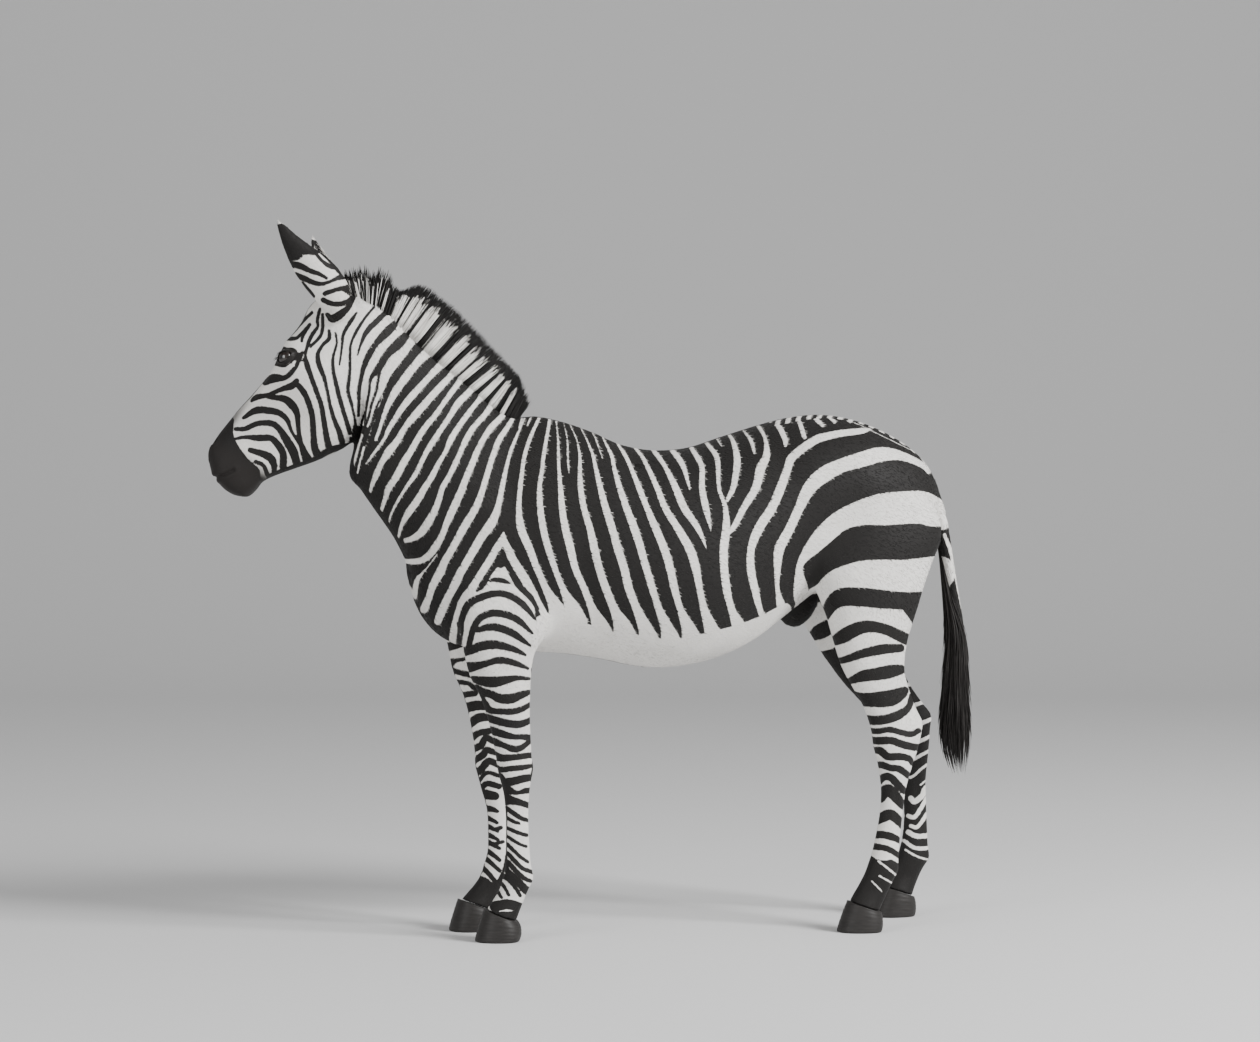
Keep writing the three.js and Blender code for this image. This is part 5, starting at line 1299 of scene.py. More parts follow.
def forehead(q: Array, s: Array) -> Array:
    """The head's marking with the narrow lines that run down the forehead laid over it."""
    down, front = down_and_front(q)
    top = np.interp(down, [-3, 1.5, 7, 15.5, 19.5, 24, 28.5, 33],
                    [9.2, 11.4, 11, 10.8, 10.5, 11, 11.7, 12.5])
    gap = np.interp(down, [-3, 3, 11, 19, 27, 34], [1.0, 1.5, 1.9, 1.7, 1.3, 0.9])
    beside = np.abs(q[:, 1])
    lines = 0.29 * gap - gap * np.abs(np.mod(beside / gap, 1) - 0.5)
    wide = np.interp(down, [0, 9, 15, 22], [1.95, 2.95, 2.95, 1.95])
    share = (front > top - 2.4) * (1 - smoothstep(beside / gap - wide, -0.1, 0.1))
    share = share * smoothstep(down, -2, 0) * (1 - smoothstep(down, 34, 36))
    return s * (1 - share) + lines * share


def seen_from_left(p: Array, found: dict[str, dict], owner: Array) -> Array:
    """Where on the left side each point takes its marking from.

    Args:
        p: Points in table centimetres.
        found: What each region's locate says of them.
        owner: The region of each, as an index of NAMES.

    Returns:
        Points of the left side: the right side folded over, the insides of the legs folded
        out, and the right legs carried to the same place of the left ones.
    """
    near = np.stack([p[:, 0], -np.abs(p[:, 1]), p[:, 2]], 1)
    for name in ("fore_left", "hind_left"):
        mine, mid = within(owner, name), found[name]["mid_y"]
        share = smoothstep(-p[:, 2], -88, -74)
        inner = mid - np.abs(p[:, 1] - mid)
        near[mine, 1] = (near[:, 1] * (1 - share) + inner * share)[mine]
    for name, twin in (("fore_right", "fore_left"), ("hind_right", "hind_left")):
        f, mine, rows = found[name], within(owner, name), REGIONS[twin].rows
        i = np.clip(f["row"].astype(int), 0, len(rows) - 2)
        t = (f["row"] - i)[:, None]
        r = rows[i] * (1 - t) + rows[i + 1] * t
        share = smoothstep(-p[:, 2], -96, -84)[:, None]
        there = np.stack([r[:, 2] + (r[:, 0] - r[:, 2]) * f["along"],
                          r[:, 5] - np.abs(f["side"]),
                          r[:, 3] + (r[:, 1] - r[:, 3]) * f["along"]], 1)
        near[mine] = (near * (1 - share) + there * share)[mine]
    return near


def back_and_belly(p: Array, owner: Array, s: Array) -> Array:
    """The marking with what lies along the middle of the trunk laid over it."""
    beside, trunk = np.abs(p[:, 1]), within(owner, "trunk")
    spine = 1.1 - beside
    s = np.where((p[:, 2] > 112) & (p[:, 0] > -20), np.maximum(s, spine), s)
    bars = 0.62 - np.abs(np.mod(p[:, 0] + 0.35 * beside, 2.7) - 1.35)
    croup = smoothstep(p[:, 0], 40, 46) * (1 - smoothstep(beside, 5.8, 7.4))
    s = np.where((croup > 0.5) & (p[:, 2] > 116) & trunk, np.maximum(bars, spine), s)
    dark = (p[:, 0] > 44.5) & (p[:, 0] < 57) & (p[:, 2] < 83.5) & (beside < 3.4)
    s = np.where(dark & trunk, 1.2, s)
    keel = (1.6 - beside) * ((p[:, 2] < 80) & (p[:, 0] > -20) & (p[:, 0] < 46))
    return np.where(trunk & (keel > 0), np.maximum(s, keel), s)


def marks_at(p: Array) -> Array:
    """The marking's signed distance at points in table centimetres."""
    found = {name: region.locate(p) for name, region in REGIONS.items()}
    owner = np.stack([f["fill"] for f in found.values()]).argmin(0)
    s = paint(BODY_LAYERS, sheet(seen_from_left(p, found, owner)))
    beside = np.abs(p[:, 1])
    band = (p[:, 0] > 76) & (np.abs(p[:, 2] - 98) < 2.4) & (beside > 4)
    s = np.where(band, np.maximum(s, 0.6), s)
    q = unturn_head(p)
    q[:, 1] = -np.abs(q[:, 1])
    head, in_head = forehead(q, paint(HEAD_LAYERS, sheet(turn_head(q)))), within(owner, "head")
    share = np.maximum(smoothstep(-p[:, 0], 57, 63) * in_head, in_head & (p[:, 0] < -63))
    s = s * (1 - share) + head * share
    throat = (found["neck"]["along"] < 0.2) & within(owner, "neck")
    throat &= (p[:, 2] > 98) & (p[:, 2] < 133)
    s = np.where(throat, np.maximum(s, np.clip(3.1 - beside, -EDGE, EDGE)), s)
    low = (p[:, 1] > 0) & (p[:, 2] < 74) & within(owner, "fore_right", "hind_right")
    far = p[low].copy()
    mid = np.where(within(owner, "fore_right"), found["fore_right"]["mid_y"],
                   found["hind_right"]["mid_y"])[low]
    far[:, 1] = mid - np.abs(far[:, 1] - mid)
    top = np.maximum(smoothstep(p[low, 2], 62, 70), smoothstep(p[low, 1] - mid, -0.8, 0.8))
    s[low] = s[low] * top + paint(FAR_LAYERS, sheet(far)) * (1 - top)
    foot = within(owner, "hind_left", "fore_left") & (p[:, 2] < 7.5) & (s < 0)
    s = back_and_belly(p, owner, np.where(foot, 0.4, s))
    ear = ear_share(p)
    for which in EARS:
        e = ear_local(p, which)
        on = (ear > 0.01) & by_ear(e)
        mine = paint(EAR_LAYERS, sheet(p)) if which == "left" else ear_marks(e)
        outer, inner, deep = ear_leaf(e[:, 2])
        hollow = np.hypot((2 * e[:, 0] - outer - inner) / (inner - outer), e[:, 1] / deep) < 0.89
        mine = np.where(hollow & (e[:, 2] > 3) & (e[:, 2] < 19.5), -0.8, mine)
        s[on] = (s * (1 - ear) + mine * ear)[on]
    return s


def ear_marks(e: Array) -> Array:
    """Markings of an ear in its own frame: white tip, black band, then bars on white."""
    up = e[:, 2] + 0.35 * (e[:, 0] - 1)
    s = np.minimum(up - 15.0, 23.4 - up)
    for level, half in ((12.0, 0.55), (8.6, 0.5), (4.6, 0.5)):
        s = np.maximum(s, half - np.abs(up - level))
    rim = np.minimum(e[:, 0] - 5.2, 20 - up)
    return np.clip(np.maximum(s, rim), -EDGE, EDGE)


# ------------------------------------------------------------------ the unwrap of the skin
class Unwrap:
    """Flat charts of the skin, each running down one region and round it."""

    def __init__(self, mesh: Mesh) -> None:
        """Unwraps a mesh of triangles."""
        faces = corners(mesh).reshape(-1, 3)
        p = centimetres(coords(mesh))
        centre = p[faces].mean(1)
        owner = fills_of(centre).argmin(0)
        ear = ear_share(centre) > 0.5
        uv = np.zeros((len(faces), 3, 2))
        charts = []
        for k, region in enumerate(REGIONS.values()):
            mine = np.flatnonzero((owner == k) & ~ear)
            if len(mine):
                mid = region.locate(centre[mine])
                at = region.locate(p[faces[mine]].reshape(-1, 3))
                angle = self.unrolled(at["angle"], mid["angle"])
                wide = ((mid["half"] + mid["w"]) / 2)[:, None]
                uv[mine] = np.stack([at["run"].reshape(-1, 3), angle * wide], -1)
                charts.append(mine)
        for which in EARS:
            e = ear_local(centre, which)
            mine = np.flatnonzero(ear & by_ear(e))
            if len(mine):
                q = ear_local(p[faces[mine]].reshape(-1, 3), which)
                angle = self.unrolled(np.arctan2(q[:, 0] - 1, q[:, 1]),
                                      np.arctan2(e[mine, 0] - 1, e[mine, 1]))
                uv[mine] = np.stack([q[:, 2].reshape(-1, 3), angle * 4], -1)
                charts.append(mine)
        lay_unwrap(mesh, self.pack(uv, charts))

    @staticmethod
    def unrolled(angle: Array, middle: Array) -> Array:
        """Angles of the corners of each face, all on the same turn as the face's middle."""
        angle = angle.reshape(-1, 3)
        return angle - 2 * math.pi * np.round((angle - middle[:, None]) / (2 * math.pi))

    @staticmethod
    def pack(uv: Array, charts: list[Array]) -> Array:
        """Places the charts in rows within the unit square.

        Args:
            uv: Flat places in centimetres for each corner of each face.
            charts: The faces of each chart.

        Returns:
            The places in the unit square.
        """
        boxes = []
        for mine in charts:
            lo, hi = uv[mine].min((0, 1)), uv[mine].max((0, 1))
            boxes.append((lo, hi - lo, mine))
        boxes.sort(key=lambda b: -b[1][1])
        wide = 300.0
        for _ in range(40):
            x = y = high = 0.0
            spots = []
            for lo, size, mine in boxes:
                if x + size[0] > wide:
                    x, y, high = 0.0, y + high + 2, 0.0
                spots.append((x, y))
                x += size[0] + 2
                high = max(high, size[1])
            if y + high <= wide:
                break
            wide *= 1.03
        for (lo, size, mine), spot in zip(boxes, spots):
            uv[mine] = (uv[mine] - lo + np.array(spot) + 1) / (wide + 3)
        return uv


# ------------------------------------------------------------------ finishes
def link(tree: NodeTree, a: object, b: object) -> None:
    """Joins an output socket to an input socket."""
    tree.links.new(a, b)


def node(tree: NodeTree, kind: str, **values: object) -> Node:
    """Adds a node; a value named after a property is set on it, any other on its input."""
    made = tree.nodes.new(kind)
    for name, value in values.items():
        if hasattr(made, name):
            setattr(made, name, value)
        else:
            made.inputs[name.replace("_", " ")].default_value = value
    return made


def maths(tree: NodeTree, kind: str, a: object, b: object) -> object:
    """A maths node of two sockets or numbers; returns its output."""
    made = tree.nodes.new("ShaderNodeMath")
    made.operation = kind
    for socket, value in zip(made.inputs, (a, b)):
        if isinstance(value, (int, float)):
            socket.default_value = value
        else:
            link(tree, value, socket)
    return made.outputs[0]


def length_of(tree: NodeTree, x: object, y: object) -> object:
    """The root of the sum of two squares."""
    both = maths(tree, "ADD", maths(tree, "MULTIPLY", x, x), maths(tree, "MULTIPLY", y, y))
    return maths(tree, "SQRT", both, 0.0)


def mixed(tree: NodeTree, factor: object, a: object, b: object, blend: str = "MIX") -> object:
    """A mix of two colours, each a socket or a tuple, by a socket or a number."""
    made = node(tree, "ShaderNodeMix", data_type="RGBA", blend_type=blend)
    for socket, value in zip([s for s in made.inputs if s.type == "RGBA"], (a, b)):
        if isinstance(value, tuple):
            socket.default_value = (*value, 1)
        else:
            link(tree, value, socket)
    if isinstance(factor, float):
        made.inputs["Factor"].default_value = factor
    else:
        link(tree, factor, made.inputs["Factor"])
    return [o for o in made.outputs if o.type == "RGBA"][0]


def noise(tree: NodeTree, place: object, **values: float) -> object:
    """The level of a noise at a place."""
    made = node(tree, "ShaderNodeTexNoise", **values)
    link(tree, place, made.inputs["Vector"])
    return made.outputs["Fac"]


def stretched(tree: NodeTree, place: object, scale: tuple) -> object:
    """A place with its axes scaled."""
    made = node(tree, "ShaderNodeMapping", Scale=scale)
    link(tree, place, made.inputs["Vector"])
    return made.outputs[0]


def relief(tree: NodeTree, shader: Node, height: object, strength: float, depth: float) -> None:
    """Gives a shader a bump of a depth in metres."""
    bump = node(tree, "ShaderNodeBump", Strength=strength, Distance=depth)
    link(tree, height, bump.inputs["Height"])
    link(tree, bump.outputs[0], shader.inputs["Normal"])


def new_material(name: str, **values: float) -> tuple[Material, NodeTree, Node]:
    """A material with its tree and its surface shader, whose inputs take the values."""
    mat = bpy.data.materials.new(name)
    mat.use_nodes = True
    shader = mat.node_tree.nodes["Principled BSDF"]
    for socket, value in values.items():
        shader.inputs[socket.replace("_", " ")].default_value = value
    return mat, mat.node_tree, shader


@dataclass(frozen=True)
class CoatFinish:
    """Colours and softness of the striped coat.

    Args:
        black: Colour of the dark hair.
        white: Colour of the light hair.
        bare: Colour of the bare skin of the muzzle, also laid along the nose bridge as painted shade.
        rough: Roughness of the hair.
        bump: Depth of the hair bump, in metres.
        edge: Level of the marking where white ends and where black begins, in centimetres.
        ragged: How far hair breaks the edge of a marking, in centimetres.
        uneven: Strength of the broad and of the fine unevenness of the colour.
        combed: How fine the hair is drawn along and across the unwrap.
    """

    black: tuple[float, float, float] = (0.0085, 0.0077, 0.0072)
    white: tuple[float, float, float] = (0.80, 0.78, 0.745)
    bare: tuple[float, float, float] = (0.015, 0.0128, 0.0118)
    rough: float = 0.62
    bump: float = 0.0008
    edge: tuple[float, float] = (-0.19, -0.01)
    ragged: float = 0.34
    uneven: tuple[float, float] = (0.30, 0.34)
    combed: tuple[float, float, float] = (260.0, 1500.0, 1.0)

    def material(self, name: str, skin: bool) -> Material:
        """The striped coat, on the skin or on tufts over it."""
        mat, tree, shader = new_material(name, Roughness=self.rough, Sheen_Weight=0.03,
                                         Sheen_Roughness=0.45, Specular_IOR_Level=0.22)
        stripe, tone = (node(tree, "ShaderNodeAttribute", attribute_name=n).outputs["Fac"]
                        for n in ("stripe", "tone"))
        place = node(tree, "ShaderNodeTexCoord").outputs["Object"]
        broken = maths(tree, "SUBTRACT", noise(tree, place, Scale=140.0, Detail=3.0), 0.5)
        off = maths(tree, "MULTIPLY", broken, self.ragged)
        step = node(tree, "ShaderNodeMapRange", interpolation_type="SMOOTHSTEP",
                    From_Min=self.edge[0], From_Max=self.edge[1])
        link(tree, maths(tree, "ADD", stripe, off), step.inputs["Value"])
        patch = noise(tree, place, Scale=9.0, Detail=4.0)
        fine = noise(tree, place, Scale=420.0, Detail=2.0)
        vary = maths(tree, "ADD", maths(tree, "MULTIPLY", patch, self.uneven[0]),
                     maths(tree, "MULTIPLY", fine, self.uneven[1]))
        grey = node(tree, "ShaderNodeCombineColor")
        level = maths(tree, "ADD", vary, 1 - sum(self.uneven) / 2)
        for channel in grey.inputs:
            link(tree, level, channel)
        light = mixed(tree, 1.0, self.white, grey.outputs[0], "MULTIPLY")
        dark = mixed(tree, vary, self.black, tuple(2.1 * c for c in self.black))
        coat = mixed(tree, step.outputs[0], light, dark)
        # tone lays the bare colour on the muzzle, and along the nose bridge as painted shade
        link(tree, mixed(tree, tone, coat, self.bare), shader.inputs["Base Color"])
        if skin:
            flat = node(tree, "ShaderNodeUVMap", uv_map="OFBake").outputs["UV"]
            hair = noise(tree, stretched(tree, flat, self.combed), Scale=1.0, Detail=3.0, Roughness=0.6)
            relief(tree, shader, hair, 0.55, self.bump)
        return mat


@dataclass(frozen=True)
class PlainFinish:
    """A plain finish with a fine mottle.

    Args:
        colour: Main colour.
        second: Colour it drifts to.
        rough: Roughness.
        grain: Scale of the mottle, per metre.
        bump: Depth of its relief, in metres.
        stretch: Stretch of the mottle along X, Y and Z.
    """

    colour: tuple[float, float, float]
    second: tuple[float, float, float]
    rough: float
    grain: float = 60.0
    bump: float = 0.0
    stretch: tuple[float, float, float] = (1.0, 1.0, 1.0)

    def material(self, name: str) -> Material:
        """The material of this finish."""
        mat, tree, shader = new_material(name, Roughness=self.rough, Specular_IOR_Level=0.25)
        place = stretched(tree, node(tree, "ShaderNodeTexCoord").outputs["Object"], self.stretch)
        grain = noise(tree, place, Scale=self.grain, Detail=4.0)
        link(tree, mixed(tree, grain, self.colour, self.second), shader.inputs["Base Color"])
        if self.bump:
            relief(tree, shader, grain, 0.6, self.bump)
        return mat


HORN = PlainFinish((0.013, 0.012, 0.0115), (0.038, 0.035, 0.033), 0.5, 40.0, 0.0005, (1.0, 1.0, 7.0))
LID = PlainFinish((0.0075, 0.0068, 0.0062), (0.014, 0.012, 0.011), 0.52, 300.0, 0.0004)
BRUSH_HAIR = PlainFinish((0.010, 0.009, 0.0085), (0.030, 0.027, 0.025), 0.5, 60.0)


@dataclass(frozen=True)
class EyeFinish:
    """Dark wet eye: brown iris, level pupil and a dim white at the corners.

    Args:
        rings: Distance from the middle of the gaze and colour, from the middle outwards.
        outer: Colour beyond the rings.
        pupil: Colour of the pupil.
        wide: Share of the pupil's height to its width.
        rim: Levels between which the pupil's edge lies.
    """

    rings: tuple = ((0.0, (0.018, 0.010, 0.006, 1)), (0.66, (0.012, 0.007, 0.0045, 1)),
                    (0.74, (0.005, 0.0035, 0.003, 1)), (0.86, (0.03, 0.024, 0.021, 1)))
    outer: tuple[float, float, float, float] = (0.035, 0.028, 0.025, 1)
    pupil: tuple[float, float, float] = (0.002, 0.002, 0.003)
    wide: float = 0.55
    rim: tuple[float, float] = (0.22, 0.26)

    def material(self, name: str) -> Material:
        """The material of this finish."""
        mat, tree, shader = new_material(name, Roughness=0.12, Coat_Weight=0.9, Coat_Roughness=0.02)
        split = node(tree, "ShaderNodeSeparateXYZ")
        gaze = node(tree, "ShaderNodeAttribute", attribute_name="gaze").outputs["Vector"]
        link(tree, gaze, split.inputs[0])
        x, y = split.outputs[0], split.outputs[1]
        ramp = node(tree, "ShaderNodeValToRGB")
        for at, colour in self.rings:
            stops = ramp.color_ramp.elements
            stop = stops.new(at) if at else stops[0]
            stop.color = colour
        ramp.color_ramp.elements[-1].color = self.outer
        link(tree, length_of(tree, x, y), ramp.inputs[0])
        hole = node(tree, "ShaderNodeMapRange", From_Min=self.rim[0], From_Max=self.rim[1])
        link(tree, length_of(tree, maths(tree, "MULTIPLY", x, self.wide), y), hole.inputs["Value"])
        link(tree, mixed(tree, hole.outputs[0], self.pupil, ramp.outputs[0]), shader.inputs["Base Color"])
        return mat


# ------------------------------------------------------------------ attributes and thinning
def put(mesh: Mesh, name: str, values: Array, kind: str = "FLOAT") -> None:
    """Stores values on the vertices under a name."""
    made = mesh.attributes.new(name, kind, "POINT")
    made.data.foreach_set("value" if kind == "FLOAT" else "vector",
                          np.asarray(values, np.float32).ravel())


def drop_attributes(mesh: Mesh, *names: str) -> None:
    """Removes the named attributes where they are there."""
    for name in names:
        old = mesh.attributes.get(name)
        if old:
            mesh.attributes.remove(old)


def thin(obj: Object, weight: Array, drop: int) -> None:
    """Takes faces away where the weight is one.

    Args:
        obj: The mesh object.
        weight: One or nought for each vertex.
        drop: How many triangles to take away.
    """
    group = obj.vertex_groups.get("thin") or obj.vertex_groups.new(name="thin")
    every = list(range(len(obj.data.vertices)))
    group.add(every, 0.0, "REPLACE")
    group.add(np.flatnonzero(weight > 0.5).tolist(), 1.0, "REPLACE")
    obj.data.calc_loop_triangles()
    count = len(obj.data.loop_triangles)
    mod = obj.modifiers.new("thin", "DECIMATE")
    mod.ratio = max(0.01, (count - drop) / count)
    mod.vertex_group = "thin"
    mod.vertex_group_factor = 1.0
    mod.use_collapse_triangulate = True
    apply_modifiers(obj)
    obj.vertex_groups.clear()


# ------------------------------------------------------------------ short coat
def lie_of_coat(p: Array, n: Array) -> Array:
    """The way the hair points at each vertex, along the surface.

    Args:
        p: Places in table centimetres.
        n: Outward normals.

    Returns:
        Unit vectors: back along the body, down the limbs, up and back on the face and ears.
    """
    owner = fills_of(p).argmin(0)
    way = np.tile([0.93, 0.0, -0.36], (len(p), 1))
    way[within(owner, "neck")] = (0.62, 0, -0.78)
    down = within(owner, "fore_left", "fore_right", "hind_left", "hind_right")
    share = smoothstep(-p[:, 2], -96, -70)[:, None]
    way = np.where(down[:, None], way * (1 - share) + np.array([0.12, 0, -0.99]) * share, way)
    way[within(owner, "dock")] = (0.16, 0, -0.98)
    head = within(owner, "head")
    q = unturn_head(p)
    cheek = (smoothstep(q[:, 0], -88, -72) * (q[:, 2] < 140))[:, None]
    axis = np.array([0.56, 0, 0.83]) * (1 - cheek) + np.array([0.75, 0, -0.45]) * cheek
    way[head] = axis[head]
    for which in EARS:
        e = ear_local(p, which)
        way[by_ear(e) & (e[:, 2] > 1.5)] = ear_frame(which)[0][2]
    return unit(way - n * (way * n).sum(1)[:, None])


# A closed tuft of unit length along X: root, three-cornered belly and tip.
TUFT = [(0, 0, -0.06), (0.38, 0.5, 0.02), (0.38, -0.5, 0.02), (0.42, 0, 0.22), (1.0, 0, 0.11)]
TUFT_FACES = [(0, 2, 1), (0, 1, 3), (0, 3, 2), (4, 1, 2), (4, 3, 1), (4, 2, 3)]
TUFT_UNWRAP = [(0.1, 0.5), (0.4, 0.9), (0.4, 0.1), (0.45, 0.5), (0.9, 0.5)]
TUFT_PATCH = 0.003               # side of a tuft's patch of the unwrap


@dataclass(frozen=True)
class TuftKind:
    """The size and number of the tufts of one part of the coat.

    Args:
        name: Name of the piece.
        length: Length of a tuft in centimetres.
        width: Width of a tuft in centimetres.
        count: Tufts to each square centimetre.
        seed: Seed of their places.
    """

    name: str
    length: float
    width: float
    count: float
    seed: int


class CoatGrower:
    """Grows the tufts of the short coat on the skin with Geometry Nodes.

    Args:
        skin: The finished skin.
        material: The finish of the tufts.
        tufts: Share of the full number of tufts.
    """

    STRAY = 0.26                 # how far a tuft may turn from the lie of the coat
    SIZES = (0.7, 1.3)           # the least and the most share of the full size

    def __init__(self, skin: Object, material: Material, tufts: float) -> None:
        """Makes the tuft and the node tree."""
        self.skin = skin
        self.material = material
        self.tufts = tufts
        self.blade = new_object("tuft_blade", np.array(TUFT), np.array(TUFT_FACES))
        self.tree = self.make_tree()

    def make_tree(self) -> NodeTree:
        """The node tree, with named inputs for density, length, width and seed."""
        tree = bpy.data.node_groups.new("tufts", "GeometryNodeTree")
        face = tree.interface
        face.new_socket("Geometry", in_out="OUTPUT", socket_type="NodeSocketGeometry")
        face.new_socket("Geometry", in_out="INPUT", socket_type="NodeSocketGeometry")
        for name, kind in (("Density", "NodeSocketFloat"), ("Length", "NodeSocketFloat"),
                           ("Width", "NodeSocketFloat"), ("Seed", "NodeSocketInt")):
            face.new_socket(name, in_out="INPUT", socket_type=kind)
        ends = tree.nodes.new("NodeGroupInput"), tree.nodes.new("NodeGroupOutput")
        given = {s.name: s for s in ends[0].outputs}
        density, size, lie = (
            node(tree, "GeometryNodeInputNamedAttribute", data_type=kind,
                 Name=name).outputs["Attribute"]
            for name, kind in (("density", "FLOAT"), ("size", "FLOAT"), ("lie", "FLOAT_VECTOR")))
        spread = node(tree, "GeometryNodeDistributePointsOnFaces")
        link(tree, given["Geometry"], spread.inputs["Mesh"])
        link(tree, maths(tree, "MULTIPLY", density, given["Density"]), spread.inputs["Density"])
        link(tree, given["Seed"], spread.inputs["Seed"])
        stray = node(tree, "FunctionNodeRandomValue", data_type="FLOAT_VECTOR")
        stray.inputs[0].default_value = (-self.STRAY,) * 3
        stray.inputs[1].default_value = (self.STRAY,) * 3
        aim = node(tree, "ShaderNodeVectorMath")
        link(tree, lie, aim.inputs[0])
        link(tree, stray.outputs[0], aim.inputs[1])
        turn = node(tree, "FunctionNodeAxesToRotation", primary_axis="Z", secondary_axis="X")
        link(tree, spread.outputs["Normal"], turn.inputs[0])
        link(tree, aim.outputs[0], turn.inputs[1])
        some = node(tree, "FunctionNodeRandomValue")
        some.inputs[2].default_value, some.inputs[3].default_value = self.SIZES
        scale = node(tree, "ShaderNodeCombineXYZ")
        grown = maths(tree, "MULTIPLY", size, some.outputs[1])
        for k, name in enumerate(("Length", "Width", "Width")):
            link(tree, maths(tree, "MULTIPLY", grown, given[name]), scale.inputs[k])
        blade = node(tree, "GeometryNodeObjectInfo", Object=self.blade)
        stand = node(tree, "GeometryNodeInstanceOnPoints")
        link(tree, spread.outputs["Points"], stand.inputs["Points"])
        link(tree, blade.outputs["Geometry"], stand.inputs["Instance"])
        link(tree, turn.outputs[0], stand.inputs["Rotation"])
        link(tree, scale.outputs[0], stand.inputs["Scale"])
        real = node(tree, "GeometryNodeRealizeInstances")
        link(tree, stand.outputs[0], real.inputs[0])
        dressed = node(tree, "GeometryNodeSetMaterial", Material=self.material)
        link(tree, real.outputs[0], dressed.inputs["Geometry"])
        link(tree, dressed.outputs[0], ends[1].inputs[0])
        return tree

    def grow(self, kind: TuftKind, share: Array, size: Array) -> Object:
        """Grows one piece of the coat.

        Args:
            kind: Its sizes and seed.
            share: How much of the full density each vertex of the skin has.
            size: Size of the tufts at each vertex, as a share of the full size.

        Returns:
            The finished plain mesh object.
        """
        drop_attributes(self.skin.data, "density", "size")
        put(self.skin.data, "density", share)
        put(self.skin.data, "size", size)
        mod = self.skin.modifiers.new("tufts", "NODES")
        mod.node_group = self.tree
        ids = {s.name: s.identifier for s in self.tree.interface.items_tree if s.in_out == "INPUT"}
        mod[ids["Density"]] = kind.count * self.tufts * 1e4
        mod[ids["Length"]] = kind.length * CM
        mod[ids["Width"]] = kind.width * CM
        mod[ids["Seed"]] = kind.seed
        mesh = baked(self.skin)
        self.skin.modifiers.clear()
        obj = bpy.data.objects.new(kind.name, mesh)
        mesh.name = kind.name
        bpy.context.scene.collection.objects.link(obj)
        self.finish(obj)
        LOG.info("%s: %d triangles", kind.name, len(mesh.polygons))
        return obj

    def finish(self, obj: Object) -> None:
        """Gives each tuft its own markings and its patch of the unwrap."""
        mesh = obj.data
        points = len(TUFT)
        count = len(mesh.vertices) // points
        p = coords(mesh).reshape(count, points, 3)
        stripe = marks_at(centimetres(p[:, 0] * 0.65 + p[:, 4] * 0.35))
        uv = np.zeros((len(mesh.vertices), 2), np.float32)
        mesh.attributes["root_uv"].data.foreach_get("vector", uv.ravel())
        uv = uv.reshape(count, points, 2)[:, :1] + np.array(TUFT_UNWRAP) * TUFT_PATCH
        uv = uv.reshape(-1, 2)
        tone = np.empty(len(mesh.vertices), np.float32)
        mesh.attributes["tone"].data.foreach_get("value", tone)
        kept = ("sharp_face", "material_index")
        drop_attributes(mesh, *[a.name for a in mesh.attributes if not a.is_internal
                                and not a.is_required and a.name not in kept])
        put(mesh, "stripe", np.repeat(stripe, points))
        put(mesh, "tone", tone)
        lay_unwrap(mesh, uv[corners(mesh)])
        if not mesh.materials:
            mesh.materials.append(self.material)


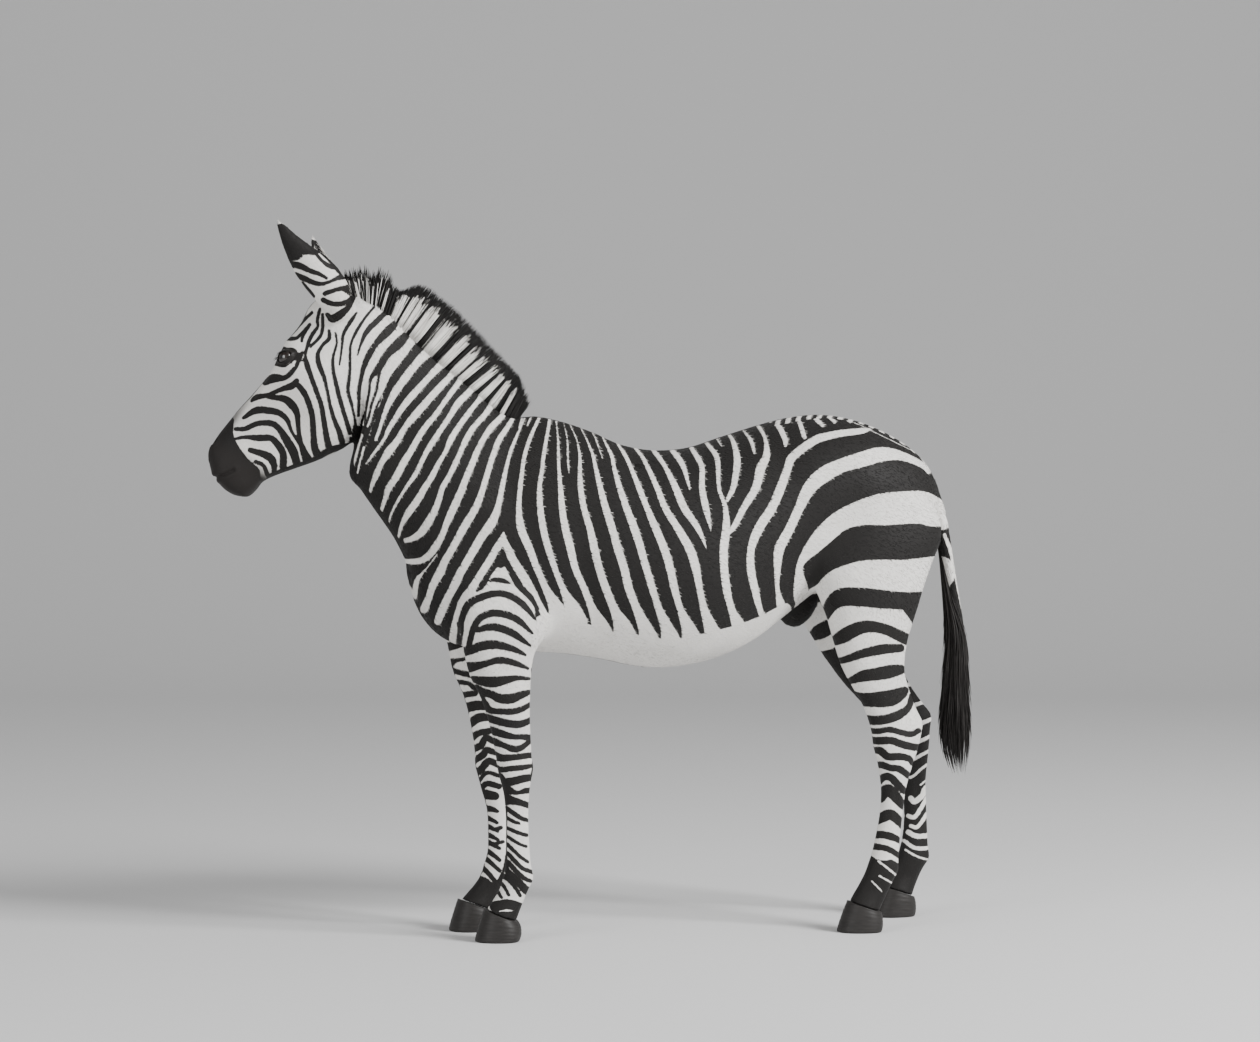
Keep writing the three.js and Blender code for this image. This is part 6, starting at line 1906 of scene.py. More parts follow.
# ------------------------------------------------------------------ long hair
@dataclass
class Locks:
    """Many tapered locks of long hair, made together from arrays.

    Args:
        name: Name of the piece.
        spine: Locks by points by (x, y, z), in table centimetres, root first.
        wide: Width of each lock at its widest, in centimetres.
        stripe: Marking of each lock, above zero for black.
        tip: Share of its length from which a lock is black.
    """

    name: str
    spine: Array
    wide: Array
    stripe: Array
    tip: float | Array = 2.0

    SIDES = 3
    FLAT = 0.55                  # thickness of a lock to its width

    def surface(self) -> tuple[Array, Array]:
        """The vertices, in metres, and the triangles of every lock, closed at both ends."""
        count, steps = self.spine.shape[:2]
        taper = np.interp(np.linspace(0, 1, steps), [0, 0.3, 0.75, 1], [0.6, 1.0, 0.7, 0.06])
        along = unit(np.gradient(self.spine, axis=1))
        side = unit(np.cross(along, np.random.default_rng(7).normal(size=(count, 1, 3))))
        other = np.cross(along, side)
        rings = []
        for k in range(self.SIDES):
            a = 2 * math.pi * k / self.SIDES
            turned = side * math.cos(a) + other * math.sin(a) * self.FLAT
            rings.append(self.spine + turned * (self.wide[:, None] / 2 * taper)[..., None])
        verts = metres(np.stack(rings, 2)).reshape(-1, 3)
        base = (np.arange(count) * steps * 3)[:, None, None]
        row = (np.arange(steps - 1) * 3)[None, :, None]
        i = np.arange(3)[None, None, :]
        a, b = base + row + i, base + row + (i + 1) % 3
        root = base[:, 0] + np.array([[0, 1, 2]])
        end = base[:, 0] + (steps - 1) * 3 + np.array([[0, 2, 1]])
        faces = np.concatenate([np.stack([a, a + 3, b], -1).reshape(-1, 3),
                                np.stack([b, a + 3, b + 3], -1).reshape(-1, 3), root, end])
        middles = metres(self.spine[:, :1]).repeat(3, 1).reshape(-1, 3)
        return verts, facing_out(verts, faces, middles)

    def build(self, material: Material) -> Object:
        """The finished piece, with its markings and its unwrap."""
        shape = (*self.spine.shape[:2], self.SIDES)
        count = shape[0]
        obj = new_object(self.name, *self.surface())
        mesh = obj.data
        reach = np.broadcast_to(np.linspace(0, 1, shape[1])[None, :, None], shape)
        tip = np.broadcast_to(np.asarray(self.tip), (count,))[:, None, None]
        ends = np.clip((reach - tip) * 8, -EDGE, EDGE)
        put(mesh, "stripe", np.maximum(self.stripe[:, None, None], ends).ravel())
        put(mesh, "tone", np.zeros(len(mesh.vertices)))
        cells = math.ceil(math.sqrt(count))
        spot = np.stack([np.arange(count) % cells, np.arange(count) // cells], 1) / cells
        u = np.broadcast_to((np.arange(self.SIDES) + 0.5) / 3.5, shape)
        uv = np.stack([u, reach * 0.9 + 0.05], -1) * 0.9 / cells + spot[:, None, None]
        lay_unwrap(mesh, uv.reshape(-1, 2)[corners(mesh)])
        mesh.materials.append(material)
        LOG.info("%s: %d triangles", self.name, len(mesh.polygons))
        return obj


MANE = [
    (-68.4, 160.8, -65.5, 154, 1.3), (-64.6, 163.6, -62, 154.6, 1.9),
    (-59.6, 165.4, -58, 153.6, 2.2), (-53.2, 164.6, -53.4, 151.6, 2.3),
    (-47.4, 162.2, -48.6, 147.6, 2.4), (-42, 159.2, -44.2, 143.4, 2.4),
    (-36.4, 154.8, -39.8, 139.2, 2.4), (-30.6, 149.2, -34.6, 134.6, 2.4),
    (-25.2, 143.6, -29.6, 130.6, 2.3), (-20.2, 138, -25.4, 127.2, 2.1),
    (-17.8, 131.6, -21.8, 125, 1.6),
]
BRUSH = [
    (87, 96.5, 88.4, 96.7, .7), (87.8, 90, 90.2, 90, 1.7), (88.4, 82, 92.2, 82, 2.6),
    (88.6, 73, 95.8, 73, 3.2), (88, 63, 96.5, 63, 3.6), (87.3, 53, 97.2, 53, 3.4),
    (87.3, 47, 97.2, 47, 2.9), (88.5, 42, 96.4, 42, 2.1), (91.6, 36.2, 94.8, 36.6, .9),
]


@dataclass(frozen=True)
class Mane:
    """The upright mane, from between the ears to the withers.

    Args:
        count: How many locks it has.
        shift: How far back the tips lie along the crest, in centimetres.
        dark_from: Least and most share of a lock's length from which it is black.
    """

    count: int
    shift: float = 7.5
    dark_from: tuple[float, float] = (0.70, 0.90)

    def heights(self, rng: np.random.Generator, across: Array, tx: Array, rx: Array) -> Array:
        """The height of each lock as a share of the mane's, uneven as the hair is."""
        count = self.count
        tall = 0.985 - 0.10 * np.abs(across) ** 2 - 0.07 * rng.random(count) ** 2
        tall = np.where(rng.random(count) < 0.2, tall * rng.uniform(0.6, 0.95, count), tall)
        notch = 0.34 * np.exp(-((tx + 48.6) / 2.6) ** 2)
        tall *= 1 - notch - 0.16 * np.exp(-((tx + 57) / 1.0) ** 2)
        return np.where(rx < -54, tall * rng.uniform(0.62, 1, count), tall)

    def build(self, material: Material) -> Object:
        """The finished piece."""
        rng, count = np.random.default_rng(11), self.count
        table = np.array(MANE)
        run = run_along(table[:, 2:4])
        end = run[-1]
        at = np.sort(rng.uniform(0, end, count))
        far = at + self.shift * smoothstep(at, 3, 20) * (1 - smoothstep(at, end - 18, end - 1))
        tx, tz = (np.interp(far, run, table[:, k]) for k in range(2))
        rx, rz, half = (np.interp(at, run, table[:, k]) for k in range(2, 5))
        across = rng.uniform(-1, 1, count)
        tall = self.heights(rng, across, tx, rx)
        t = np.linspace(0, 1, 5)[None, :]
        lean = rng.normal(0, 0.35, (count, 1))
        sway = rng.normal(0, 0.22, (count, 1))
        up = t * tall[:, None]
        x = rx[:, None] + (tx - rx)[:, None] * up + lean * t ** 2
        z = rz[:, None] + (tz - rz)[:, None] * up - 0.4 * np.abs(lean) * t ** 2
        thick = (half * 0.92 * across)[:, None]
        y = thick * (1 - 0.55 * t ** 1.5) + sway * t * (1 - 0.5 * t)
        away = unit(np.stack([tx - rx, tz - rz], 1))
        mark = np.stack([rx + away[:, 0], np.full(count, -2.4), rz + away[:, 1]], 1)
        stripe = paint(BODY_LAYERS, sheet(mark)) + rng.normal(0, 0.10, count) - 0.22
        stripe = np.where((rx < -53) & (rng.random(count) < 0.7), 0.8, stripe)
        stripe = np.where(at > end * 0.93, 1.0, stripe)
        wide = rng.uniform(0.30, 0.62, count)
        tip = rng.uniform(*self.dark_from, count)
        return Locks("mane_hair", np.stack([x, y, z], -1), wide, stripe, tip).build(material)


@dataclass(frozen=True)
class Brush:
    """The long hair of the tail, hanging from the dock.

    Args:
        count: How many locks it has.
    """

    count: int

    def build(self, material: Material) -> Object:
        """The finished piece."""
        rng, count = np.random.default_rng(13), self.count
        rows = resample([list(r) for r in BRUSH], 4)
        top, bottom = BRUSH[0][1], BRUSH[-1][1]
        start = rng.uniform(0, 0.62, count) ** 1.3
        end = start + rng.uniform(0.35, 0.75, count)
        end = np.minimum(end, rng.uniform(0.74, 0.985, count))
        angle = rng.uniform(0, 2 * math.pi, count)
        out = np.sqrt(rng.uniform(0.05, 1, count)) * 0.9
        t = np.linspace(0, 1, 8)[None, :]
        level = start[:, None] + (end - start)[:, None] * t
        z = top + (bottom - top) * level
        order = np.argsort(rows[:, 1])
        fx, rx, half = (np.interp(z, rows[order, 1], rows[order, k]) for k in (0, 2, 4))
        spread = out[:, None] * (0.35 + 0.65 * t) + rng.normal(0, 0.03, (count, 1)) * t
        curl = angle[:, None] + rng.normal(0, 0.25, (count, 1)) * t
        x = (fx + rx) / 2 + (rx - fx) / 2 * spread * np.cos(curl)
        y = half * spread * np.sin(curl)
        wide = rng.uniform(0.35, 0.8, count)
        locks = Locks("brush_hair", np.stack([x, y, z], -1), wide, np.ones(count))
        return locks.build(material)


def bent(roots: Array, ways: Array, bend: Array, length: Array, steps: int) -> Array:
    """Spines that leave their roots one way and bend another."""
    t = np.linspace(0, 1, steps)[None, :, None]
    reach = length[:, None, None]
    return roots[:, None] + ways[:, None] * t * reach + bend[:, None] * t ** 2 * reach


@dataclass(frozen=True)
class EarHair:
    """Pale hair that crosses the openings of the ears.

    Args:
        count: Hairs in each ear.
        top: Highest root, in centimetres along the ear.
        rise: How much the hairs bend upwards.
    """

    count: int = 420
    top: float = 21.0
    rise: float = 0.25

    def build(self, material: Material) -> Object:
        """The finished piece."""
        rng, n = np.random.default_rng(17), self.count
        parts = []
        for which in EARS:
            axes, root, size, side = ear_frame(which)
            up = rng.uniform(1.5, self.top, n)
            lo, hi, deep = ear_leaf(up)
            left = rng.random(n) < 0.5
            turn = ear_gap(up) + rng.uniform(0.05, 0.5, n)
            turn = np.where(left, turn, 2 * math.pi - turn)
            b = (lo + hi) / 2 + (hi - lo) / 2 * 0.86 * np.sin(turn)
            d = deep * 0.86 * np.cos(turn)
            local = np.stack([b * size, -side * d * size, up * size], -1)
            across = np.stack([-np.sign(np.sin(turn)) * 0.75, -side * np.full(n, 0.25),
                               np.full(n, 0.62)], -1)
            across += rng.normal(0, 0.16, (n, 3))
            rise = np.tile([0, 0, self.rise], (n, 1)) @ axes
            length = rng.uniform(1.3, 2.9, n) * np.interp(up, [0, 10, self.top], [1, 1, 0.5])
            parts.append((local @ axes + root, across @ axes, rise, length))
        spine = bent(*(np.concatenate(part) for part in zip(*parts)), 5)
        wide = rng.uniform(0.08, 0.17, len(spine))
        return Locks("ear_hair", spine, wide, rng.uniform(-1.3, -0.3, len(spine))).build(material)


@dataclass(frozen=True)
class Lashes:
    """The lashes of both eyes.

    Args:
        droop: How much they bend downwards.
        wide: Width of a lash, in centimetres.
    """

    droop: float = -0.5
    wide: float = 0.07

    def build(self, made: list[tuple[Array, Array]], rng: np.random.Generator,
              material: Material) -> Object:
        """The finished piece, from the roots and ways that each eye gives."""
        root, way = (np.concatenate(part) for part in zip(*made))
        n = len(root)
        spine = bent(root, way, np.tile([0, 0, self.droop], (n, 1)), rng.uniform(0.8, 1.3, n), 4)
        return Locks("lashes", spine, np.full(n, self.wide), np.full(n, 1.2)).build(material)


# ------------------------------------------------------------------ eyes and lids
# Each ring of a lid: its size to the opening's, its lift off the ball, its share of the skin.
LID_RINGS = [(0.94, -0.12, 0.0), (1.0, 0.10, 0.0), (1.07, 0.30, 0.0), (1.17, 0.34, 0.12),
             (1.30, 0.20, 0.45), (1.50, 0.0, 0.85), (1.75, -0.1, 1.0)]


@dataclass
class EyeMaker:
    """One eye: the ball and the lids round it.

    Args:
        side: The side of the head it is on.
        long: Half the length of the opening, in centimetres.
        tall: Half its height.
    """

    side: Side = Side.LEFT
    long: float = 1.95
    tall: float = 1.22
    frame: Array = field(init=False)

    def __post_init__(self) -> None:
        """Sets the eye's own axes: to the front corner, up and out."""
        gaze = unit(EYE_GAZE)
        long = unit(EYE_SLANT - gaze * (EYE_SLANT @ gaze))
        self.frame = np.array([long, np.cross(gaze, long), gaze])
        if self.frame[1, 2] < 0:
            self.frame[1] *= -1

    @property
    def name(self) -> str:
        """The side in words."""
        return self.side.name.lower()

    def local(self, q: Array) -> Array:
        """Head-frame points as (to the front corner, up, out) from the ball's middle."""
        folded = np.stack([q[:, 0], -np.abs(q[:, 1]), q[:, 2]], 1)
        return (folded - EYE_AT * np.array([1, -1, 1])) @ self.frame.T

    def place(self, local: Array) -> Array:
        """Local points put in the head and turned with it, in table centimetres."""
        q = local @ self.frame + EYE_AT * np.array([1, -1, 1])
        q[..., 1] *= -self.side.value
        return turn_head(q)

    def almond(self, a: Array, scale: float) -> tuple[Array, Array]:
        """The outline of the opening at an angle: an almond, fuller above."""
        x = self.long * np.cos(a) * scale
        tall = np.where(np.sin(a) > 0, self.tall * 1.08, self.tall * 0.86)
        y = tall * np.sign(np.sin(a)) * np.abs(np.sin(a)) ** 1.25 * scale - 0.12 * np.cos(a) * scale
        return x, y

    def ball(self, material: Material) -> Object:
        """The eyeball with its clear bulge in front."""
        lat, lon = np.meshgrid(np.linspace(0.02, math.pi - 0.3, 40),
                               np.linspace(0, 2 * math.pi, 64, endpoint=False), indexing="ij")
        x, y, z = np.sin(lat) * np.cos(lon), np.sin(lat) * np.sin(lon), np.cos(lat)
        bulge = 1 + 0.045 * smoothstep(z, 0.55, 0.95)
        points = np.stack([x, y, z], -1) * (EYE_RADIUS * bulge)[..., None]
        verts, faces = tube(metres(self.place(points)))
        obj = new_object("eye_ball_" + self.name, verts, faces)
        gaze = np.concatenate([np.stack([x, y, z], -1).reshape(-1, 3), [[0, 0, 1], [0, 0, -1]]])
        gaze[:, :2] /= 0.80
        put(obj.data, "gaze", gaze, "FLOAT_VECTOR")
        obj.data.materials.append(material)
        return obj

    def lids(self, tree: BVHTree, material: Material) -> Object:
        """The lids, from under the edge of the opening out to the skin of the tree."""
        a = np.linspace(0, 2 * math.pi, 96, endpoint=False)
        upper = smoothstep(np.sin(a), -0.1, 0.5)
        rows = []
        for scale, lift, rest in LID_RINGS:
            x, y = self.almond(a, scale)
            y = y + upper * 0.10 * (scale > 1.1)
            r2 = np.clip((EYE_RADIUS + lift) ** 2 - x ** 2 - y ** 2, 0.25, None)
            point = np.stack([x, y, np.sqrt(r2)], -1)
            if rest > 0:
                out = self.place(np.stack([x, y, np.full(len(a), 5.0)], -1))
                inward = unit(self.place(np.stack([x, y, np.full(len(a), -3.0)], -1)) - out)
                for k in range(len(a)):
                    hit = tree.ray_cast(Vector(metres(out[k])), Vector(inward[k]), 0.08)[0]
                    if hit is not None:
                        depth = 5.0 - np.linalg.norm(np.array(hit) - metres(out[k])) / CM
                        sink = 0.06 if rest < 1 else -0.12
                        blend = point[k, 2] * (1 - rest) + (depth + sink) * rest
                        point[k, 2] = max(blend, depth + 0.05) if rest < 1 else blend
                ball = np.sqrt(np.clip(EYE_RADIUS ** 2 - x ** 2 - y ** 2, 0, None))
                point[:, 2] = np.where(ball > 0, np.maximum(point[:, 2], ball + 0.10), point[:, 2])
            rows.append(point)
        placed = np.stack([metres(self.place(r)) for r in rows])
        n, m = placed.shape[:2]
        verts = placed.reshape(-1, 3)
        middle = metres(self.place(np.zeros((m * 2, 3))))
        obj = new_object("lids_" + self.name, verts, facing_out(verts, bands(n, m), middle))
        obj.data.materials.append(material)
        LOG.info("%s: %d faces", obj.name, len(obj.data.polygons))
        return obj

    def lashes(self, rng: np.random.Generator) -> tuple[Array, Array]:
        """Roots and ways of the lashes of the upper lid, in table centimetres."""
        a = rng.uniform(0.35, 2.75, 70)
        x, y = self.almond(a, 1.06)
        z = np.sqrt(np.clip((EYE_RADIUS + 0.3) ** 2 - x ** 2 - y ** 2, 0.2, None))
        root = self.place(np.stack([x, y, z], -1))
        tip = self.place(np.stack([x * 1.15, y + 0.1, z + 1.0], -1) + rng.normal(0, 0.12, (70, 3)))
        return root, tip - root


# The lines that are sunk into the muzzle, as (along, up) in the head's own frame.
NOSTRIL = [(-98.8, 117.2), (-98.9, 119.6), (-97.8, 121.4), (-96.2, 121.8)]
MOUTH = [(-101, 112.9), (-98.6, 112.7), (-96, 112.4), (-93.2, 113.0), (-90.6, 114.4)]
SOCKET_FLOOR = 1.2               # cm from the middle of the ball to the bottom of the socket


def carve_head(mesh: Mesh) -> None:
    """Sinks the sockets, the nostrils and the line of the mouth, and wrinkles the muzzle."""
    p = centimetres(coords(mesh))
    n = normals(mesh)
    q = unturn_head(p)
    eye = EyeMaker()
    e = eye.local(q)
    near = (np.abs(e) < 5).all(1) & (e[:, 2] > 0)
    almond = np.hypot(e[:, 0] / (eye.long * 1.34), (e[:, 1] - 0.05) / (eye.tall * 1.42))
    sink = (1 - smoothstep(almond, 0.72, 1.05)) * near
    out = np.tile(eye.frame[2], (len(q), 1))
    out[:, 1] *= np.sign(-q[:, 1])
    depth = np.maximum(e[:, 2] - SOCKET_FLOOR, 0) * sink
    brow = np.exp(-((almond - 1.25) / 0.22) ** 2) * near * (e[:, 1] > 0)
    q = q - out * depth[:, None] + out * (brow * 0.18)[:, None]
    p = np.where(((depth > 0) | (brow > 0.02))[:, None], turn_head(q), p)
    x, y, z = q[:, 0], np.abs(q[:, 1]), q[:, 2]
    muzzle = x < -88
    side = smoothstep(y, 1.6, 2.6) * muzzle
    gap = gap_to_path(x, z, NOSTRIL)
    pit = (1 - smoothstep(gap, 0.35, 1.05)) * side
    rim = np.exp(-((gap - 1.25) / 0.35) ** 2) * side
    line = gap_to_path(x, z, MOUTH)
    groove = (1 - smoothstep(line, 0.05, 0.55)) * muzzle
    swell = np.exp(-((line - 1.0) / 0.45) ** 2) * muzzle
    lift = 0.22 * rim + 0.16 * swell - 1.5 * pit - 0.45 * groove
    move_to(mesh, metres(p + n * lift[:, None]))


# ------------------------------------------------------------------ hooves
HOOVES = {
    "fore_hoof_left": fore_hoof(-11, -14, 0), "fore_hoof_right": fore_hoof(9.5, 6, 1),
    "hind_hoof_left": hind_hoof(0, -13, -8), "hind_hoof_right": hind_hoof(16.9, 13.5, 8),
}


@dataclass(frozen=True)
class Hoof:
    """One hoof with growth rings, a rounded rim and a flat sole.

    Args:
        name: Name of the solid that it stands for.
        rings: How many growth rings it has.
        relief: Height of a ring, in centimetres.
        worn_from: Share of the way down from which the wall is worn smooth.
    """

    name: str
    rings: int = 9
    relief: float = 0.018
    worn_from: float = 0.78

    def build(self, material: Material) -> Object:
        """The finished piece."""
        rows = sections(resample(HOOVES[self.name], 10), 72, -0.02)
        down = np.linspace(0, 1, len(rows))
        ring = self.relief * np.sin(np.linspace(0, self.rings * 2 * math.pi, len(rows)))
        out = rows - rows.mean(1, keepdims=True)
        out[..., 2] = 0
        rows = rows + unit(out) * (ring * (down < self.worn_from) - 0.035)[:, None, None]
        verts, faces = tube(metres(rows))
        obj = new_object(self.name + "_horn", verts, faces)
        obj.data.materials.append(material)
        LOG.info("%s: %d triangles", obj.name, len(faces))
        return obj


# ------------------------------------------------------------------ camera and room
FRAME_WIDE = 1260                # points across the frame


@dataclass(frozen=True)
class Camera:
    """The camera, level and a little ahead of square to the animal's left side.

    Args:
        lens: Length of the lens, in points of the frame.
        shift: How far the frame is moved right and up, in points.
        sensor: Width of the sensor, in millimetres.
    """

    lens: float = 3226
    shift: tuple[float, float] = (30, -33)
    sensor: float = 36

    def build(self) -> None:
        """Adds it to the scene."""
        data = bpy.data.cameras.new("camera")
        cam = bpy.data.objects.new("camera", data)
        bpy.context.scene.collection.objects.link(cam)
        turn = math.radians(VIEW_TURN)
        cam.location = (-VIEW_AWAY * math.sin(turn) + CENTRE_X, -VIEW_AWAY * math.cos(turn), VIEW_HIGH)
        cam.rotation_euler = (math.radians(90), 0, -turn)
        data.sensor_width = self.sensor
        data.lens = self.sensor * self.lens / FRAME_WIDE
        data.shift_x, data.shift_y = (s / FRAME_WIDE for s in self.shift)
        data.clip_start = 0.1
        data.clip_end = 100
        bpy.context.scene.camera = cam


@dataclass(frozen=True)
class Lamp:
    """A square soft light.

    Args:
        name: Its name.
        at: Where it is, in metres.
        to: Where it points.
        size: Length of its side, in metres.
        watts: Its strength.
    """

    name: str
    at: tuple[float, float, float]
    to: tuple[float, float, float]
    size: float
    watts: float

    def build(self) -> None:
        """Adds it to the scene."""
        data = bpy.data.lights.new(self.name, "AREA")
        data.shape = "SQUARE"
        data.size = self.size
        data.energy = self.watts
        obj = bpy.data.objects.new(self.name, data)
        obj.location = self.at
        turn = (Vector(self.to) - Vector(self.at)).to_track_quat("-Z", "Y")
        obj.rotation_euler = turn.to_euler()
        bpy.context.scene.collection.objects.link(obj)


@dataclass(frozen=True)
class Room:
    """A plain pale floor and backdrop with a soft studio light.

    Args:
        reach: Half the width of the floor, in metres.
        front: How far it comes forward.
        back: How far behind the animal the wall stands.
        rise: Height of the wall.
        bend: Radius of the sweep between the floor and the wall.
        grey: Level of its colour.
        sky: Strength of the even light.
        lamps: The lights.
    """

    reach: float = 30.0
    front: float = 25.0
    back: float = 14.0
    rise: float = 14.0
    bend: float = 5.0
    grey: float = 0.74
    sky: float = 0.42
    lamps: tuple[Lamp, ...] = (Lamp("key", (5.5, -5.0, 5.0), (0.2, 0, 0.8), 3.0, 1080),
                               Lamp("fill", (-6.5, -5.0, 3.0), (0, 0, 0.9), 4.0, 260))

    def build(self) -> None:
        """Adds it to the scene."""
        mat, _, shader = new_material("room", Roughness=0.9)
        shader.inputs["Base Color"].default_value = (self.grey,) * 3 + (1,)
        steps = 12
        sweep = [math.pi / 2 * k / steps for k in range(steps + 1)]
        outline = [(-self.front, 0.0)]
        outline += [(self.back - self.bend * (1 - math.sin(a)), self.bend * (1 - math.cos(a)))
                    for a in sweep]
        outline.append((self.back, self.rise))
        turn = Matrix.Rotation(-math.radians(VIEW_TURN), 3, "Z")
        verts = [tuple(turn @ Vector((x, along, up))) for along, up in outline
                 for x in (-self.reach, self.reach)]
        faces = [(2 * k, 2 * k + 1, 2 * k + 3, 2 * k + 2) for k in range(len(outline) - 1)]
        floor = new_object("floor", np.array(verts), np.array(faces))
        floor.data.materials.append(mat)
        world = bpy.data.worlds.new("world")
        bpy.context.scene.world = world
        world.use_nodes = True
        even = world.node_tree.nodes["Background"].inputs
        even[0].default_value = (1, 1, 1, 1)
        even[1].default_value = self.sky
        for lamp in self.lamps:
            lamp.build()


# ------------------------------------------------------------------ dressing the skin
def tones(p: Array) -> Array:
    """How dark the skin is: one on the bare muzzle and inside the nostrils, and up to 0.75 along the top
    of the nose bridge, where it is painted shade.
    """
    q = unturn_head(p)
    down, front = down_and_front(q)
    # nose: painted shade along the top of the nose bridge, in the bare skin's dark colour
    nose = 0.75 * smoothstep(down, 26.0, 36.0) * smoothstep(front - np.abs(q[:, 1]) * 0.8, 6.0, 9.5)
    return np.maximum(smoothstep(down, 39.5, 44.0), nose) * (p[:, 0] < -75)


def zones(p: Array) -> tuple[Array, Array, Array]:
    """Which points are on the head, the body and the legs, by plain bounds."""
    head = ((p[:, 0] < -54) & (p[:, 2] > 106)) | (ear_share(p) > 0.4)
    legs = (p[:, 2] < 80) & ((p[:, 0] < -12) | (p[:, 0] > 50)) & ~head
    return head, ~(head | legs), legs


def corner_count(mesh: Mesh, mask: Array) -> int:
    """How many triangles start on a vertex of the mask."""
    start = np.empty(len(mesh.polygons), np.int32)
    total = np.empty(len(mesh.polygons), np.int32)
    mesh.polygons.foreach_get("loop_start", start)
    mesh.polygons.foreach_get("loop_total", total)
    return int(((total - 2) * mask[corners(mesh)[start]]).sum())


def finish_skin(skin: Object, kept: tuple[int, int, int]) -> None:
    """Thins the skin to the triangles kept and stores its markings, tone and lie of hair.

    The surface stands in low relief along the edges of the markings while it is thinned, so
    that faces are kept there, and then goes back to its true shape.
    """
    true = baked(skin)
    whole = bpy.data.objects.new("whole", true)
    bpy.context.scene.collection.objects.link(whole)
    tree = BVHTree.FromObject(whole, bpy.context.evaluated_depsgraph_get())
    p = centimetres(coords(skin.data))
    n = normals(skin.data)
    head, body, legs = zones(p)
    s = marks_at(p)
    LOG.info("markings laid on %d points", len(p))
    high = np.where(body, 0.34, np.where(legs, 0.26, 0.16))
    eye = EyeMaker().local(unturn_head(p))
    high = np.where((np.abs(eye) < 4).all(1), 0.0, high)
    move_to(skin.data, metres(p + n * (high * np.clip(s / 0.55, -1, 1))[:, None]))
    for k, goal in zip((1, 2, 0), kept):
        zone = zones(centimetres(coords(skin.data)))[k]
        thin(skin, zone, max(corner_count(skin.data, zone) - goal, 0))
    skin.modifiers.new("triangles", "TRIANGULATE")
    apply_modifiers(skin)
    mesh = skin.data
    flat = coords(mesh)
    for i, point in enumerate(flat):
        flat[i] = tree.find_nearest(Vector(point))[0]
    move_to(mesh, flat)
    bpy.data.objects.remove(whole)
    LOG.info("skin thinned to %d triangles", len(mesh.polygons))
    mesh.polygons.foreach_set("use_smooth", [True] * len(mesh.polygons))
    p = centimetres(coords(mesh))
    put(mesh, "stripe", marks_at(p))
    put(mesh, "tone", tones(p))
    put(mesh, "lie", lie_of_coat(p, normals(mesh)), "FLOAT_VECTOR")


def root_patch(skin: Object) -> None:
    """Stores the unwrap on the vertices too, for the roots of the tufts."""
    mesh = skin.data
    uv = np.empty(len(mesh.loops) * 2, np.float32)
    mesh.uv_layers["OFBake"].data.foreach_get("uv", uv)
    flat = np.zeros((len(mesh.vertices), 2), np.float32)
    flat[corners(mesh)] = uv.reshape(-1, 2)
    made = mesh.attributes.new("root_uv", "FLOAT2", "POINT")
    made.data.foreach_set("vector", flat.ravel())


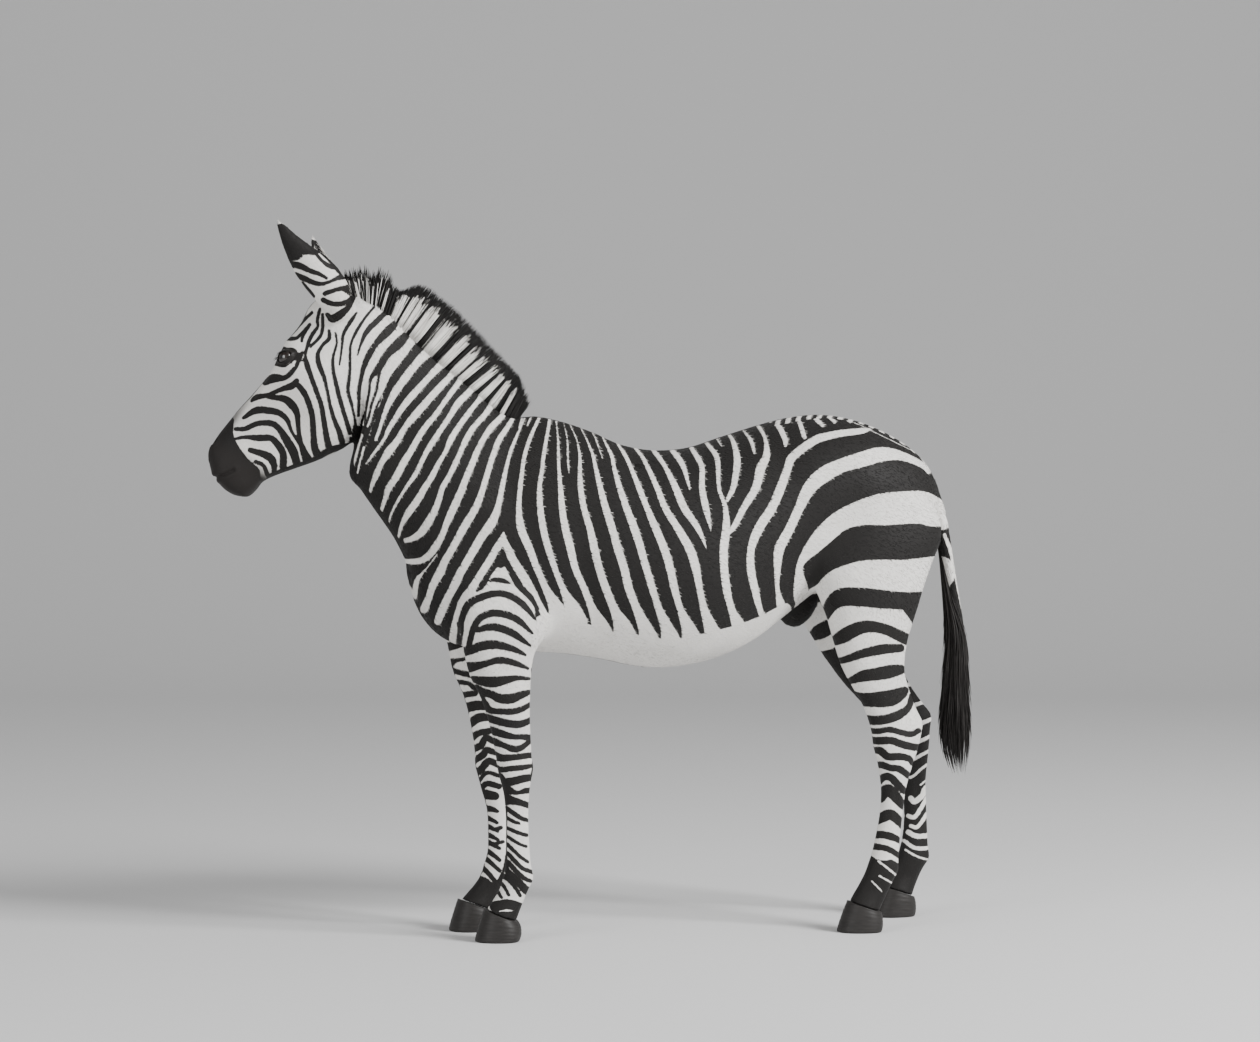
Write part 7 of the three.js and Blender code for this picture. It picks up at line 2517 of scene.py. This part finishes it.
def grow_coat(skin: Object, material: Material, tufts: float) -> list[Object]:
    """Every piece of the short coat, with a share of the full number of tufts."""
    p = centimetres(coords(skin.data))
    owner = fills_of(p).argmin(0)
    ear = ear_share(p) > 0.3
    head = within(owner, "head") | ear
    neck = within(owner, "neck") & ~head
    trunk = within(owner, "trunk", "dock")
    limb = ~(head | neck | trunk)
    high = limb & (p[:, 2] > 80)
    trunk |= high
    legs = limb & ~high
    tone = tones(p)
    q = unturn_head(p)
    e = EyeMaker().local(q)
    clear = (np.hypot(e[:, 0], e[:, 1]) > 2.9) | (e[:, 2] < 0) | (np.abs(e) > 6).any(1)
    small = np.where(head, np.interp(q[:, 0], [-100, -88, -62], [0.35, 0.55, 1.0]), 1.0)
    small = np.where(ear, 0.7, small)
    small = np.where(legs, np.interp(p[:, 2], [6, 30, 70], [0.55, 0.62, 1.0]), small)
    thick = np.where(tone > 0.5, 0.12, 1.0) * clear
    inside = np.zeros(len(p), bool)
    for which in EARS:
        c = ear_local(p, which)
        inside |= ear & (np.hypot((c[:, 0] - 1) / 5.4, c[:, 1] / 3.0) < 0.55) & (c[:, 2] < 22)
    thick = np.where(inside, 0.25, thick)
    fore = p[:, 0] < COAT_SPLIT
    grower = CoatGrower(skin, material, tufts)
    kinds = [
        (TuftKind("coat_head", 0.68, 0.125, 8.6, 1), head),
        (TuftKind("coat_neck", 0.95, 0.165, 4.4, 2), neck),
        (TuftKind("coat_body_front", 1.10, 0.20, 2.7, 3), trunk & fore),
        (TuftKind("coat_body_rear", 1.10, 0.20, 2.7, 4), trunk & ~fore),
        (TuftKind("coat_legs_front", 0.68, 0.135, 6.4, 5), legs & fore),
        (TuftKind("coat_legs_rear", 0.68, 0.135, 6.4, 6), legs & ~fore),
    ]
    made = [grower.grow(kind, mask * thick, small) for kind, mask in kinds]
    bpy.data.objects.remove(grower.blade)
    return made


def main() -> None:
    """Builds the whole scene."""
    logging.basicConfig(level=logging.INFO, format="%(relativeCreated)d %(message)s")
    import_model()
    Camera().build()
    Room().build()
    detail = FULL
    skin = SkinBuilder(detail.voxel).build()
    carve_head(skin.data)
    finish_skin(skin, detail.kept)
    Unwrap(skin.data)
    root_patch(skin)
    finish = CoatFinish()
    skin.data.materials.append(finish.material("skin", True))
    hair = finish.material("coat", False)
    coat = grow_coat(skin, hair, detail.tufts)
    drop_attributes(skin.data, "density", "size", "root_uv", "lie")
    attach(skin, ROOT)
    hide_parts("head", "neck", "trunk", "fore_leg_left", "fore_leg_right",
                "hind_leg_left", "hind_leg_right", "ear_left", "ear_right", "tail", "sheath")
    for piece in coat:
        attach(piece, ROOT)
    long_hair = [Mane(detail.mane).build(hair), EarHair().build(hair)]
    brush = Brush(detail.brush).build(BRUSH_HAIR.material("brush"))
    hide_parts("mane")
    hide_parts("tail_brush")
    tree = BVHTree.FromObject(skin, bpy.context.evaluated_depsgraph_get())
    wet, lid = EyeFinish().material("eye"), LID.material("lids")
    rng = np.random.default_rng(19)
    lashes = []
    for side in Side:
        maker = EyeMaker(side)
        ball = maker.ball(wet)
        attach(ball, ROOT)
        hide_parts("eye_" + maker.name)
        lids = maker.lids(tree, lid)
        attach(lids, ROOT)
        lashes.append(maker.lashes(rng))
    long_hair.append(Lashes().build(lashes, rng, hair))
    for piece in long_hair + [brush]:
        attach(piece, ROOT)
    horn = HORN.material("horn")
    for name in HOOVES:
        hoof = Hoof(name).build(horn)
        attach(hoof, ROOT)
        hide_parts(name)


if __name__ == "__main__":
    main()
